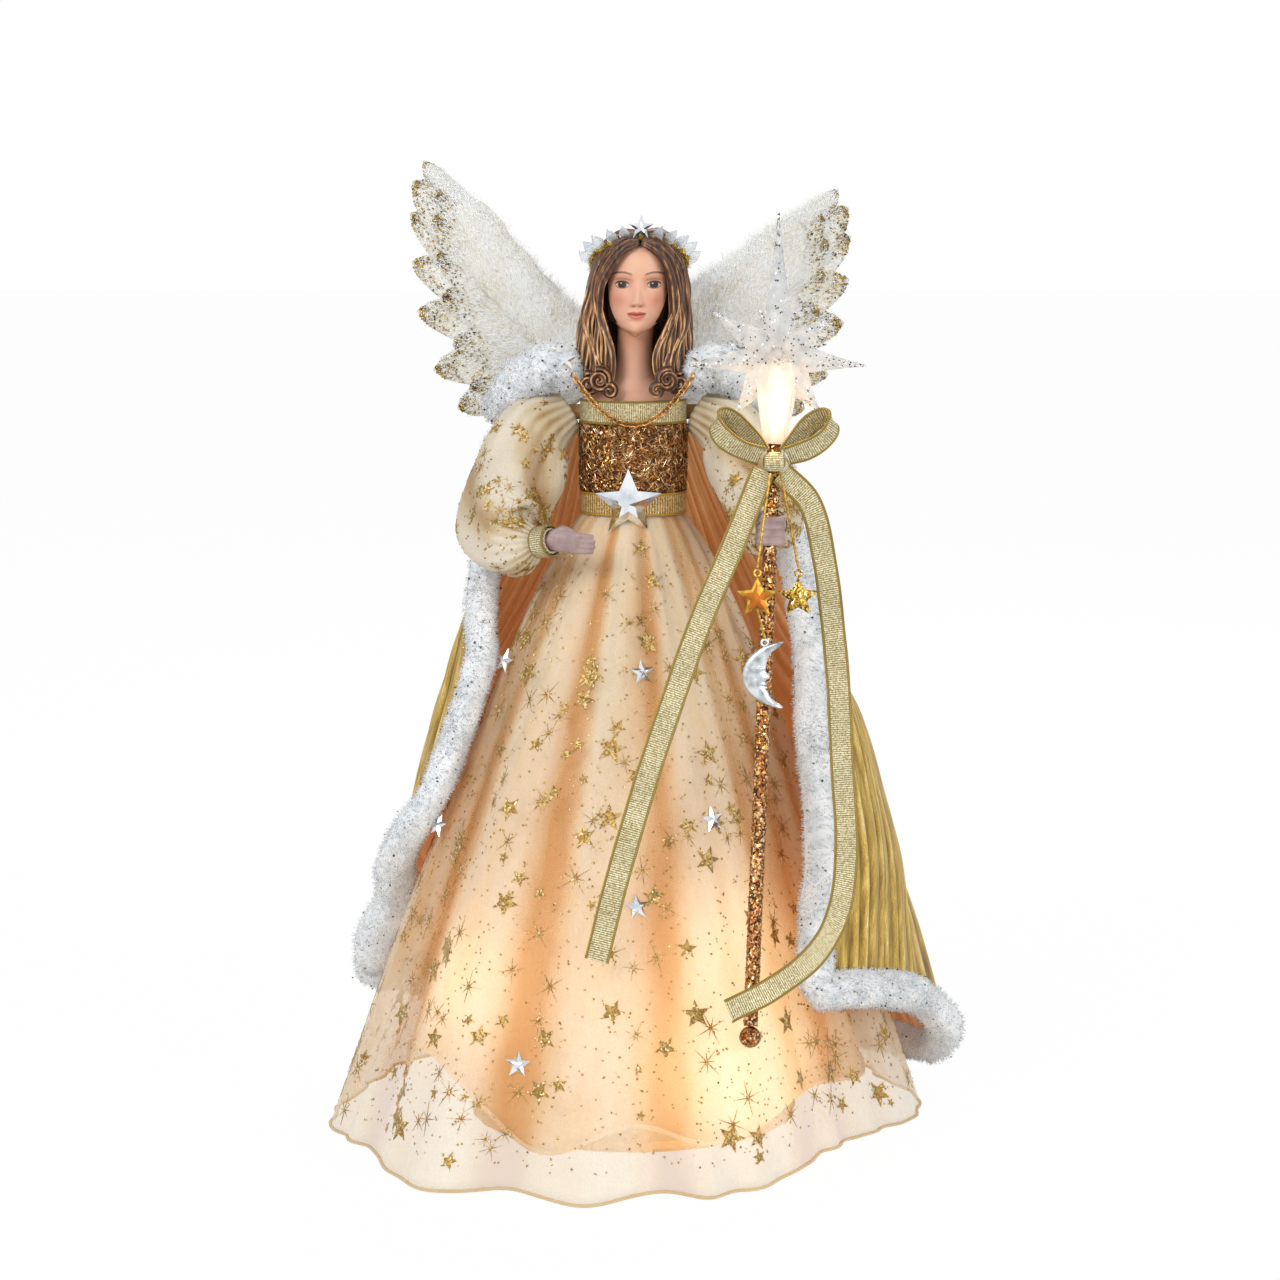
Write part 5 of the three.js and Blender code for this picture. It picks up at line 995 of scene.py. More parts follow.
def skirt_rows(place, columns, steps, inset=0.0):
    """Rows from the waistband's top edge down to the hem, with their turns and drops."""
    turns = np.arange(columns) / columns
    t, d = np.meshgrid(turns, np.linspace(0, 1, steps + 1) ** 1.15)
    top_radius = oval_radius(waist_half_width - inset, waist_half_depth - inset, turns)
    band = [polar(turns, top_radius, waist_height + waistband_height * (1 - k / 2)) for k in range(2)]
    return t, d, np.concatenate([np.array(band), place(t, d)])


def padded_rows(values):
    """The band's rows take the first row's values."""
    return np.concatenate([values[:1], values[:1], values])


def skirt_piece(m, name, finish, node, points, tone, thick):
    parts = Parts().grid(points, closed_u=True, fold=padded_rows(tone), glow=lamp_glow(points))
    return parts.make(name, m[finish], slot=finish, replaces=[node], thick=thick)


def hem_piece(m, name, finish, slot, line, radius, sides, tone):
    """The rolled edge along a skirt's last row."""
    glow = lamp_glow(line)[:, None] * np.ones((1, sides))
    Parts().hoop(tube_points(line, radius, sides), fold=tone, glow=glow).make(name, m[finish], slot=slot)


def build_skirts(m):
    t, d, points = skirt_rows(overskirt_point, skirt_columns, skirt_steps)
    # The tone follows the folds: painted shade in their valleys, and one deeper band just to the viewer's
    # left of the front, painted shade of a deep fold
    tone = 0.56 + 0.28 * np.cos(overskirt_phase(t)) + 0.2 * np.sin(TURN * 23 * t + 2 * d)
    tone = tone - 0.2 * near(t, -0.05, 0.016)
    cloth = skirt_piece(m, "organza_skirt", "organza", "overskirt", points, tone, 0.45)
    hem_piece(m, "organza_hem", "organza_hem", "organza", points[-1], hem_roll - 0.05, 6, 0.75)

    def shown(_, column):
        """Fewer motifs under the cape."""
        return not (0.36 < column / skirt_columns < 0.62 and rng.random() < 0.3)

    surface, rows = Surface(points), (5, skirt_steps)
    print_piece(m, "organza_print", surface, rows, skirt_columns, skirt_print_counts, 6.0, shown)

    t, d, points = skirt_rows(lining_point, lining_columns, lining_steps, 1.5)
    # The tone follows the lining's folds: painted shade in their valleys
    tone = 0.5 + 0.5 * np.sin(lining_phase(t) + TURN / 4)
    satin = skirt_piece(m, "satin_lining", "satin", "underskirt", points, tone, 0.5)
    hem_piece(m, "satin_hem", "satin", "satin", points[-1], 1.0, 8, 0.9)
    return cloth, satin


def smooth_skirt(turn, drop):
    return polar(turn, overskirt_radius(turn, drop), waist_height * (1 - drop))


def build_jewels(m):
    step = 0.004
    for k, (turn, drop) in enumerate(jewel_shares):
        node = f"jewel_star_{k + 1}"
        across = unit(smooth_skirt(turn + step, drop) - smooth_skirt(turn - step, drop))
        down = unit(smooth_skirt(turn, drop + step) - smooth_skirt(turn, drop - step))
        out = unit(mix(unit(np.cross(down, across)), np.array([0, -1, 0]), 0.2))
        across = unit(across - out * across.dot(out))
        low, high = box_mm(node)
        basis = [across, -out, np.cross(across, -out)]
        silver_star(
            m, f"sewn_star_{k + 1}", node, *faceted_star(5.6, 1.8, 0.42, (low + high) / 2 - out * 0.1, basis)
        )


# Bodice, belt and neckline
bodice_foot = 268.5
bodice_columns, bodice_steps = 90, 24
# Fibres of copper, dark and pale film: the last of each
fibre_ends = (1700, 2700, 3600)
neckline_half_width, neckline_half_depth, neckline_height = 22.9, 18.3, 302.1
belt_half_width, belt_half_depth, belt_height = 22.2, 17.5, 263.4


def bodice_point(turns, share):
    half = mix(waist_half_width + 1, chest_half_width, np.sqrt(share))
    deep = half * mix(waist_depth_share, chest_depth_share, share)
    return polar(turns, oval_radius(half, deep, turns) - 0.5, mix(bodice_foot, chest_height, share))


def slices(ends):
    """The shares of a list that end at the given places, each with its number."""
    return [(k, slice(start, end)) for k, (start, end) in enumerate(zip((0, *ends), ends))]


def build_bodice(m):
    t, s = np.meshgrid(np.arange(bodice_columns) / bodice_columns, np.linspace(1, 0, bodice_steps + 1))
    points = bodice_point(t, s)
    base = Parts().grid(points, closed_u=True)
    base.make("bodice_cloth", m["bodice"], slot="copper_glitter", replaces=["bodice"], thick=0.5)
    surface = Surface(points)
    fibres = Parts()
    count = fibre_ends[-1]
    row, column = rng.random(count) * bodice_steps, rng.random(count) * bodice_columns
    out = surface.read(surface.normals, row, column)
    centres = surface.at(row, column) + out * rng.uniform(0.15, 0.75, count)[:, None]
    normals = out + rng.normal(size=(count, 3)) * 0.22
    for mark, share in slices(fibre_ends):
        n = len(centres[share])
        length, width = rng.uniform(2.2, 4.6, n), rng.uniform(0.32, 0.5, n)
        flakes(fibres, centres[share], normals[share], length, width, 0.3, mark)
    finish = [m["fibre_copper"], m["fibre_dark"], m["fibre_pale"]]
    fibres.make("bodice_fibres", finish, slot="copper_glitter", smooth_faces=False)

    turns = np.linspace(-0.215, 0.215, 80)
    run = polar(turns, oval_radius(neckline_half_width, neckline_half_depth, turns), neckline_height)
    ribbon_piece(
        m, "neckline_band", "ribbon", "neckline_ribbon", run, 9.4, (0, 0, 1), "stretched", "torso_core"
    )

    # The belt's end lies over its start, behind the figure
    turns = np.linspace(-0.5, 0.515, 140)
    swell = np.linspace(0, 0.9, 140) * (np.linspace(0, 1, 140) > 0.9)
    run = polar(turns, oval_radius(belt_half_width, belt_half_depth, turns) + swell, belt_height)
    ribbon_piece(m, "belt_band", "ribbon_gold", "belt_ribbon", run, 8.6, (0, 0, 1), "stretched", "torso_core")

    low, high = box_mm("belt_star")
    centre = np.array([(low[0] + high[0]) / 2, high[1], belt_height + 1])
    silver_star(m, "belt_star_moulding", "belt_star", *faceted_star(14.6, 5.0, 0.45, centre))


# Arms, sleeves and hands
def shoulder(side):
    return np.array([axis_x + side * 27.3, 3.0, 300.8])


def places_from(anchor, length, side, shares):
    shares = np.asarray(shares, float)
    return anchor + shares * np.array([side, 1, 1]) * length


arm_right_shares = [
    (0, 0, 0), (0.156, -0.048, -0.093), (0.266, -0.119, -0.331), (0.307, -0.25, -0.521),
    (0.26, -0.393, -0.617), (0.147, -0.488, -0.6),
]
arm_left_shares = [
    (0, 0, 0), (0.169, -0.062, -0.096), (0.264, -0.173, -0.306), (0.332, -0.321, -0.467),
    (0.36, -0.481, -0.528), (0.36, -0.617, -0.516),
]
sleeve_puff, sleeve_left_puff_share = 19.6, 0.867
sleeve_start_radius, sleeve_wrist_radius = 9.0, 5.4
arm_radius = 2.95
sleeve_sides, sleeve_steps = 96, 64
cuff_reach, cuff_overlap = 6.35, 0.7


def staff_ends():
    foot = np.array([axis_x + 47, -107.0, 59.5])
    head = np.array([axis_x + 58.4, -58.0, 328.5])
    return foot, head, unit(head - foot)


def staff_at(z):
    foot, _, line = staff_ends()
    return foot + line * (z - foot[2]) / line[2]


def sleeve_ends(share):
    """Where the sleeve is gathered, at the shoulder and at the wrist."""
    return hump(share, 0.02, 0.2) + hump(share, 0.94, 0.16)


def sleeve_gathers(angle, share):
    long_folds = 0.075 * np.sin(3 * angle + 7 * share) + 0.05 * np.sin(5 * angle - 9 * share)
    broad = math.sin(math.pi * share) * (0.04 * np.cos(6 * angle) + long_folds)
    return 1 + broad + 0.05 * sleeve_ends(share) * np.cos(17 * angle)


def build_arm(m, name, side, length, shares, puff):
    corners = places_from(shoulder(side), length, side, shares)
    coarse = smooth(corners, 8)
    wrist, ahead = coarse[-1], unit(coarse[-1] - coarse[-2])
    run = smooth(corners, sleeve_steps)
    s = np.linspace(0, 1, sleeve_steps + 1)
    swell = along(even([0, 0.68, 1, 0.96, 0.66, 0]), 1, s)
    radii = mix(mix(sleeve_start_radius, sleeve_wrist_radius, s), puff, swell)
    run = np.vstack([run, [wrist + ahead * k for k in (2.0, 4.0, 6.0, 8.0)]])
    radii = np.concatenate([radii, [sleeve_wrist_radius] * 4])

    points = tube_points(run, radii - 0.3, sleeve_sides, (0, 1, 0), shape=sleeve_gathers)
    share, angle = np.meshgrid(np.linspace(0, 1, len(run)), circle(sleeve_sides), indexing="ij")
    # The tone follows the long folds and the gathers: painted shade in their valleys
    fold = 0.58 + 0.42 * np.sin(3 * angle + 7 * share) * np.sin(math.pi * share)
    fold = fold + 0.2 * np.cos(17 * angle) * sleeve_ends(share)
    parts = Parts().grid(points, closed_u=True, fold=fold, glow=np.zeros(points.shape[:2]))
    sleeve = parts.make(
        f"puffed_sleeve_{name}", m["sleeve"], slot="organza", replaces=[f"sleeve_{name}"], thick=0.45
    )
    surface = Surface(points, out=-1)
    print_piece(m, f"sleeve_print_{name}", surface, (3, 60), sleeve_sides, sleeve_print_counts, 3.7)

    inside = np.vstack([run[2:58], [wrist - ahead * 4]])
    arm = Parts().tube(tube_points(inside, arm_radius, 16, (0, 1, 0)))
    stuffed = arm.make(f"padded_arm_{name}", m["padding"], slot="padding", replaces=[f"arm_{name}"])

    turns = np.linspace(0, 1.03, 60)
    _, across, beside = frames_along(np.array([wrist, wrist + ahead * 8]), (0, 1, 0))[0]
    out = cuff_reach + cuff_overlap * (turns > 0.985)
    loop = wrist + ahead * 4.2 + np.cos(TURN * turns)[:, None] * across * out[:, None]
    loop = loop + np.sin(TURN * turns)[:, None] * beside * out[:, None]
    ribbon_piece(
        m, f"cuff_band_{name}", "ribbon", f"cuff_{name}", loop, 7.0, ahead, "stretched", f"hand_{name}",
        edge=0.35, thickness=0.45,
    )
    return wrist, ahead, sleeve, stuffed


def limb(parts, places, radii, sides=14, steps=16, side=(0, 0, 1), flat=1.0):
    """A rounded limb: a smooth tube whose radius follows its places, closed by small round ends."""
    run = smooth(np.array(places), steps)
    widths = along(even(list(radii)), 1, np.linspace(0, 1, steps + 1))
    ahead = unit(np.gradient(run, axis=0))
    caps = []
    for end, sign in ((0, -1), (-1, 1)):
        for k in (0.5, 0.85, 1.0):
            place = run[end] + ahead[end] * sign * widths[end] * k * 0.8
            caps.append((place, widths[end] * math.sqrt(max(0.02, 1 - k * k))))
    run = np.vstack([[p for p, _ in caps[:3]][::-1], run, [p for p, _ in caps[3:]]])
    widths = np.concatenate([[w for _, w in caps[:3]][::-1], widths, [w for _, w in caps[3:]]])
    parts.tube(tube_points(run, widths, sides, side, flat))


finger_pitch, finger_length, grip_pitch = 2.1, 20.5, 2.97


def build_right_hand(m, wrist, ahead):
    heel = wrist + ahead * 8
    reach = unit(mix(ahead, np.array([1, -0.12, -0.12]), 0.8))
    knuckle = heel + reach * 9.2
    up = np.array([0.0, 0, 1])
    parts = Parts()
    limb(parts, [wrist - ahead * 3.6, wrist, heel - ahead, heel + reach], [2.9, 3.0, 3.1, 3.2])
    palm = [heel - reach * 1.5, heel, mix(heel, knuckle, 0.5), knuckle]
    limb(parts, palm, [2.7, 3.9, 4.5, 4.0], 16, 16, (0, 1, 0), 0.565)
    for k in range(4):
        aside = up * (1.5 - k) * finger_pitch
        length = finger_length * (0.55 - 0.04 * abs(1.5 - k))
        start = knuckle + aside - reach * 1.45
        tip = start + reach * length + np.array([0, 1, -0.2]) * length * 0.16
        middle = (start + tip) / 2 + np.array([0, -0.58, 0])
        limb(parts, [start, middle, mix(tip, start, 0.08)], [1.4, 1.32, 0.95])
    thumb = heel + up * 2.3
    tip = thumb + reach * 8.6 + up * 2.3
    limb(parts, [thumb, thumb + reach * 4.9 + up * 2.85, tip], [1.85, 1.6, 1.0])
    blend_limbs(parts.make("open_hand", m["hand"], slot="painted_hand", replaces=["hand_right"]))


def build_left_hand(m, wrist, ahead):
    _, _, line = staff_ends()
    grip = staff_at(wrist[2] + 0.87)
    palm = grip + np.array([0, 7.35, 0])
    heel = wrist + ahead * 8
    parts = Parts()
    limb(parts, [wrist - ahead * 3.6, wrist, heel, mix(palm, heel, 0.4)], [2.9, 3.0, 3.3, 3.6])
    levels = [palm - line * 6.6, palm - line * 4.1, palm + line * 4.1, palm + line * 6.6]
    limb(parts, levels, [2.9, 4.6, 4.6, 2.9], 16, 16, (0, 1, 0), 0.66)
    for k in range(4):
        level = grip + line * (1.5 - k) * grip_pitch
        angles = np.linspace(0.43, -0.43, 9) * TURN
        bend = level + np.stack([4.85 * np.sin(angles), -4.85 * np.cos(angles), np.zeros(9)], axis=-1)
        limb(parts, bend, [1.42] * 7 + [1.3, 1.1], 12, 24)
    thumb = [(4, (-3.2, -1, 0)), (6.4, (-5, -6, 0)), (6, (-3.6, -10.6, 0))]
    limb(parts, [palm + line * up + np.array(aside) for up, aside in thumb], [1.8, 1.6, 1.1])
    blend_limbs(parts.make("gripping_hand", m["hand"], slot="painted_hand", replaces=["hand_left"]))


def blend_limbs(hand):
    """Runs palm, fingers and thumb together as one casting."""
    whole = hand.modifiers.new("one_casting", "REMESH")
    whole.mode = "VOXEL"
    whole.voxel_size = 0.00035
    whole.use_smooth_shade = True
    softened = hand.modifiers.new("softened", "SMOOTH")
    softened.factor = 0.5
    softened.iterations = 4


# Head, hair and crown
head_half_width, head_height = 13.7, 41.2
head_middle_y, head_front_depth, head_back_depth = -3.5, 17.5, 14
# Share of the height, then shares of the width, the depth in front and the depth behind
face_rows = [
    (0, 0.2, 0.82, 0.1), (0.05, 0.5, 0.92, 0.3), (0.1, 0.66, 0.94, 0.42), (0.2, 0.84, 0.96, 0.6),
    (0.33, 0.95, 0.97, 0.8), (0.48, 0.99, 0.97, 0.95), (0.62, 1, 0.97, 1), (0.78, 0.93, 0.93, 1),
    (0.91, 0.7, 0.75, 0.8), (1, 0.3, 0.36, 0.36),
]
nose_root, nose_tip, nose_rise = 21.2, 11.6, 2.7
# Mirrored about the middle line: place across, height over the chin, half width, half height, rise
face_features = {
    "nostril": (1.95, 10.9, 0.75, 0.9, 0.95),
    "eye_hollow": (6.0, 19.0, 3.0, 2.3, -1.5),
    "eyeball": (6.2, 18.5, 2.3, 1.45, 1.25),
    "brow": (5.5, 22.9, 4.2, 1.5, 0.55),
    "cheek": (7.2, 12.6, 3.2, 3.6, 0.7),
    "upper_lip": (0, 7.15, 2.7, 0.75, 0.8),
    "lower_lip": (0, 5.35, 2.1, 0.9, 1.05),
    "mouth_line": (0, 6.25, 3.1, 0.28, -0.5),
    "mouth_corner": (3.5, 6.2, 0.6, 0.8, -0.25),
    "under_lip": (0, 3.7, 2.8, 0.75, -0.45),
    "chin": (0, 1.7, 3.0, 1.8, 0.9),
    "lip_groove": (0, 8.8, 0.5, 0.9, -0.2),
}
eye_across, eye_height, eye_half_width, eye_half_height = 6.15, 18.5, 2.5, 1.3
iris_across, iris_height = 6.05, 18.6
# Height, half width, half depth, middle across, middle forwards
neck_rings = [
    (304.4, 20.4, 14.6, axis_x, 0), (306.2, 20.2, 14.4, axis_x, 0), (308.0, 19.2, 13.7, axis_x, -0.1),
    (309.6, 17.2, 12.6, axis_x, -0.3), (311.4, 14.4, 11.2, axis_x, -0.6), (313.2, 11.4, 9.9, -4.8, -1.1),
    (315.2, 9.3, 8.8, -4.6, -1.5), (318, 8.1, 8.1, head_x, -2.1), (323, 7.4, 7.7, head_x, -2.6),
    (330, 7.4, 7.8, head_x, -2.8), (338, 7.6, 8.0, head_x, -2.6), (347, 7.8, 8.0, head_x, -2),
]
collar_bone_height, collar_bone_across = 309.2, 8.5
lean_foot, lean_share = 327.6, 0.052


def lean_above(points):
    """Only what is above the chin leans, and the neck follows it a little."""
    points = np.array(points, float)
    points[..., 0] += lean_share * np.maximum(points[..., 2] - lean_foot, -8)
    return points


def spot(side, z, centre, height, wide, tall):
    """1 at a place on the face, falling to nothing round it."""
    return np.exp(-(((side - centre) / wide) ** 2) - ((z - height) / tall) ** 2)


def face_relief(x, z):
    """How far the features stand out from the plain oval, x from the middle line and z from the chin."""
    above = np.clip((nose_root - z) / (nose_root - nose_tip), 0, 1) ** 1.25
    below = np.clip(1 - ((nose_tip - z) / 2.0) ** 2, 0, 1)
    width = mix(1.05, 1.75, np.clip((20 - z) / 9, 0, 1))
    total = nose_rise * np.where(z > nose_tip, above, below) * np.exp(-((x / width) ** 2))
    for *place, rise in face_features.values():
        total += rise * spot(np.abs(x), z, *place)
    return total


def face_paint(x, z):
    """The painted face, as linear colours."""
    colour = np.empty(x.shape + (4,))
    colour[...] = linear("e2ac90")
    side = np.abs(x)

    def lay(shade, share):
        colour[...] = colour + (np.array(linear(shade)) - colour) * np.clip(share, 0, 1)[..., None]

    def dab(*place):
        return spot(side, z, *place)

    def lid(rise, half_width):
        """Height of the eye's upper or lower edge."""
        return eye_height + rise * np.sqrt(np.clip(1 - ((side - eye_across) / half_width) ** 2, 0, 1))

    def line(height, outer, inner):
        """A thin line at a height, its softness from outer to inner."""
        return ease(outer, inner, np.abs(z - height))

    # Painted shade at the sides, under the chin and towards the hair, painted highlight on the forehead and
    # down the nose, blush on the cheeks, eye shadow, and painted shade in the hollows beside the nose bridge,
    # round the nostrils and under the lower lip
    lay("c28262", 0.75 * ease(8.5, 12.5, side) + 0.5 * ease(2.5, 0.0, z) + 0.35 * ease(27, 34, z))
    lay("e9bd9c", 0.55 * dab(0, 28, 5.5, 4.5) + 0.4 * dab(0, 14, 1.1, 4.0))
    lay("d0785e", 0.6 * dab(7.3, 12.2, 3.1, 2.9))
    lay("b5623a", 0.62 * dab(6.2, 20.8, 3.3, 1.2) + 0.45 * dab(2.9, 18.8, 1.0, 2.2))
    lay("b06c4c", 0.5 * dab(1.9, 9.9, 1.2, 0.6) + 0.35 * dab(0, 3.9, 2.2, 0.6))
    # Eyes
    from_eye = np.hypot((side - eye_across) / eye_half_width, (z - eye_height) / eye_half_height)
    open_eye = ease(1.15, 0.85, from_eye)
    lay("c9b6a4", open_eye)
    from_iris = np.hypot(side - iris_across, z - iris_height)
    lay("24110a", ease(1.85, 1.5, from_iris) * open_eye)
    lay("080403", ease(1.1, 0.7, from_iris) * open_eye)
    from_glint = np.hypot(x - np.sign(x) * iris_across + 0.5, z - iris_height - 0.6)
    lay("ffffff", 0.8 * ease(0.3, 0.16, from_glint) * open_eye)
    within = ease(2.95, 2.45, np.abs(side - eye_across))
    lay("23130c", line(lid(1.4, 2.75), 0.55, 0.2) * within)
    lay("6e4129", 0.65 * line(lid(-1.3, 2.6), 0.4, 0.12) * within)
    crease = 20.5 + 0.5 * (1 - ((side - 6.0) / 3.3) ** 2)
    lay("93552f", 0.5 * line(crease, 0.5, 0.1) * ease(3.4, 2.4, np.abs(side - 6.0)))
    # Brows
    brow = 22.7 + 1.0 * (1 - ((side - 6.4) / 4.0) ** 2)
    lay("6d422a", 0.85 * line(brow, 0.62, 0.2) * ease(4.3, 3.2, np.abs(side - 6.3)))
    # Nostrils and lips
    lay("6b3423", 0.8 * dab(1.25, 9.75, 0.55, 0.4))
    top = 7.9 - 0.55 * dab(0, 7.9, 0.7, 9) - 0.17 * side ** 1.25
    low = 4.35 + 0.11 * x ** 2
    middle = 6.25 + 0.035 * x ** 2 - 0.15 * dab(0, 6, 0.8, 9)
    lay("bd5a4d", ease(-0.15, 0.25, top - z) * ease(-0.1, 0.15, z - middle) * ease(4.1, 3.4, side))
    lay("cc6f60", ease(-0.1, 0.3, z - low) * ease(-0.1, 0.15, middle - z) * ease(3.9, 3.1, side))
    # A paler spot on the lower lip: painted highlight
    lay("e9a592", 0.5 * dab(0.4, 5.4, 1.0, 0.35))
    lay("6f2c25", 0.9 * line(middle, 0.34, 0.1) * ease(3.6, 3.0, side))
    # Hairline
    lay("2a1812", ease(33.4, 35.2, z + 0.012 * side ** 2))
    return colour


def add_face(parts):
    """The head's skin, finest at the front, where the features are."""
    angles = np.concatenate([np.linspace(-84, 84, 169), np.linspace(84, 276, 32)[1:-1]])
    shares = [np.linspace(0, 0.16, 32)[:-1], np.linspace(0.16, 0.86, 132), np.linspace(0.88, 1, 8)]
    a, s = np.meshgrid(np.radians(angles), np.concatenate(shares))
    wide, front, back = (along(face_rows, k, s) for k in (1, 2, 3))
    x, z = head_half_width * wide * np.sin(a), head_height * s
    deep = np.where(np.cos(a) > 0, head_front_depth * front, head_back_depth * back)
    y = head_middle_y - deep * np.cos(a)
    feature_x, feature_z = x / 1.08, z - 1.9 * ease(0.5, 6, z)
    relief = face_relief(feature_x, feature_z) * ease(0.25, 0.6, np.cos(a))
    points = np.stack([head_x + x, y - relief, chin_height + z], axis=-1)
    # One smaller ring closes the chin from below
    under = points[:1].copy()
    under[..., 2] -= 0.8
    under[..., 0] = head_x + (under[..., 0] - head_x) * 0.7
    under[..., 1] = -12 + (under[..., 1] + 12) * 0.75
    paint = face_paint(feature_x, feature_z)
    parts.tube(np.concatenate([under, points]), paint=np.concatenate([paint[:1], paint]))


def add_neck(parts):
    """Neck and bust in one flow, with the collar bones."""
    table = [(k / (len(neck_rings) - 1), *ring) for k, ring in enumerate(neck_rings)]
    turns = np.arange(80) / 80
    rows = []
    for share in np.linspace(0, 1, 60):
        height, wide, deep, x, y = (float(along(table, k, np.array(share))) for k in range(1, 6))
        ring = polar(turns, oval_radius(wide, deep, turns), height, x, y)
        for side in (-1, 1):
            bone = hump(ring[:, 0], x + side * collar_bone_across, 6.0) * (ring[:, 1] < 0)
            ring[:, 1] -= 0.5 * bone * hump(height, collar_bone_height, 1.0)
        rows.append(ring)
    rows = np.array(rows)
    # Darker just under the chin: painted shadow of the head
    shade = ease(336, 320, rows[..., 2])[..., None]
    paint = np.array(linear("c98f70")) * (1 - shade) + np.array(linear("e2b094")) * shade
    parts.tube(rows, paint=paint)


def build_head(m):
    parts = Parts()
    add_face(parts)
    add_neck(parts)
    parts.lean().make("painted_face", m["skin"], slot="painted_head", replaces=["head_casting"])


cap_middle, cap_half_height, cap_half_width, cap_half_depth, cap_power = 352, 24.6, 17.9, 19.3, 2.6
# Of the broad lock at the back: height, half width, half depth, place behind
back_lock_rings = [
    (350, 16.2, 12, 7), (338, 17.6, 12, 8), (328, 18.2, 11, 9), (318, 17.4, 9.4, 9.4), (311, 15.2, 7.4, 9.6),
    (309.4, 10, 4, 9.6),
]
# How far below the parting the places of a lock lie
hair_levels = (0, 2.4, 8.6, 18.4, 26.8, 35.6, 46.4, 56.2, 62)
# Locks from the face round to the back: radius, height of the parting, places across, places forwards
hair_locks = [
    (1.9, 372.4,
     (0.5, 5.5, 10.6, 14.8, 14.6, 13.2, 10, 9, 10.2), (19.3, 19.6, 18, 14.6, 13.6, 13.6, 14.8, 16.4, 16.6)),
    (2.2, 373.8,
     (0.5, 7, 12.8, 16.7, 16.9, 16.2, 13.6, 12.2, 13.2),
     (17.5, 17.8, 15.6, 11.5, 10.6, 10.8, 12.8, 15.4, 16)),
    (2.5, 375,
     (0.6, 8.2, 14.2, 17.8, 18.9, 19.2, 17.6, 16, 16.4), (14.5, 14.5, 12, 7.5, 6.5, 6.8, 9.6, 12.8, 13.6)),
    (2.7, 376,
     (0.7, 8.8, 15.2, 18.2, 20, 21, 20.6, 19.4, 18.6), (9.5, 9, 6, 2, 1.5, 2, 4.5, 7.6, 9.4)),
    (3.0, 376.3,
     (0.8, 9.4, 15.8, 18.2, 19.8, 20.8, 21.2, 20.6, 19.4), (3.5, 2.5, -0.5, -4.5, -5.5, -5.5, -3.6, -1, 1)),
    (3.4, 375.6,
     (0.8, 8.6, 14.6, 16.8, 18.2, 18.8, 18.8, 18.4, 17.4), (-3.5, -5.5, -9, -12, -13, -13, -12.2, -10.5, -9)),
    (3.8, 373.6,
     (0.8, 6, 9.6, 11.4, 12, 12, 11.6, 11, 10.4), (-9.5, -13, -16.4, -18.8, -19.4, -19.2, -18, -17, -15.6)),
    (4.3, 372,
     (0.4, 1.6, 2.2, 2.4, 2.6, 2.6, 2.4, 2.2, 2),
     (-12.5, -16.4, -19.2, -21, -21.2, -20.6, -19.2, -17.6, -16)),
]
lock_steps, lock_sides, locks_between = 90, 36, 3
# Curled ends: place across, forwards and up, size, turns
hair_curls = [
    (14.2, -16.6, 315.8, 4.3, 1.9), (18.6, -11.6, 313.8, 4.2, 1.6), (10, -17.4, 311.4, 2.5, 1.2),
    (19.4, -2.5, 312.8, 4.4, 1.4),
]
curl_steps, curl_sides = 60, 18


def hair_cap_radius(turns, z):
    level = np.minimum(1, np.abs(z - cap_middle) / cap_half_height)
    return (1 - level ** cap_power) ** (1 / cap_power) * oval_radius(cap_half_width, cap_half_depth, turns)


def add_hair_cap(parts):
    """The cap under the locks and the broad lock at the back."""
    turns = np.arange(64) / 64
    rings = []
    for level in np.linspace(-0.55, 0.985, 26):
        radius = hair_cap_radius(turns, cap_middle + cap_half_height * level) * 0.9
        rings.append(polar(turns, radius, cap_middle + 23 * level, head_x, 0.8))
    parts.tube(np.array(rings), ridge=0.12)
    rings = []
    for z, wide, deep, behind in back_lock_rings:
        radius = oval_radius(wide, deep, turns) * (1 + 0.045 * np.cos(TURN * 12 * turns))
        rings.append(polar(turns, radius, z, head_x, behind))
    parts.tube(np.array(rings), ridge=0.15)


def add_locks(parts):
    """Wavy locks from the parting down, each between two of the locks listed."""
    s = np.linspace(0, 1, lock_steps + 1)
    share, angle = np.meshgrid(s, circle(lock_sides), indexing="ij")
    thin = np.minimum(1, 0.35 + s / 0.12) * (1 - 0.42 * s ** 3) * np.minimum(1, 0.25 + (1 - s) / 0.05)
    for order in range(locks_between * (len(hair_locks) - 1) + 1):
        first = min(order // locks_between, len(hair_locks) - 2)
        between = order / locks_between - first
        pair = zip(hair_locks[first], hair_locks[first + 1])
        radius, top, across, forward = (mix(np.array(a, float), np.array(b, float), between) for a, b in pair)
        for side in (-1, 1):
            places = np.stack([across, -forward, top - np.array(hair_levels)], axis=-1)
            places[1:] += rng.normal(size=(len(places) - 1, 3)) * [0.3, 0.35, 0.4]
            run = smooth(places * [side, 1, 1] + [head_x, 0, 0], lock_steps)
            wave = 1.9 * np.sin(TURN * (2.4 * s + 0.13 * order)) * ease(0.3, 0.7, s)
            run[:, 0] += side * wave * 0.7
            run[:, 1] += 0.8 * wave
            turn, twist = rng.uniform(0, TURN), 3 + 3 * rng.random()

            def strands(angle, share, turn=turn, twist=twist):
                broad = 0.14 * np.cos(4 * angle + turn + twist * share)
                return 1 + broad + 0.06 * np.cos(9 * angle - 6 * share)

            points = tube_points(run, radius * 0.82 * thin, lock_sides, shape=strands)
            # Dark in the grooves between strands and pale on their ridges, more so towards the ends: painted
            # shade and highlight
            ridge = 0.5 + 0.5 * np.cos(4 * angle + turn + twist * share)
            ridge = 0.16 + ridge * mix(0.36, 0.8, ease(0.1, 0.8, share))
            ridge = ridge + 0.12 * np.cos(9 * angle - 6 * share)
            parts.tube(points, ridge=ridge)


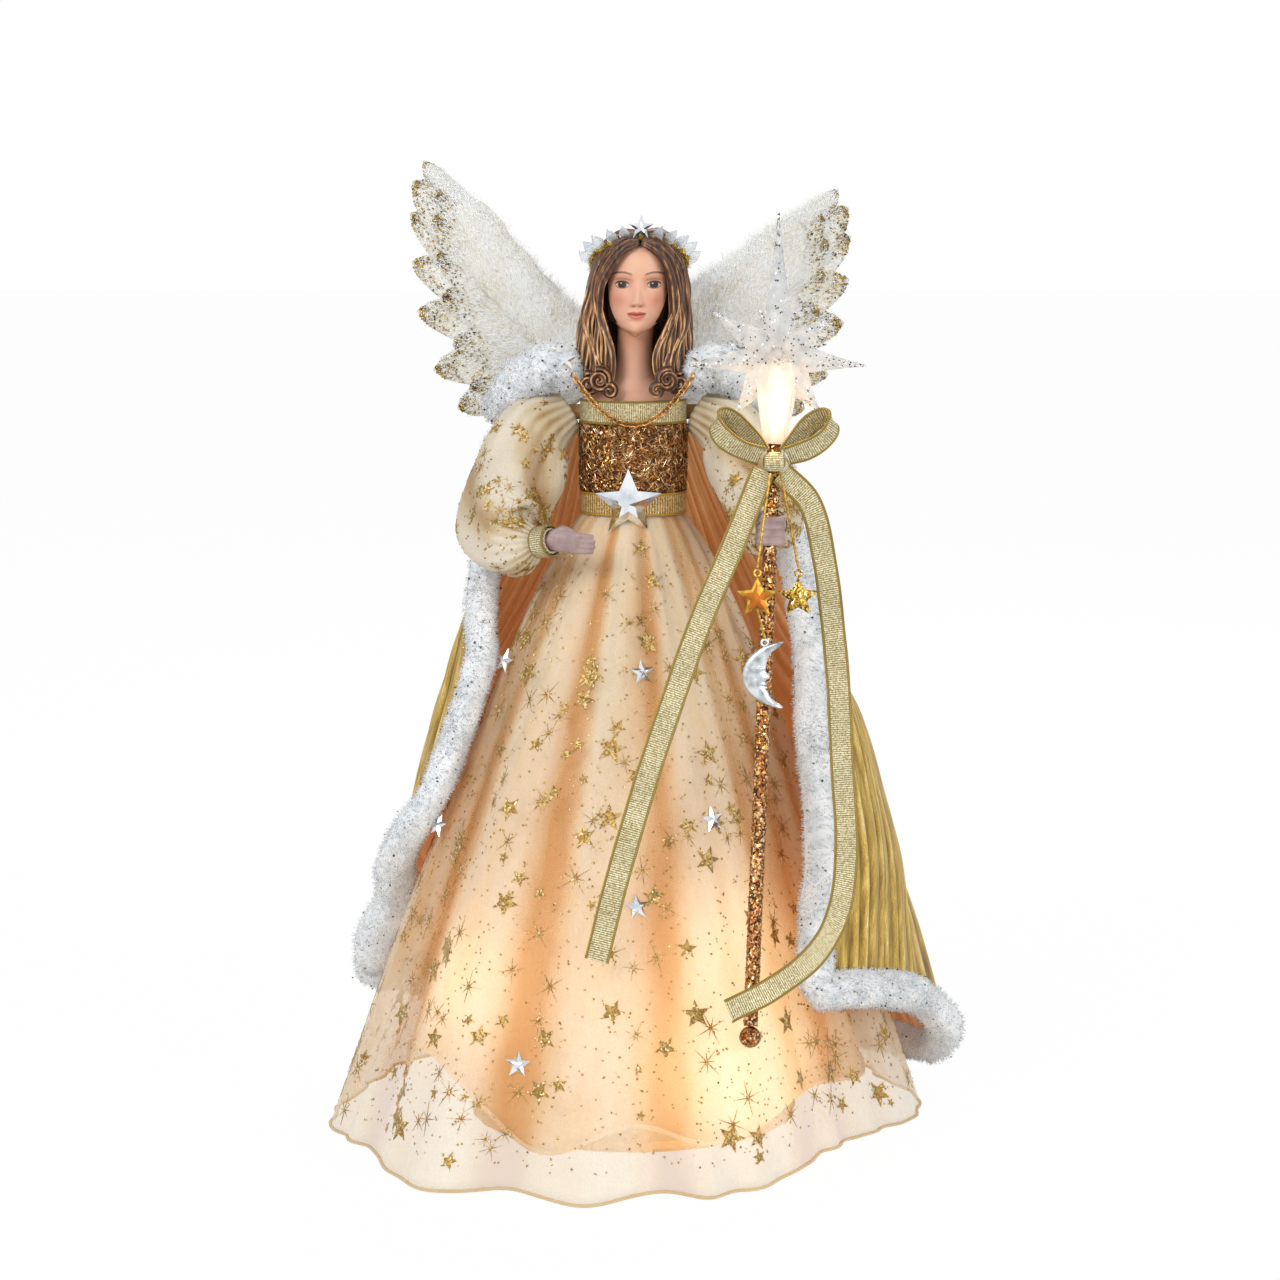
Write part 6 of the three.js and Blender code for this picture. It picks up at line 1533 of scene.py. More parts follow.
def add_curls(parts):
    s = np.linspace(0, 1, curl_steps)
    share, around_it = np.meshgrid(s, circle(curl_sides), indexing="ij")
    for side in (-1, 1):
        for x, y, z, size, turns in hair_curls:
            angle = TURN * (0.2 + turns * s)
            reach = size * (1 - s) ** 0.8 + 0.3
            run = [head_x + side * (x + reach * np.cos(angle)), y - 2.2 * s, z + reach * np.sin(angle)]
            tube = tube_points(
                np.stack(run, axis=-1), 1.6 * (1 - 0.45 * s), curl_sides, (0, 1, 0),
                shape=lambda a, q: 1 + 0.12 * np.cos(4 * a + 5 * q),
            )
            # Dark in the grooves of each curl and pale on its ridges: painted shade and highlight
            parts.tube(tube, ridge=0.45 + 0.4 * np.cos(4 * around_it + 5 * share))


def build_hair(m):
    parts = Parts()
    add_hair_cap(parts)
    add_locks(parts)
    add_curls(parts)
    parts.lean().make("moulded_hair", m["hair"], slot="painted_head")


wreath_middle, wreath_rise, wreath_steps, tinsel_count = 364.6, 9.6, 220, 2600
leaf_turns = [-0.2, -0.155, -0.1, -0.055, 0.06, 0.105, 0.15, 0.2, -0.27, 0.27]
leaf_length, leaf_half_width = 7.6, 2.3


def wreath_point(turns, off_hair):
    """A place just outside the hair, high in front and low behind."""
    z = wreath_middle + wreath_rise * np.cos(TURN * turns)
    return polar(turns, hair_cap_radius(turns, z - 2.1) + off_hair, z, head_x, 0.5)


def build_wreath(m):
    t = np.arange(wreath_steps) / wreath_steps
    run = wreath_point(t, 2.6)
    run += np.stack([np.sin(TURN * 31 * t), np.cos(TURN * 37 * t), np.sin(TURN * 43 * t)], axis=-1) * 0.25
    parts = Parts().hoop(tube_points(run, 0.9, 6))
    place = rng.random(tinsel_count) * wreath_steps
    roots = run[place.astype(int) % wreath_steps]
    directions = unit(rng.normal(size=(tinsel_count, 3)))
    lengths, widths = rng.uniform(2.0, 3.6, tinsel_count), rng.uniform(0.24, 0.38, tinsel_count)
    spikes(parts, roots, directions, lengths, widths)
    parts.lean().make(
        "tinsel_wreath", m["tinsel"], slot="gold_metal", replaces=["crown_wreath"], smooth_faces=False
    )


def build_leaves(m):
    leaves = Parts()
    s = np.linspace(0, 1, 9)
    half = leaf_half_width * np.sin(math.pi * s ** 0.8) + 0.12
    for turn in leaf_turns:
        root = wreath_point(np.array(turn), 2.4)
        out = unit([math.sin(TURN * turn) * 1.1, -math.cos(TURN * turn) * 0.8, 0.85])
        wide = unit(np.cross(out, [0.2, 1, 0.1]))
        face = np.cross(out, wide)
        rows = []
        for share, w in zip(s, half):
            centre = root + out * (leaf_length * share) + face * (-0.9 * share ** 2)
            rows.append([
                centre + wide * w * math.cos(q) + face * (0.32 * math.sin(q) + 0.35 * abs(math.cos(q)))
                for q in circle(10)
            ])
        leaves.tube(np.array(rows), glow=0.0)
    leaves.lean().make("wreath_leaves", m["leaf"], slot="silver")


def build_crown(m):
    build_wreath(m)
    build_leaves(m)
    low, high = box_mm("crown_star")
    centre = np.array([(low[0] + high[0]) / 2, high[1] + 0.6, (low[2] + high[2]) / 2 + 3.4])
    points, faces = faceted_star(5.6, 2.6, 0.42, centre)
    silver_star(m, "crown_star_moulding", "crown_star", lean_above(points), faces)


# Fur: a soft core with short pile over it and glitter caught in the pile
fur_finish = ("fur", "flake_silver", "flake_dark", "flake_gold")
core_sides, core_share = 28, 0.86


def add_fur(parts, run, radii, count, glitter_count, pile=2.4, side=(0, 0, 1)):
    run = np.asarray(run, float)
    radii = np.asarray(radii, float)
    n = len(run)
    lump = rng.uniform(0, TURN, 3)

    def lumps(angle, s):
        waves = 0.045 * np.sin(3 * angle + 19 * s + lump[0]), 0.035 * np.sin(5 * angle - 31 * s + lump[1])
        return 1 + waves[0] + waves[1] + 0.03 * np.sin(61 * s + lump[2])

    to_end = np.minimum(np.arange(n), np.arange(n)[::-1])
    ends = np.minimum(1, np.sqrt(np.clip(to_end / 3.0 + 0.08, 0, 1)))
    parts.tube(tube_points(run, radii * core_share * ends, core_sides, side, shape=lumps))
    i = rng.integers(0, n, count)
    angle = rng.uniform(0, TURN, count)
    ahead, across, beside = (np.array(rows)[i] for rows in zip(*frames_along(run, side)))
    out = across * np.cos(angle)[:, None] + beside * np.sin(angle)[:, None]
    scale = np.array([lumps(a, k / (n - 1)) for a, k in zip(angle, i)])
    scale = scale * radii[i] * (core_share - 0.02) * ends[i]
    step = np.linalg.norm(np.diff(run, axis=0), axis=1).mean()
    roots = run[i] + out * scale[:, None] + ahead * rng.uniform(-0.5, 0.5, count)[:, None] * step
    directions = unit(unit(out) + rng.normal(size=(count, 3)) * 0.42 + [0, 0, -0.12])
    spikes(parts, roots, directions, pile * rng.uniform(0.6, 1.1, count), rng.uniform(0.34, 0.6, count))
    pick = rng.integers(0, count, glitter_count)
    places = roots[pick] + directions[pick] * pile * rng.uniform(0.45, 1.0, glitter_count)[:, None]
    normals = unit(out[pick]) + rng.normal(size=(glitter_count, 3)) * 0.5
    tenth = glitter_count // 10
    # Half the flakes are dark: painted reflection of dark surroundings in silver glitter
    for order, share in slices((4 * tenth, 9 * tenth, glitter_count)):
        size = rng.uniform(0.8, 1.5, len(places[share]))
        flakes(parts, places[share], normals[share], size, size * 0.85, 0.16, order + 1)


def fur_piece(m, name, node, run, radii, count, glitter_count, **pile):
    parts = Parts()
    add_fur(parts, run, radii, count, glitter_count, **pile)
    parts.make(name, [m[key] for key in fur_finish], slot="white_fur", replaces=[node])


cape_top = 292.0
cape_width, cape_length, cape_flare = 380.0, 300.0, 12.0
cape_columns, cape_rows = 560, 80
cape_fold_count, cape_back_radius, cape_clearance = 11, 23.5, 4.1
# Down each front edge: share of the way, turn, share of the hem's radius, share of the cape's top height
cape_right_shares = [
    (0, -0.3, 0.425, 1), (0.14, -0.302, 0.455, 0.89), (0.26, -0.27, 0.457, 0.79), (0.4, -0.215, 0.465, 0.69),
    (0.52, -0.194, 0.505, 0.6), (0.66, -0.19, 0.56, 0.51), (0.78, -0.227, 0.61, 0.4),
    (0.88, -0.275, 0.73, 0.31), (1, -0.31, 0.9, 0.17),
]
cape_left_shares = [
    (0, 0.3, 0.445, 1), (0.14, 0.288, 0.475, 0.89), (0.26, 0.268, 0.5, 0.79), (0.4, 0.232, 0.535, 0.69),
    (0.52, 0.188, 0.575, 0.6), (0.66, 0.172, 0.62, 0.52), (0.78, 0.146, 0.7, 0.4), (0.9, 0.13, 0.735, 0.32),
    (1, 0.112, 0.8, 0.245),
]
# Along the hem: share of the way round the back, share of the hem's radius, share of the top's height
cape_hem_shares = [
    (0, 0.9, 0.17), (0.07, 0.93, 0.1), (0.16, 0.93, 0.036), (0.31, 0.935, 0.032), (0.5, 0.93, 0.032),
    (0.686, 0.99, 0.042), (0.733, 0.995, 0.09), (0.77, 0.91, 0.15), (0.87, 0.815, 0.2), (1, 0.8, 0.245),
]
# Down the cape: how far it has spread from its top to its hem at the left, behind and at the right
cape_spread_shares = [
    (0, 0, 0, 0), (0.15, 0.2, 0.2, 0.2), (0.3, 0.36, 0.4, 0.44), (0.42, 0.47, 0.54, 0.6),
    (0.55, 0.57, 0.65, 0.79), (0.66, 0.66, 0.74, 0.88), (0.84, 0.82, 0.88, 0.96), (1, 1, 1, 1),
]
border_radius, right_foot_radius, left_foot_radius = 7.2, 12.5, 8.6


def edge_place(shares, down):
    return along(shares, 1, down), along(shares, 2, down) * hem_radius, along(shares, 3, down) * cape_top


def cape_point(span, down, inside=0.0, crinkle=0.0):
    """A place on the cape, held clear of the overskirt. span runs from the viewer's left round the back."""
    span, down, inside = np.broadcast_arrays(*(np.asarray(value, float) for value in (span, down, inside)))
    right, left = edge_place(cape_right_shares, down), edge_place(cape_left_shares, down)
    turns = mix(right[0], left[0] - 1, span)
    at_front = mix(cape_right_shares[0][2] * hem_radius, cape_left_shares[0][2] * hem_radius, span)
    top = mix(at_front, cape_back_radius, np.sin(math.pi * span) ** 0.8)
    hem, hem_z = along(cape_hem_shares, 1, span) * hem_radius, along(cape_hem_shares, 2, span) * cape_top
    at_left, behind, at_right = (along(cape_spread_shares, k, down) for k in (1, 2, 3))
    spread = mix(np.where(span < 0.5, at_left, at_right), behind, np.sin(math.pi * span) ** 2)
    hang = np.sin(math.pi * np.minimum(1, down * 0.9))
    folds = 2.6 * np.sin(math.pi * span) * hang * np.cos(TURN * cape_fold_count * span)
    near_right, near_left = (1 - span) ** 7, span ** 7

    def drawn(free, at_right_edge, at_left_edge):
        """The free cloth's value, led to those of its two front edges."""
        return mix(mix(free, at_right_edge, near_right), at_left_edge, near_left)

    sides = hump(span, 0.17, 0.1) + hump(span, 0.83, 0.1)
    flare = cape_flare * np.sin(math.pi * down) * sides * (1 - near_right - near_left)
    radius = drawn(mix(top, hem, spread), right[1], left[1]) + folds + flare
    z = drawn(mix(cape_top, hem_z, down), right[2], left[2])
    drop = np.clip(1 - z / waist_height, 0, 1)
    clear = np.where(z < waist_height, overskirt_radius(turns, drop) + cape_clearance + inside, radius)
    return polar(turns, np.maximum(radius, clear) + crinkle, z)


def build_cloth(m):
    span, down = np.meshgrid(np.linspace(0.004, 0.996, cape_columns), np.linspace(0, 1, cape_rows))
    lines = np.sin(TURN * (47 * span + 0.6 * np.sin(5 * down + 9 * span)))
    second = np.sin(TURN * (67 * span + 0.8 * np.sin(7 * down + 15 * span)))
    crinkle = (0.5 * lines + 0.32 * second) * np.minimum(1, down * 5 + 0.2)
    points = cape_point(span, down, 2.0, crinkle)
    # The inside face glows a little all over and more near the lamps: painted lamplight
    parts = Parts().grid(
        points, fold=0.5 + 0.3 * lines + 0.2 * second, glow=0.25 + lamp_glow(points),
        along=span * cape_width, across=down * cape_length,
    )
    finish = [m["lame"], m["cape_lining"]]
    cape = parts.make("lame_cape", finish, slot="gold_cloth", replaces=["cape"], thick=0.5)
    # The side towards the figure has a warmer face, whose colour and glow are painted lamplight from inside
    cape.modifiers["thickness"].material_offset = 1
    return cape


def build_cape(m):
    cape = build_cloth(m)
    s = np.linspace(0, 1, 90)
    radii = mix(border_radius, right_foot_radius, np.maximum(0, s - 0.7) / 0.3)
    fur_piece(m, "fur_edge_right", "fur_border_right", cape_point(0.0, s, radii), radii, 9500, 420)
    radii = mix(border_radius, left_foot_radius, s)
    fur_piece(m, "fur_edge_left", "fur_border_left", cape_point(1.0, s, radii), radii, 8500, 420)
    s = np.linspace(0, 1, 200)
    radii = mix(right_foot_radius, left_foot_radius, np.minimum(1, s * 6))
    fur_piece(m, "fur_foot", "fur_hem", cape_point(s, 1.0, radii), radii, 16000, 900)
    return cape


collar_reach, collar_radius = 44.0, 11.2
collar_shares = [
    (-0.08, -0.2, 0.26), (0.1, -0.2, 0.45), (0.33, -0.12, 0.39), (0.56, 0.04, 0.16), (0.75, 0.2, -0.075),
]


def build_collars(m):
    for name, side in (("right", -1), ("left", 1)):
        run = smooth(places_from(shoulder(side), collar_reach, side, collar_shares), 40)
        radii = collar_radius * along(even([0.55, 0.95, 1, 0.84, 0.5]), 1, np.linspace(0, 1, 41))
        fur = {"pile": 2.6, "side": (0, 1, 0)}
        fur_piece(m, f"fur_puff_{name}", f"fur_collar_{name}", run, radii, 5200, 330, **fur)
        node = f"shoulder_star_{name}"
        low, high = box_mm(node)
        centre = np.array([(low[0] + high[0]) / 2, high[1], (low[2] + high[2]) / 2])
        silver_star(m, f"clasp_star_{name}", node, *faceted_star(5.4, high[1] - low[1], 0.42, centre))


chain_half_width, chain_forward, chain_height, chain_sag = 25, -20.6, 318.5, 21
chain_links, link_half_width, link_wire, link_tilt = 34, 1.2, 0.34, 0.7


def build_chain(m):
    s = np.linspace(-1, 1, 400)
    height = chain_height - chain_sag * (1 - s * s)
    curve = np.stack([axis_x + chain_half_width * s, np.full(400, chain_forward), height], axis=-1)
    length = run_length(curve)
    pitch = length[-1] / chain_links

    def at(share):
        return np.array([np.interp(share * pitch, length, curve[:, j]) for j in range(3)])

    parts = Parts()
    angle = circle(20)
    for k in range(chain_links):
        centre = at(k + 0.5)
        ahead = unit(at(k + 0.6) - centre)
        # Links lean to either side by turns
        tilt = link_tilt if k % 2 else -link_tilt
        flat = unit(np.cross(ahead, [0, 1, 0])) * math.cos(tilt) + np.array([0, 1, 0]) * math.sin(tilt)
        flat = unit(flat - ahead * flat.dot(ahead))
        upright = np.cross(ahead, flat)
        reach = pitch * 0.5 + 0.42
        loop = centre + np.outer(np.cos(angle) * reach, ahead)
        loop = loop + np.outer(np.sin(angle) * link_half_width, flat)
        wire = []
        for q, place in zip(angle, loop):
            out = ahead * math.cos(q) + flat * math.sin(q)
            wire.append([
                place + out * link_wire * math.cos(w) + upright * link_wire * math.sin(w) for w in circle(8)
            ])
        parts.hoop(np.array(wire))
    parts.make("clasp_chain", m["gold_metal"], body="neck_chain", slot="gold_metal", replaces=["neck_chain"])


# Wings: overlapping feathers, down along the leading edge, glitter towards the tips
wing_root_height, wing_root_out, wing_root_behind, wing_sweep = 296.0, 8.0, 30, 16
feather_steps, feather_columns, feather_thickness, feather_round = 16, 7, 0.35, 0.35
# The wing's outline from its tip down to its foot, as shares of its reach and height
wing_outline = [
    (0.93, 0.985, 0), (0.985, 0.9, 0), (0.995, 0.78, 0), (0.99, 0.6, 0), (0.97, 0.42, 0), (0.9, 0.2, 0),
    (0.78, 0.03, 0), (0.6, 0.0, 0),
]
outline_steps = 60
wing_tip_shares = (0, 0.14, 0.285, 0.44, 0.59, 0.73, 0.86, 0.98)
# Layers of flight feathers: share of the way to the outline, distance forwards, half width, cup
wing_layers = [(1.0, 0.0, 11.8, 1.2), (0.8, 1.4, 11.2, 1.3), (0.6, 2.6, 10.2, 1.4)]
# The leading edge of each wing, from the shoulder out to the tip
wing_lead_shares = {
    "right": [
        (0.08, 0.3), (0.2, 0.38), (0.36, 0.5), (0.52, 0.65), (0.68, 0.785), (0.82, 0.885), (0.9, 0.945),
    ],
    "left": [
        (0.08, 0.4), (0.2, 0.52), (0.36, 0.615), (0.52, 0.725), (0.68, 0.825), (0.82, 0.9), (0.9, 0.945),
    ],
}
wing_covert_shares = (0.74, 0.6, 0.46, 0.32, 0.2)
back_feathers = 8
# Flakes of silver, gold and dark film on each flight feather
feather_flakes = (36, 118, 34)


def wing_maths(side, reach, tip_height):
    """Turns shares of a wing's reach and height, and a distance forwards, into a place."""
    def place(x_share, z_share, forward=0.0):
        x_share, z_share = np.broadcast_arrays(np.asarray(x_share, float), np.asarray(z_share, float))
        x = axis_x + side * mix(wing_root_out, reach, x_share)
        y = wing_root_behind + wing_sweep * np.minimum(1, np.abs(x - axis_x) / reach) ** 1.5
        z = wing_root_height + (tip_height - wing_root_height) * z_share
        return np.stack([x, y - forward, z], axis=-1)

    return place


def add_feather(parts, root, tip, half_width, bow, cup, front=(0, -1, 0)):
    """One feather: a cupped vane, rounded at its tip, with a quill down the middle. Gives its face."""
    root, tip = np.asarray(root, float), np.asarray(tip, float)
    s = np.linspace(0, 1, feather_steps)
    ahead = tip - root
    across = unit(np.cross(ahead, front))
    face = unit(np.cross(across, ahead))
    centre = root + s[:, None] * ahead + across * (bow * np.sin(math.pi * s))[:, None]
    half = half_width * np.minimum(1, 0.45 + s * 1.6) * np.sqrt(np.clip((1 - s) / feather_round, 0.004, 1))
    places = np.linspace(-1, 1, feather_columns)
    rise = cup * (1 - places[None, :] ** 2) + 0.5 * feather_thickness
    top = centre[:, None, :] + across * (half[:, None] * places)[..., None] + face * rise[..., None]
    ring = np.concatenate([top, (top - face * feather_thickness)[:, ::-1]], axis=1)
    lay = (np.linalg.norm(ahead) * s)[:, None] + 3 * np.abs(places)
    parts.tube(ring, along=np.concatenate([lay, lay[:, ::-1]], axis=1))
    quill = centre + face * (cup + feather_thickness * 0.5)
    parts.tube(tube_points(quill[:-1], np.linspace(0.42, 0.14, feather_steps - 1), 6), along=0.0)
    return top, face


def add_flight_feathers(parts, place, side, edge):
    """Three layers, each shorter and further forward, with the middle one between the others."""
    vanes = []
    for layer, (share, forward, wide, cup) in enumerate(wing_layers):
        between = (np.array(wing_tip_shares[1:]) + wing_tip_shares[:-1]) / 2
        for k, q in enumerate(between if layer % 2 else wing_tip_shares):
            tip = edge[int(round(q * outline_steps))][:2]
            start = np.array([mix(0.5, 0.12, q), mix(0.62, 0.12, q)])
            level = forward + 0.25 * (k % 2)
            narrow = 0.6 + 0.4 * min(1, q / wing_tip_shares[1])
            ends = place(*start, level), place(*(start + (tip - start) * share), level - 0.3)
            half_width = wide * narrow * mix(1.0, 0.85, q)
            vanes.append(add_feather(parts, *ends, half_width, side * mix(2.6, -1.5, q), cup))
    return vanes


def add_coverts(parts, place, side, lead):
    """Short feathers that rise to the leading edge."""
    vanes = []
    for k, tip_share in enumerate(wing_covert_shares):
        q = k / (len(wing_covert_shares) - 1)
        tip = (tip_share, float(along(lead, 1, np.array(tip_share))) - 0.01)
        start = (mix(0.36, 0.08, q), mix(0.38, 0.12, q))
        ends = place(*start, 3.6 + 0.3 * q), place(*tip, 3.0)
        vanes.append(add_feather(parts, *ends, 11.5, side * 2.2, 1.2))
    return vanes


def add_back_feathers(parts, place, side, edge):
    for k in range(back_feathers):
        q = k / (back_feathers - 1)
        tip = edge[int(round(mix(3, outline_steps - 3, q)))][:2]
        start = np.array([mix(0.5, 0.14, q), mix(0.6, 0.16, q)])
        ends = place(*start, -1.6), place(*(start + (tip - start) * 0.72), -1.3)
        add_feather(parts, *ends, 8.0, side * 1.5, 0.5, (0, 1, 0))


def build_down(m, name, place, side, lead, vanes):
    """Down along the leading edge, and loose down over the feathers in front."""
    parts = Parts()
    run = smooth(place(lead[:, 0], lead[:, 1], 1.0), 60)
    s = np.linspace(0, 1, 61)
    radii = 4.6 * (0.7 + 0.5 * np.sin(math.pi * s)) * (1 - 0.45 * s)
    parts.tube(tube_points(run, radii * 0.62, 16, (0, 1, 0), 0.6), along=0.0)
    count = 14000
    i = rng.integers(0, 61, count)
    roots = run[i] + rng.normal(size=(count, 3)) * radii[i][:, None] * [0.45, 0.28, 0.45]
    lead_out = unit(np.array([side * -0.15, -0.35, 1.0]))
    directions = unit(lead_out * 0.9 + rng.normal(size=(count, 3)) * [0.6, 0.35, 0.6])
    lengths = rng.uniform(3.0, 6.6, count) * (1 - 0.35 * s[i])
    spikes(parts, roots, directions, lengths, rng.uniform(0.22, 0.4, count), along=0.0)
    count = 1100
    for top, face in vanes:
        row, column = rng.random(count) ** 1.25 * 13.5, rng.uniform(0.3, 5.7, count)
        ahead = unit(top[-1, 3] - top[0, 3])
        directions = unit(ahead + face * 0.3 + rng.normal(size=(count, 3)) * 0.3)
        roots = Surface(top, closed=False).at(row, column)
        lengths, widths = rng.uniform(2.4, 5.2, count), rng.uniform(0.22, 0.4, count)
        spikes(parts, roots, directions, lengths, widths, along=0.0)
    parts.make(f"down_{name}", m["down"], slot="feather", replaces=[f"wing_down_{name}"])


def build_wing_glitter(m, name, vanes):
    parts = Parts()
    for top, face in vanes:
        vane = Surface(top, closed=False)
        for mark, count in enumerate(feather_flakes):
            row = np.clip(14.7 - np.abs(rng.normal(size=count)) * 1.9, 4, 14.7)
            places = vane.at(row, rng.uniform(0.1, 5.9, count)) + face * 0.6
            size = rng.uniform(0.7, 1.35, count)
            normals = face + rng.normal(size=(count, 3)) * 0.45
            flakes(parts, places, normals, size, size * 0.85, 0.2, mark)
    finish = [m["flake_silver"], m["flake_gold"], m["flake_dark"]]
    parts.make(f"wing_glitter_{name}", finish, slot="feather")


def build_wing(m, name, side, reach, tip_height):
    place = wing_maths(side, reach, tip_height)
    edge = smooth(wing_outline, outline_steps)
    lead = np.array(wing_lead_shares[name])
    parts = Parts()
    vanes = add_flight_feathers(parts, place, side, edge)
    vanes += add_coverts(parts, place, side, lead)
    add_back_feathers(parts, place, side, edge)
    parts.make(f"feathers_{name}", m["feather"], slot="feather", replaces=[f"wing_{name}"])
    build_down(m, name, place, side, lead, vanes)
    build_wing_glitter(m, name, vanes[:2 * len(wing_tip_shares) - 1])


# Staff, starburst, bow and charms
rod_radius, rod_glitter_radius, ball_radius = 2.86, 2.9, 4.3
rod_start, rod_stop_short = 4.6, 28.5
# Flakes of copper, gold and dark film on the rod: the last of each
rod_flake_ends = (1300, 2400, 3000)
ball_flakes = 260


def build_staff(m):
    foot, head, line = staff_ends()
    start, end = foot + line * rod_start, head - line * rod_stop_short
    run = start + np.linspace(0, 1, 120)[:, None] * (end - start)
    rod = Parts().tube(tube_points(run, rod_radius, 24))
    rod.make("staff_tube", m["staff"], slot="gold_tinsel", replaces=["staff_rod"])
    n = rod_flake_ends[-1]
    i = rng.random(n)
    angle = rng.uniform(0, TURN, n)
    _, across, beside = frames_along([start, end])[0]
    out = np.cos(angle)[:, None] * across + np.sin(angle)[:, None] * beside
    places = start + i[:, None] * (end - start) + out * rod_glitter_radius
    specks = Parts()
    for mark, share in slices(rod_flake_ends):
        k = len(places[share])
        normals = out[share] + rng.normal(size=(k, 3)) * 0.4
        flakes(specks, places[share], normals, rng.uniform(0.7, 1.2, k), 0.7, 0.2, mark)
    rings = []
    for q in np.linspace(0, math.pi, 17):
        level = 4.4 * math.cos(q)
        short_run = np.array([foot - line * level, foot - line * (level - 0.01)])
        rings.append(tube_points(short_run, max(0.02, ball_radius * math.sin(q)), 24)[0])
    ball = Parts().tube(np.array(rings))
    ball.make("staff_end", m["staff"], slot="gold_tinsel", replaces=["staff_ball"])
    normals = unit(rng.normal(size=(ball_flakes, 3)))
    flakes(specks, foot + normals * ball_radius, normals, 0.95, 0.8, 0.2, 0)
    finish = [m["fibre_copper"], m["flake_gold"], m["fibre_dark"]]
    specks.make("staff_glitter", finish, slot="gold_tinsel", smooth_faces=False)


# Direction, length, share of the full width
burst_spikes = [
    ((0, 0, 1), 57.5, 1.1), ((1, 0, -0.1), 36, 1.15), ((-1, 0, -0.1), 36, 1.15), ((-0.82, 0, 0.57), 33, 1.2),
    ((0.82, 0, 0.62), 28, 1.2), ((0.62, 0, -0.82), 28.5, 1.55), ((-0.62, 0, -0.82), 28.5, 1.55),
    ((0.36, 0, 0.93), 20, 0.7), ((-0.36, 0, 0.93), 20, 0.7), ((0.95, 0, 0.25), 20, 0.6),
    ((-0.95, 0, 0.25), 20, 0.6), ((0, 1, 0), 16, 1), ((0, -1, 0), 16, 1.1),
]
# Of one spike: share of its length, share of its width
spike_profile = [
    (0.02, 0.3), (0.08, 0.75), (0.16, 1), (0.3, 0.92), (0.48, 0.66), (0.7, 0.36), (0.88, 0.16), (1, 0.04),
]
spike_half_width, spike_flatness = 5.4, 0.8
# Of the socket: height over its foot, outer radius
socket_profile = [(0.1, 4.15), (1.2, 4.7), (9, 6.0), (17.75, 7.4), (26, 8.2), (33.0, 6.6)]
socket_foot, socket_bore, socket_sides = 35.5, 3.32, 36
burst_lamp_down = 14


def add_burst_spike(parts, specks, centre, line, direction, length, share):
    ahead = unit(direction)
    at, width = np.array(spike_profile).T
    run = np.array([centre + ahead * length * place for place in at])
    side = (0, 0, 1) if abs(ahead[1]) > 0.5 else (0, 1, 0)
    rings = tube_points(run, width * spike_half_width * share, 4, side, spike_flatness)
    glow = np.exp(-np.linalg.norm(rings - (centre - line * burst_lamp_down), axis=-1) / 17)
    parts.tube(rings, glow=glow)
    n = int(length * 3.2)
    i = rng.random(n) ** 0.8
    wide = np.interp(i, at, width) * spike_half_width * share
    angle = rng.uniform(0, TURN, n)
    _, across, beside = frames_along([centre, centre + ahead], side)[0]
    # Where a ray from the middle meets the four flat sides
    flat = 1 / (np.abs(np.cos(angle)) / spike_flatness + np.abs(np.sin(angle)))
    out = np.cos(angle)[:, None] * across + np.sin(angle)[:, None] * beside
    places = centre + ahead * (length * i)[:, None] + out * (wide * flat + 0.08)[:, None]
    size = rng.uniform(0.75, 1.3, n)
    normals = out + rng.normal(size=(n, 3)) * 0.15
    for share, mark in ((slice(0, n // 2), 1), (slice(n // 2, n), 0)):
        flakes(specks, places[share], normals[share], size[share], size[share] * 0.85, 0.16, mark)


def build_burst(m):
    _, centre, line = staff_ends()
    parts, specks = Parts(), Parts()
    for spike in burst_spikes:
        add_burst_spike(parts, specks, centre, line, *spike)
    # The socket is a ribbed stem that flares to the burst
    heights, radii = zip(*socket_profile)
    run = np.array([centre + line * (height - socket_foot) for height in heights])
    outside = tube_points(run, radii, socket_sides, shape=lambda a, s: 1 + 0.1 * s * np.cos(6 * a))
    inside = tube_points(run, socket_bore, socket_sides)[::-1]
    parts.hoop(np.concatenate([outside, inside]), glow=0.85)
    parts.make("starburst", m["clear"], slot="clear_acrylic", replaces=["star_finial"], smooth_faces=False)
    finish = [m["flake_silver"], m["flake_dark"]]
    specks.make("starburst_glitter", finish, slot="silver", smooth_faces=False)


knot_place = np.array([51.66, -71.77, 287.5])
knot_half_length, knot_half_depth, knot_half_height = 4.5, 2.8, 4.2
loop_width, loop_reach, loop_rise, loop_open = 8.6, 19, 14.5, 6
tail_width, tail_reach = 9.2, 200.0
tail_left_shares = [
    (-0.0218, 0.0024, -0.0175), (-0.0733, -0.03, -0.1425), (-0.143, -0.065, -0.3025),
    (-0.228, -0.115, -0.5375), (-0.301, -0.167, -0.7675), (-0.356, -0.22, -0.9725),
]
tail_right_shares = [
    (0.0145, 0.0031, -0.0228), (0.0717, 0.0153, -0.0825), (0.1042, 0.0353, -0.2075),
    (0.1292, 0.0453, -0.3975), (0.1417, 0.0153, -0.6025), (0.1492, -0.0347, -0.8025),
    (0.1317, -0.0947, -0.9025), (0.0817, -0.1647, -0.9725), (-0.0083, -0.2247, -1.03),
    (-0.0933, -0.2497, -1.0675),
]


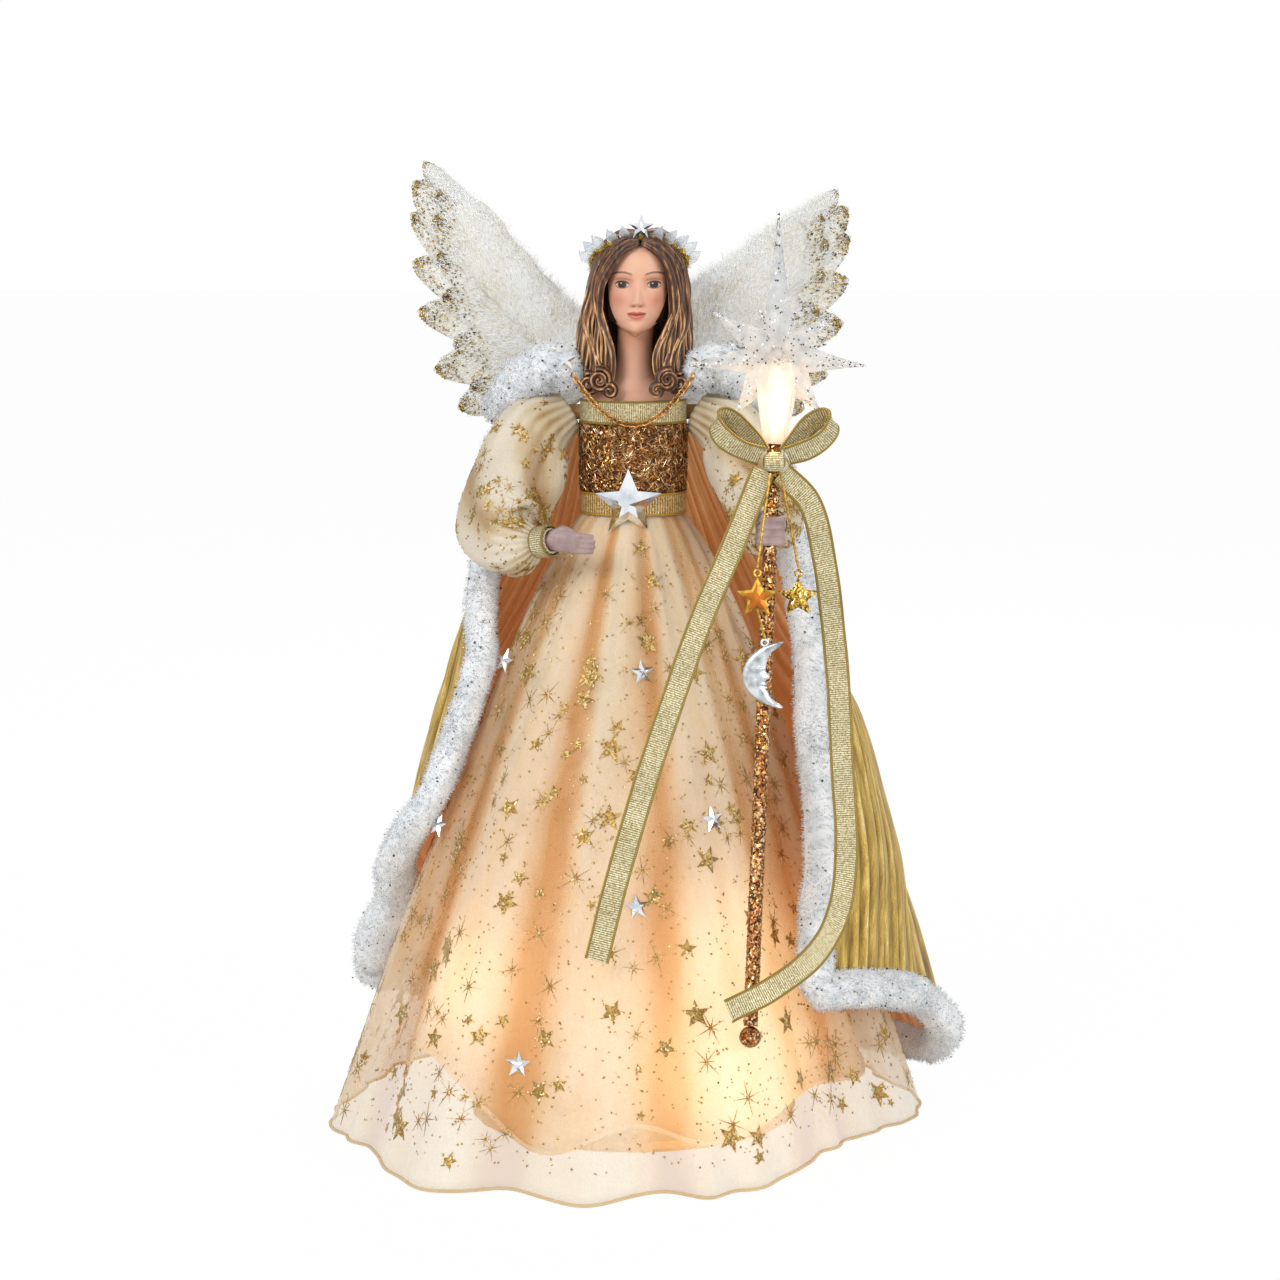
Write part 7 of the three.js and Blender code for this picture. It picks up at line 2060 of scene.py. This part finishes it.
def build_bow(m):
    angle, s = np.meshgrid(circle(28), np.linspace(-1, 1, 15))
    waist = np.sqrt(np.clip(1 - (np.abs(s) * 0.96) ** 3.2, 0.02, 1)) * (1 + 0.05 * np.cos(6 * angle))
    forward, up = knot_half_depth * waist * np.cos(angle), knot_half_height * waist * np.sin(angle)
    points = knot_place + np.stack([knot_half_length * s, forward, up], axis=-1)
    wrap = Parts().tube(points, along=up, across=np.abs(s) * 0.95)
    wrap.make("bow_wrap", m["ribbon"], slot="gold_ribbon", replaces=["bow_knot"])
    for name, side in (("left", -1), ("right", 1)):
        ahead = np.array([side * loop_reach, 0, loop_rise])
        aside = unit([-side * 0.35, 0.5, 0.8])
        start = knot_place + np.array([side * 4.3, 0, 2.3])
        a = np.linspace(0.065, 0.935, 70) * TURN
        out = 0.5 - 0.5 * np.cos(a)
        run = start + out[:, None] * ahead + (loop_open * np.sin(a) * np.sqrt(out))[:, None] * aside
        ribbon_piece(
            m, f"ribbon_loop_{name}", "ribbon", f"bow_loop_{name}", run, loop_width,
            unit([-side * 0.42, -0.5, 0.9]), "folded", "bow_knot",
            wave=lambda length, place: 0.35 * np.sin(length / 3.1) * place,
        )


def build_tails(m):
    for name, shares in (("left", tail_left_shares), ("right", tail_right_shares)):
        run = smooth(places_from(knot_place, tail_reach, 1, shares), 200)
        across = unit(np.cross(unit(np.gradient(run, axis=0)), [0.15, -1, 0.1]))
        ribbon_piece(
            m, f"ribbon_streamer_{name}", "ribbon", f"ribbon_tail_{name}", run, tail_width, across, "hung",
            "bow_knot",
            wave=lambda length, place: 0.4 * np.sin(length / 9.0) + 0.3 * np.sin(length / 4.1) * place,
        )


ring_radius, ring_wire, ring_behind = 1.3, 0.5, 0.5
cord_radius, cord_steps, cord_over_ring = 0.5, 12, 2.1
gold_star_radius, gold_star_thickness, gold_star_waist = 8.6, 2.4, 0.46
# Of each charm: its middle, the height of its top over that, its body
charm_places = {
    "star_front": ((44.63, -86.88, 234.72), 8.6, "front_star_charm"),
    "star_side": ((61.55, -74.69, 233.02), 8.6, "side_star_charm"),
    "moon": ((47.65, -87.67, 203.52), 11.83, "moon_charm"),
}
# Where each charm's cord starts
cord_pivot = np.array([51.66, -73.21, 283.52])
cord_heads = {
    "star_front": cord_pivot + [-1.6, 0, -0.5],
    "star_side": cord_pivot + [2.56, 0, -0.5],
    "moon": np.array([44.63, -88.38, 230.31]),
}
moon_radius, moon_half_height, moon_half_thickness = 8.6, 13.6, 1.6
# The moon's inner edge as a face in profile: share of its half height, share of its radius
moon_profile = [
    (-0.88, 0.71), (-0.68, 0.31), (-0.5, 0.16), (-0.38, 0.06), (-0.28, 0.12), (-0.2, 0.05), (-0.06, 0.25),
    (0.14, 0.06), (0.38, 0.11), (0.62, 0.26), (0.86, 0.71),
]
moon_horn_start, moon_horn_tip_share = 0.86, 0.93
# Relief on the moon: distance in from its inner edge, share of its half height, half width, half height, rise
moon_features = {
    "eye": (2.4, 0.2, 1.0, 0.05, 0.7), "lid": (2.3, 0.28, 1.3, 0.04, -0.6),
    "cheek": (3.2, -0.1, 1.6, 0.12, 0.6), "mouth": (1.0, -0.33, 1.4, 0.025, -0.5),
}


def add_ring(parts, place, top):
    """The wire ring on top of a charm."""
    rows = []
    for q in circle(24):
        out = np.array([math.cos(q), 0, math.sin(q)])
        rows.append([
            out * (ring_radius + ring_wire * math.cos(w)) + np.array([0, ring_wire * math.sin(w), 0])
            for w in circle(8)
        ])
    parts.hoop(np.array(rows) + place + np.array([0, -ring_behind, top + ring_radius]))


def build_star_charm(m, name):
    place, top, body = charm_places[name]
    centre = np.array(place)
    parts = Parts()
    parts.add(*faceted_star(gold_star_radius, gold_star_thickness, gold_star_waist, centre))
    back, faces = faceted_star(gold_star_radius - 0.1, 0.6, gold_star_waist)
    parts.add(back * [1, -1, 1] + centre, [tuple(reversed(face)) for face in faces])
    if name == "star_front":
        # The front star has an amber face
        parts.add(*faceted_star(6.3, 1.5, gold_star_waist, centre + np.array([0, -1.35, 0])), 1)
    add_ring(parts, centre, top)
    finish = [m["gold_edge"] if name == "star_front" else m["gold_glitter"], m["amber_mirror"]]
    parts.make(
        f"gold_{name}", finish, body=body, slot="gold_plastic", replaces=[f"charm_{name}"], smooth_faces=False
    )


def build_moon(m):
    place, top, body = charm_places["moon"]
    centre = np.array(place)
    level = np.linspace(-0.975, 0.975, 90)
    outer = moon_radius * (1 - 2 * np.sqrt(1 - level ** 2))
    horn = mix(0.71, moon_horn_tip_share, (np.abs(level) - moon_horn_start) / (1 - 0.86))
    face = along(moon_profile, 1, np.clip(level, moon_profile[0][0], moon_profile[-1][0]))
    inner = np.maximum(moon_radius * np.where(np.abs(level) > moon_horn_start, horn, face), outer + 0.25)
    q = circle(28)
    rows = []
    for h, a, b in zip(level, outer, inner):
        x = (a + b) / 2 + (b - a) / 2 * np.cos(q)
        y = -moon_half_thickness * np.sin(q) * min(1, 0.35 + (b - a) / 5)
        relief = 0
        for inwards, height, wide, tall, rise in moon_features.values():
            relief = relief + rise * np.exp(-(((x - b + inwards) / wide) ** 2) - ((h - height) / tall) ** 2)
        y = y - relief * (np.sin(q) > 0.2)
        rows.append(centre + np.stack([x, y, np.full(28, moon_half_height * h)], axis=-1))
    parts = Parts().tube(np.array(rows))
    add_ring(parts, centre, top)
    parts.make("silver_moon", m["moon"], body=body, slot="silver", replaces=["charm_moon"])


def build_cord(m, name):
    """A straight cord down to the ring of its charm. Gives the cord, its head and its length."""
    place, top, body = charm_places[name]
    head = cord_heads[name]
    foot = np.array(place) + [0, -ring_behind, top + ring_radius + cord_over_ring]
    curve = bpy.data.curves.new(f"cord_{name}", "CURVE")
    curve.dimensions = "3D"
    curve.bevel_depth = cord_radius * MM
    curve.bevel_resolution = 3
    curve.use_fill_caps = True
    spline = curve.splines.new("POLY")
    spline.points.add(cord_steps)
    for k, point in enumerate(spline.points):
        point.co = (*(mix(head, foot, k / cord_steps) * MM), 1)
    curve.materials.append(m["cord"])
    cord = add_object(f"hanging_cord_{name}", curve)
    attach(cord, body)
    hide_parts(f"charm_cord_{name}")
    return cord, head, float(np.linalg.norm(foot - head))


def build_charms(m):
    build_star_charm(m, "star_front")
    build_star_charm(m, "star_side")
    build_moon(m)
    return {name: build_cord(m, name) for name in cord_heads}


def dress_frame(m):
    """The CAD pieces that stay as they are get their materials."""
    finishes = {"inner_cone": "card", "torso_core": "core", "wing_bracket": "lame", "star_lamp": "star_bulb"}
    finishes.update({f"lamp_{k}": "bulb" for k in range(1, 6)})
    for name, finish in finishes.items():
        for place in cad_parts[name].material_slots:
            place.material = m[finish]


def star_light():
    """The lamp in the starburst's stem lights the fur and ribbon round it."""
    lamp = bpy.data.lights.new("star_glow", "POINT")
    lamp.color = (1, 0.72, 0.42)
    lamp.energy = 0.014
    lamp.shadow_soft_size = 0.006
    add_object("star_glow", lamp).location = (0.0525, -0.074, 0.306)


def declare_soft(cloth, satin, sleeves, arms, cords):
    for sleeve in sleeves:
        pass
    for arm in arms:
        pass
    for name in ("star_front", "star_side"):
        cord, head, length = cords[name]
        start = [value * MM for value in head]


# Name, side, length of the arm's line, its shares, radius of the sleeve's puff
arms = {
    "right": (-1, 84.0, arm_right_shares, sleeve_puff),
    "left": (1, 81.0, arm_left_shares, sleeve_puff * sleeve_left_puff_share),
}
# Name, side, reach, height of the tip
wings = {"right": (-1, 96.0, 406.0), "left": (1, 93.5, 393.6)}


def build():
    make_stage()
    m = make_materials()
    dress_frame(m)
    cloth, satin = build_skirts(m)
    build_jewels(m)
    build_bodice(m)
    sleeves, padded = [], []
    for (name, arm), build_hand in zip(arms.items(), (build_right_hand, build_left_hand)):
        wrist, ahead, sleeve, stuffed = build_arm(m, name, *arm)
        build_hand(m, wrist, ahead)
        sleeves.append(sleeve)
        padded.append(stuffed)
    build_head(m)
    build_hair(m)
    build_crown(m)
    cape = build_cape(m)
    build_collars(m)
    build_chain(m)
    for name, wing in wings.items():
        build_wing(m, name, *wing)
    build_staff(m)
    build_burst(m)
    build_bow(m)
    build_tails(m)
    cords = build_charms(m)
    star_light()
    declare_soft(cloth, satin, sleeves, padded, cords)


build()
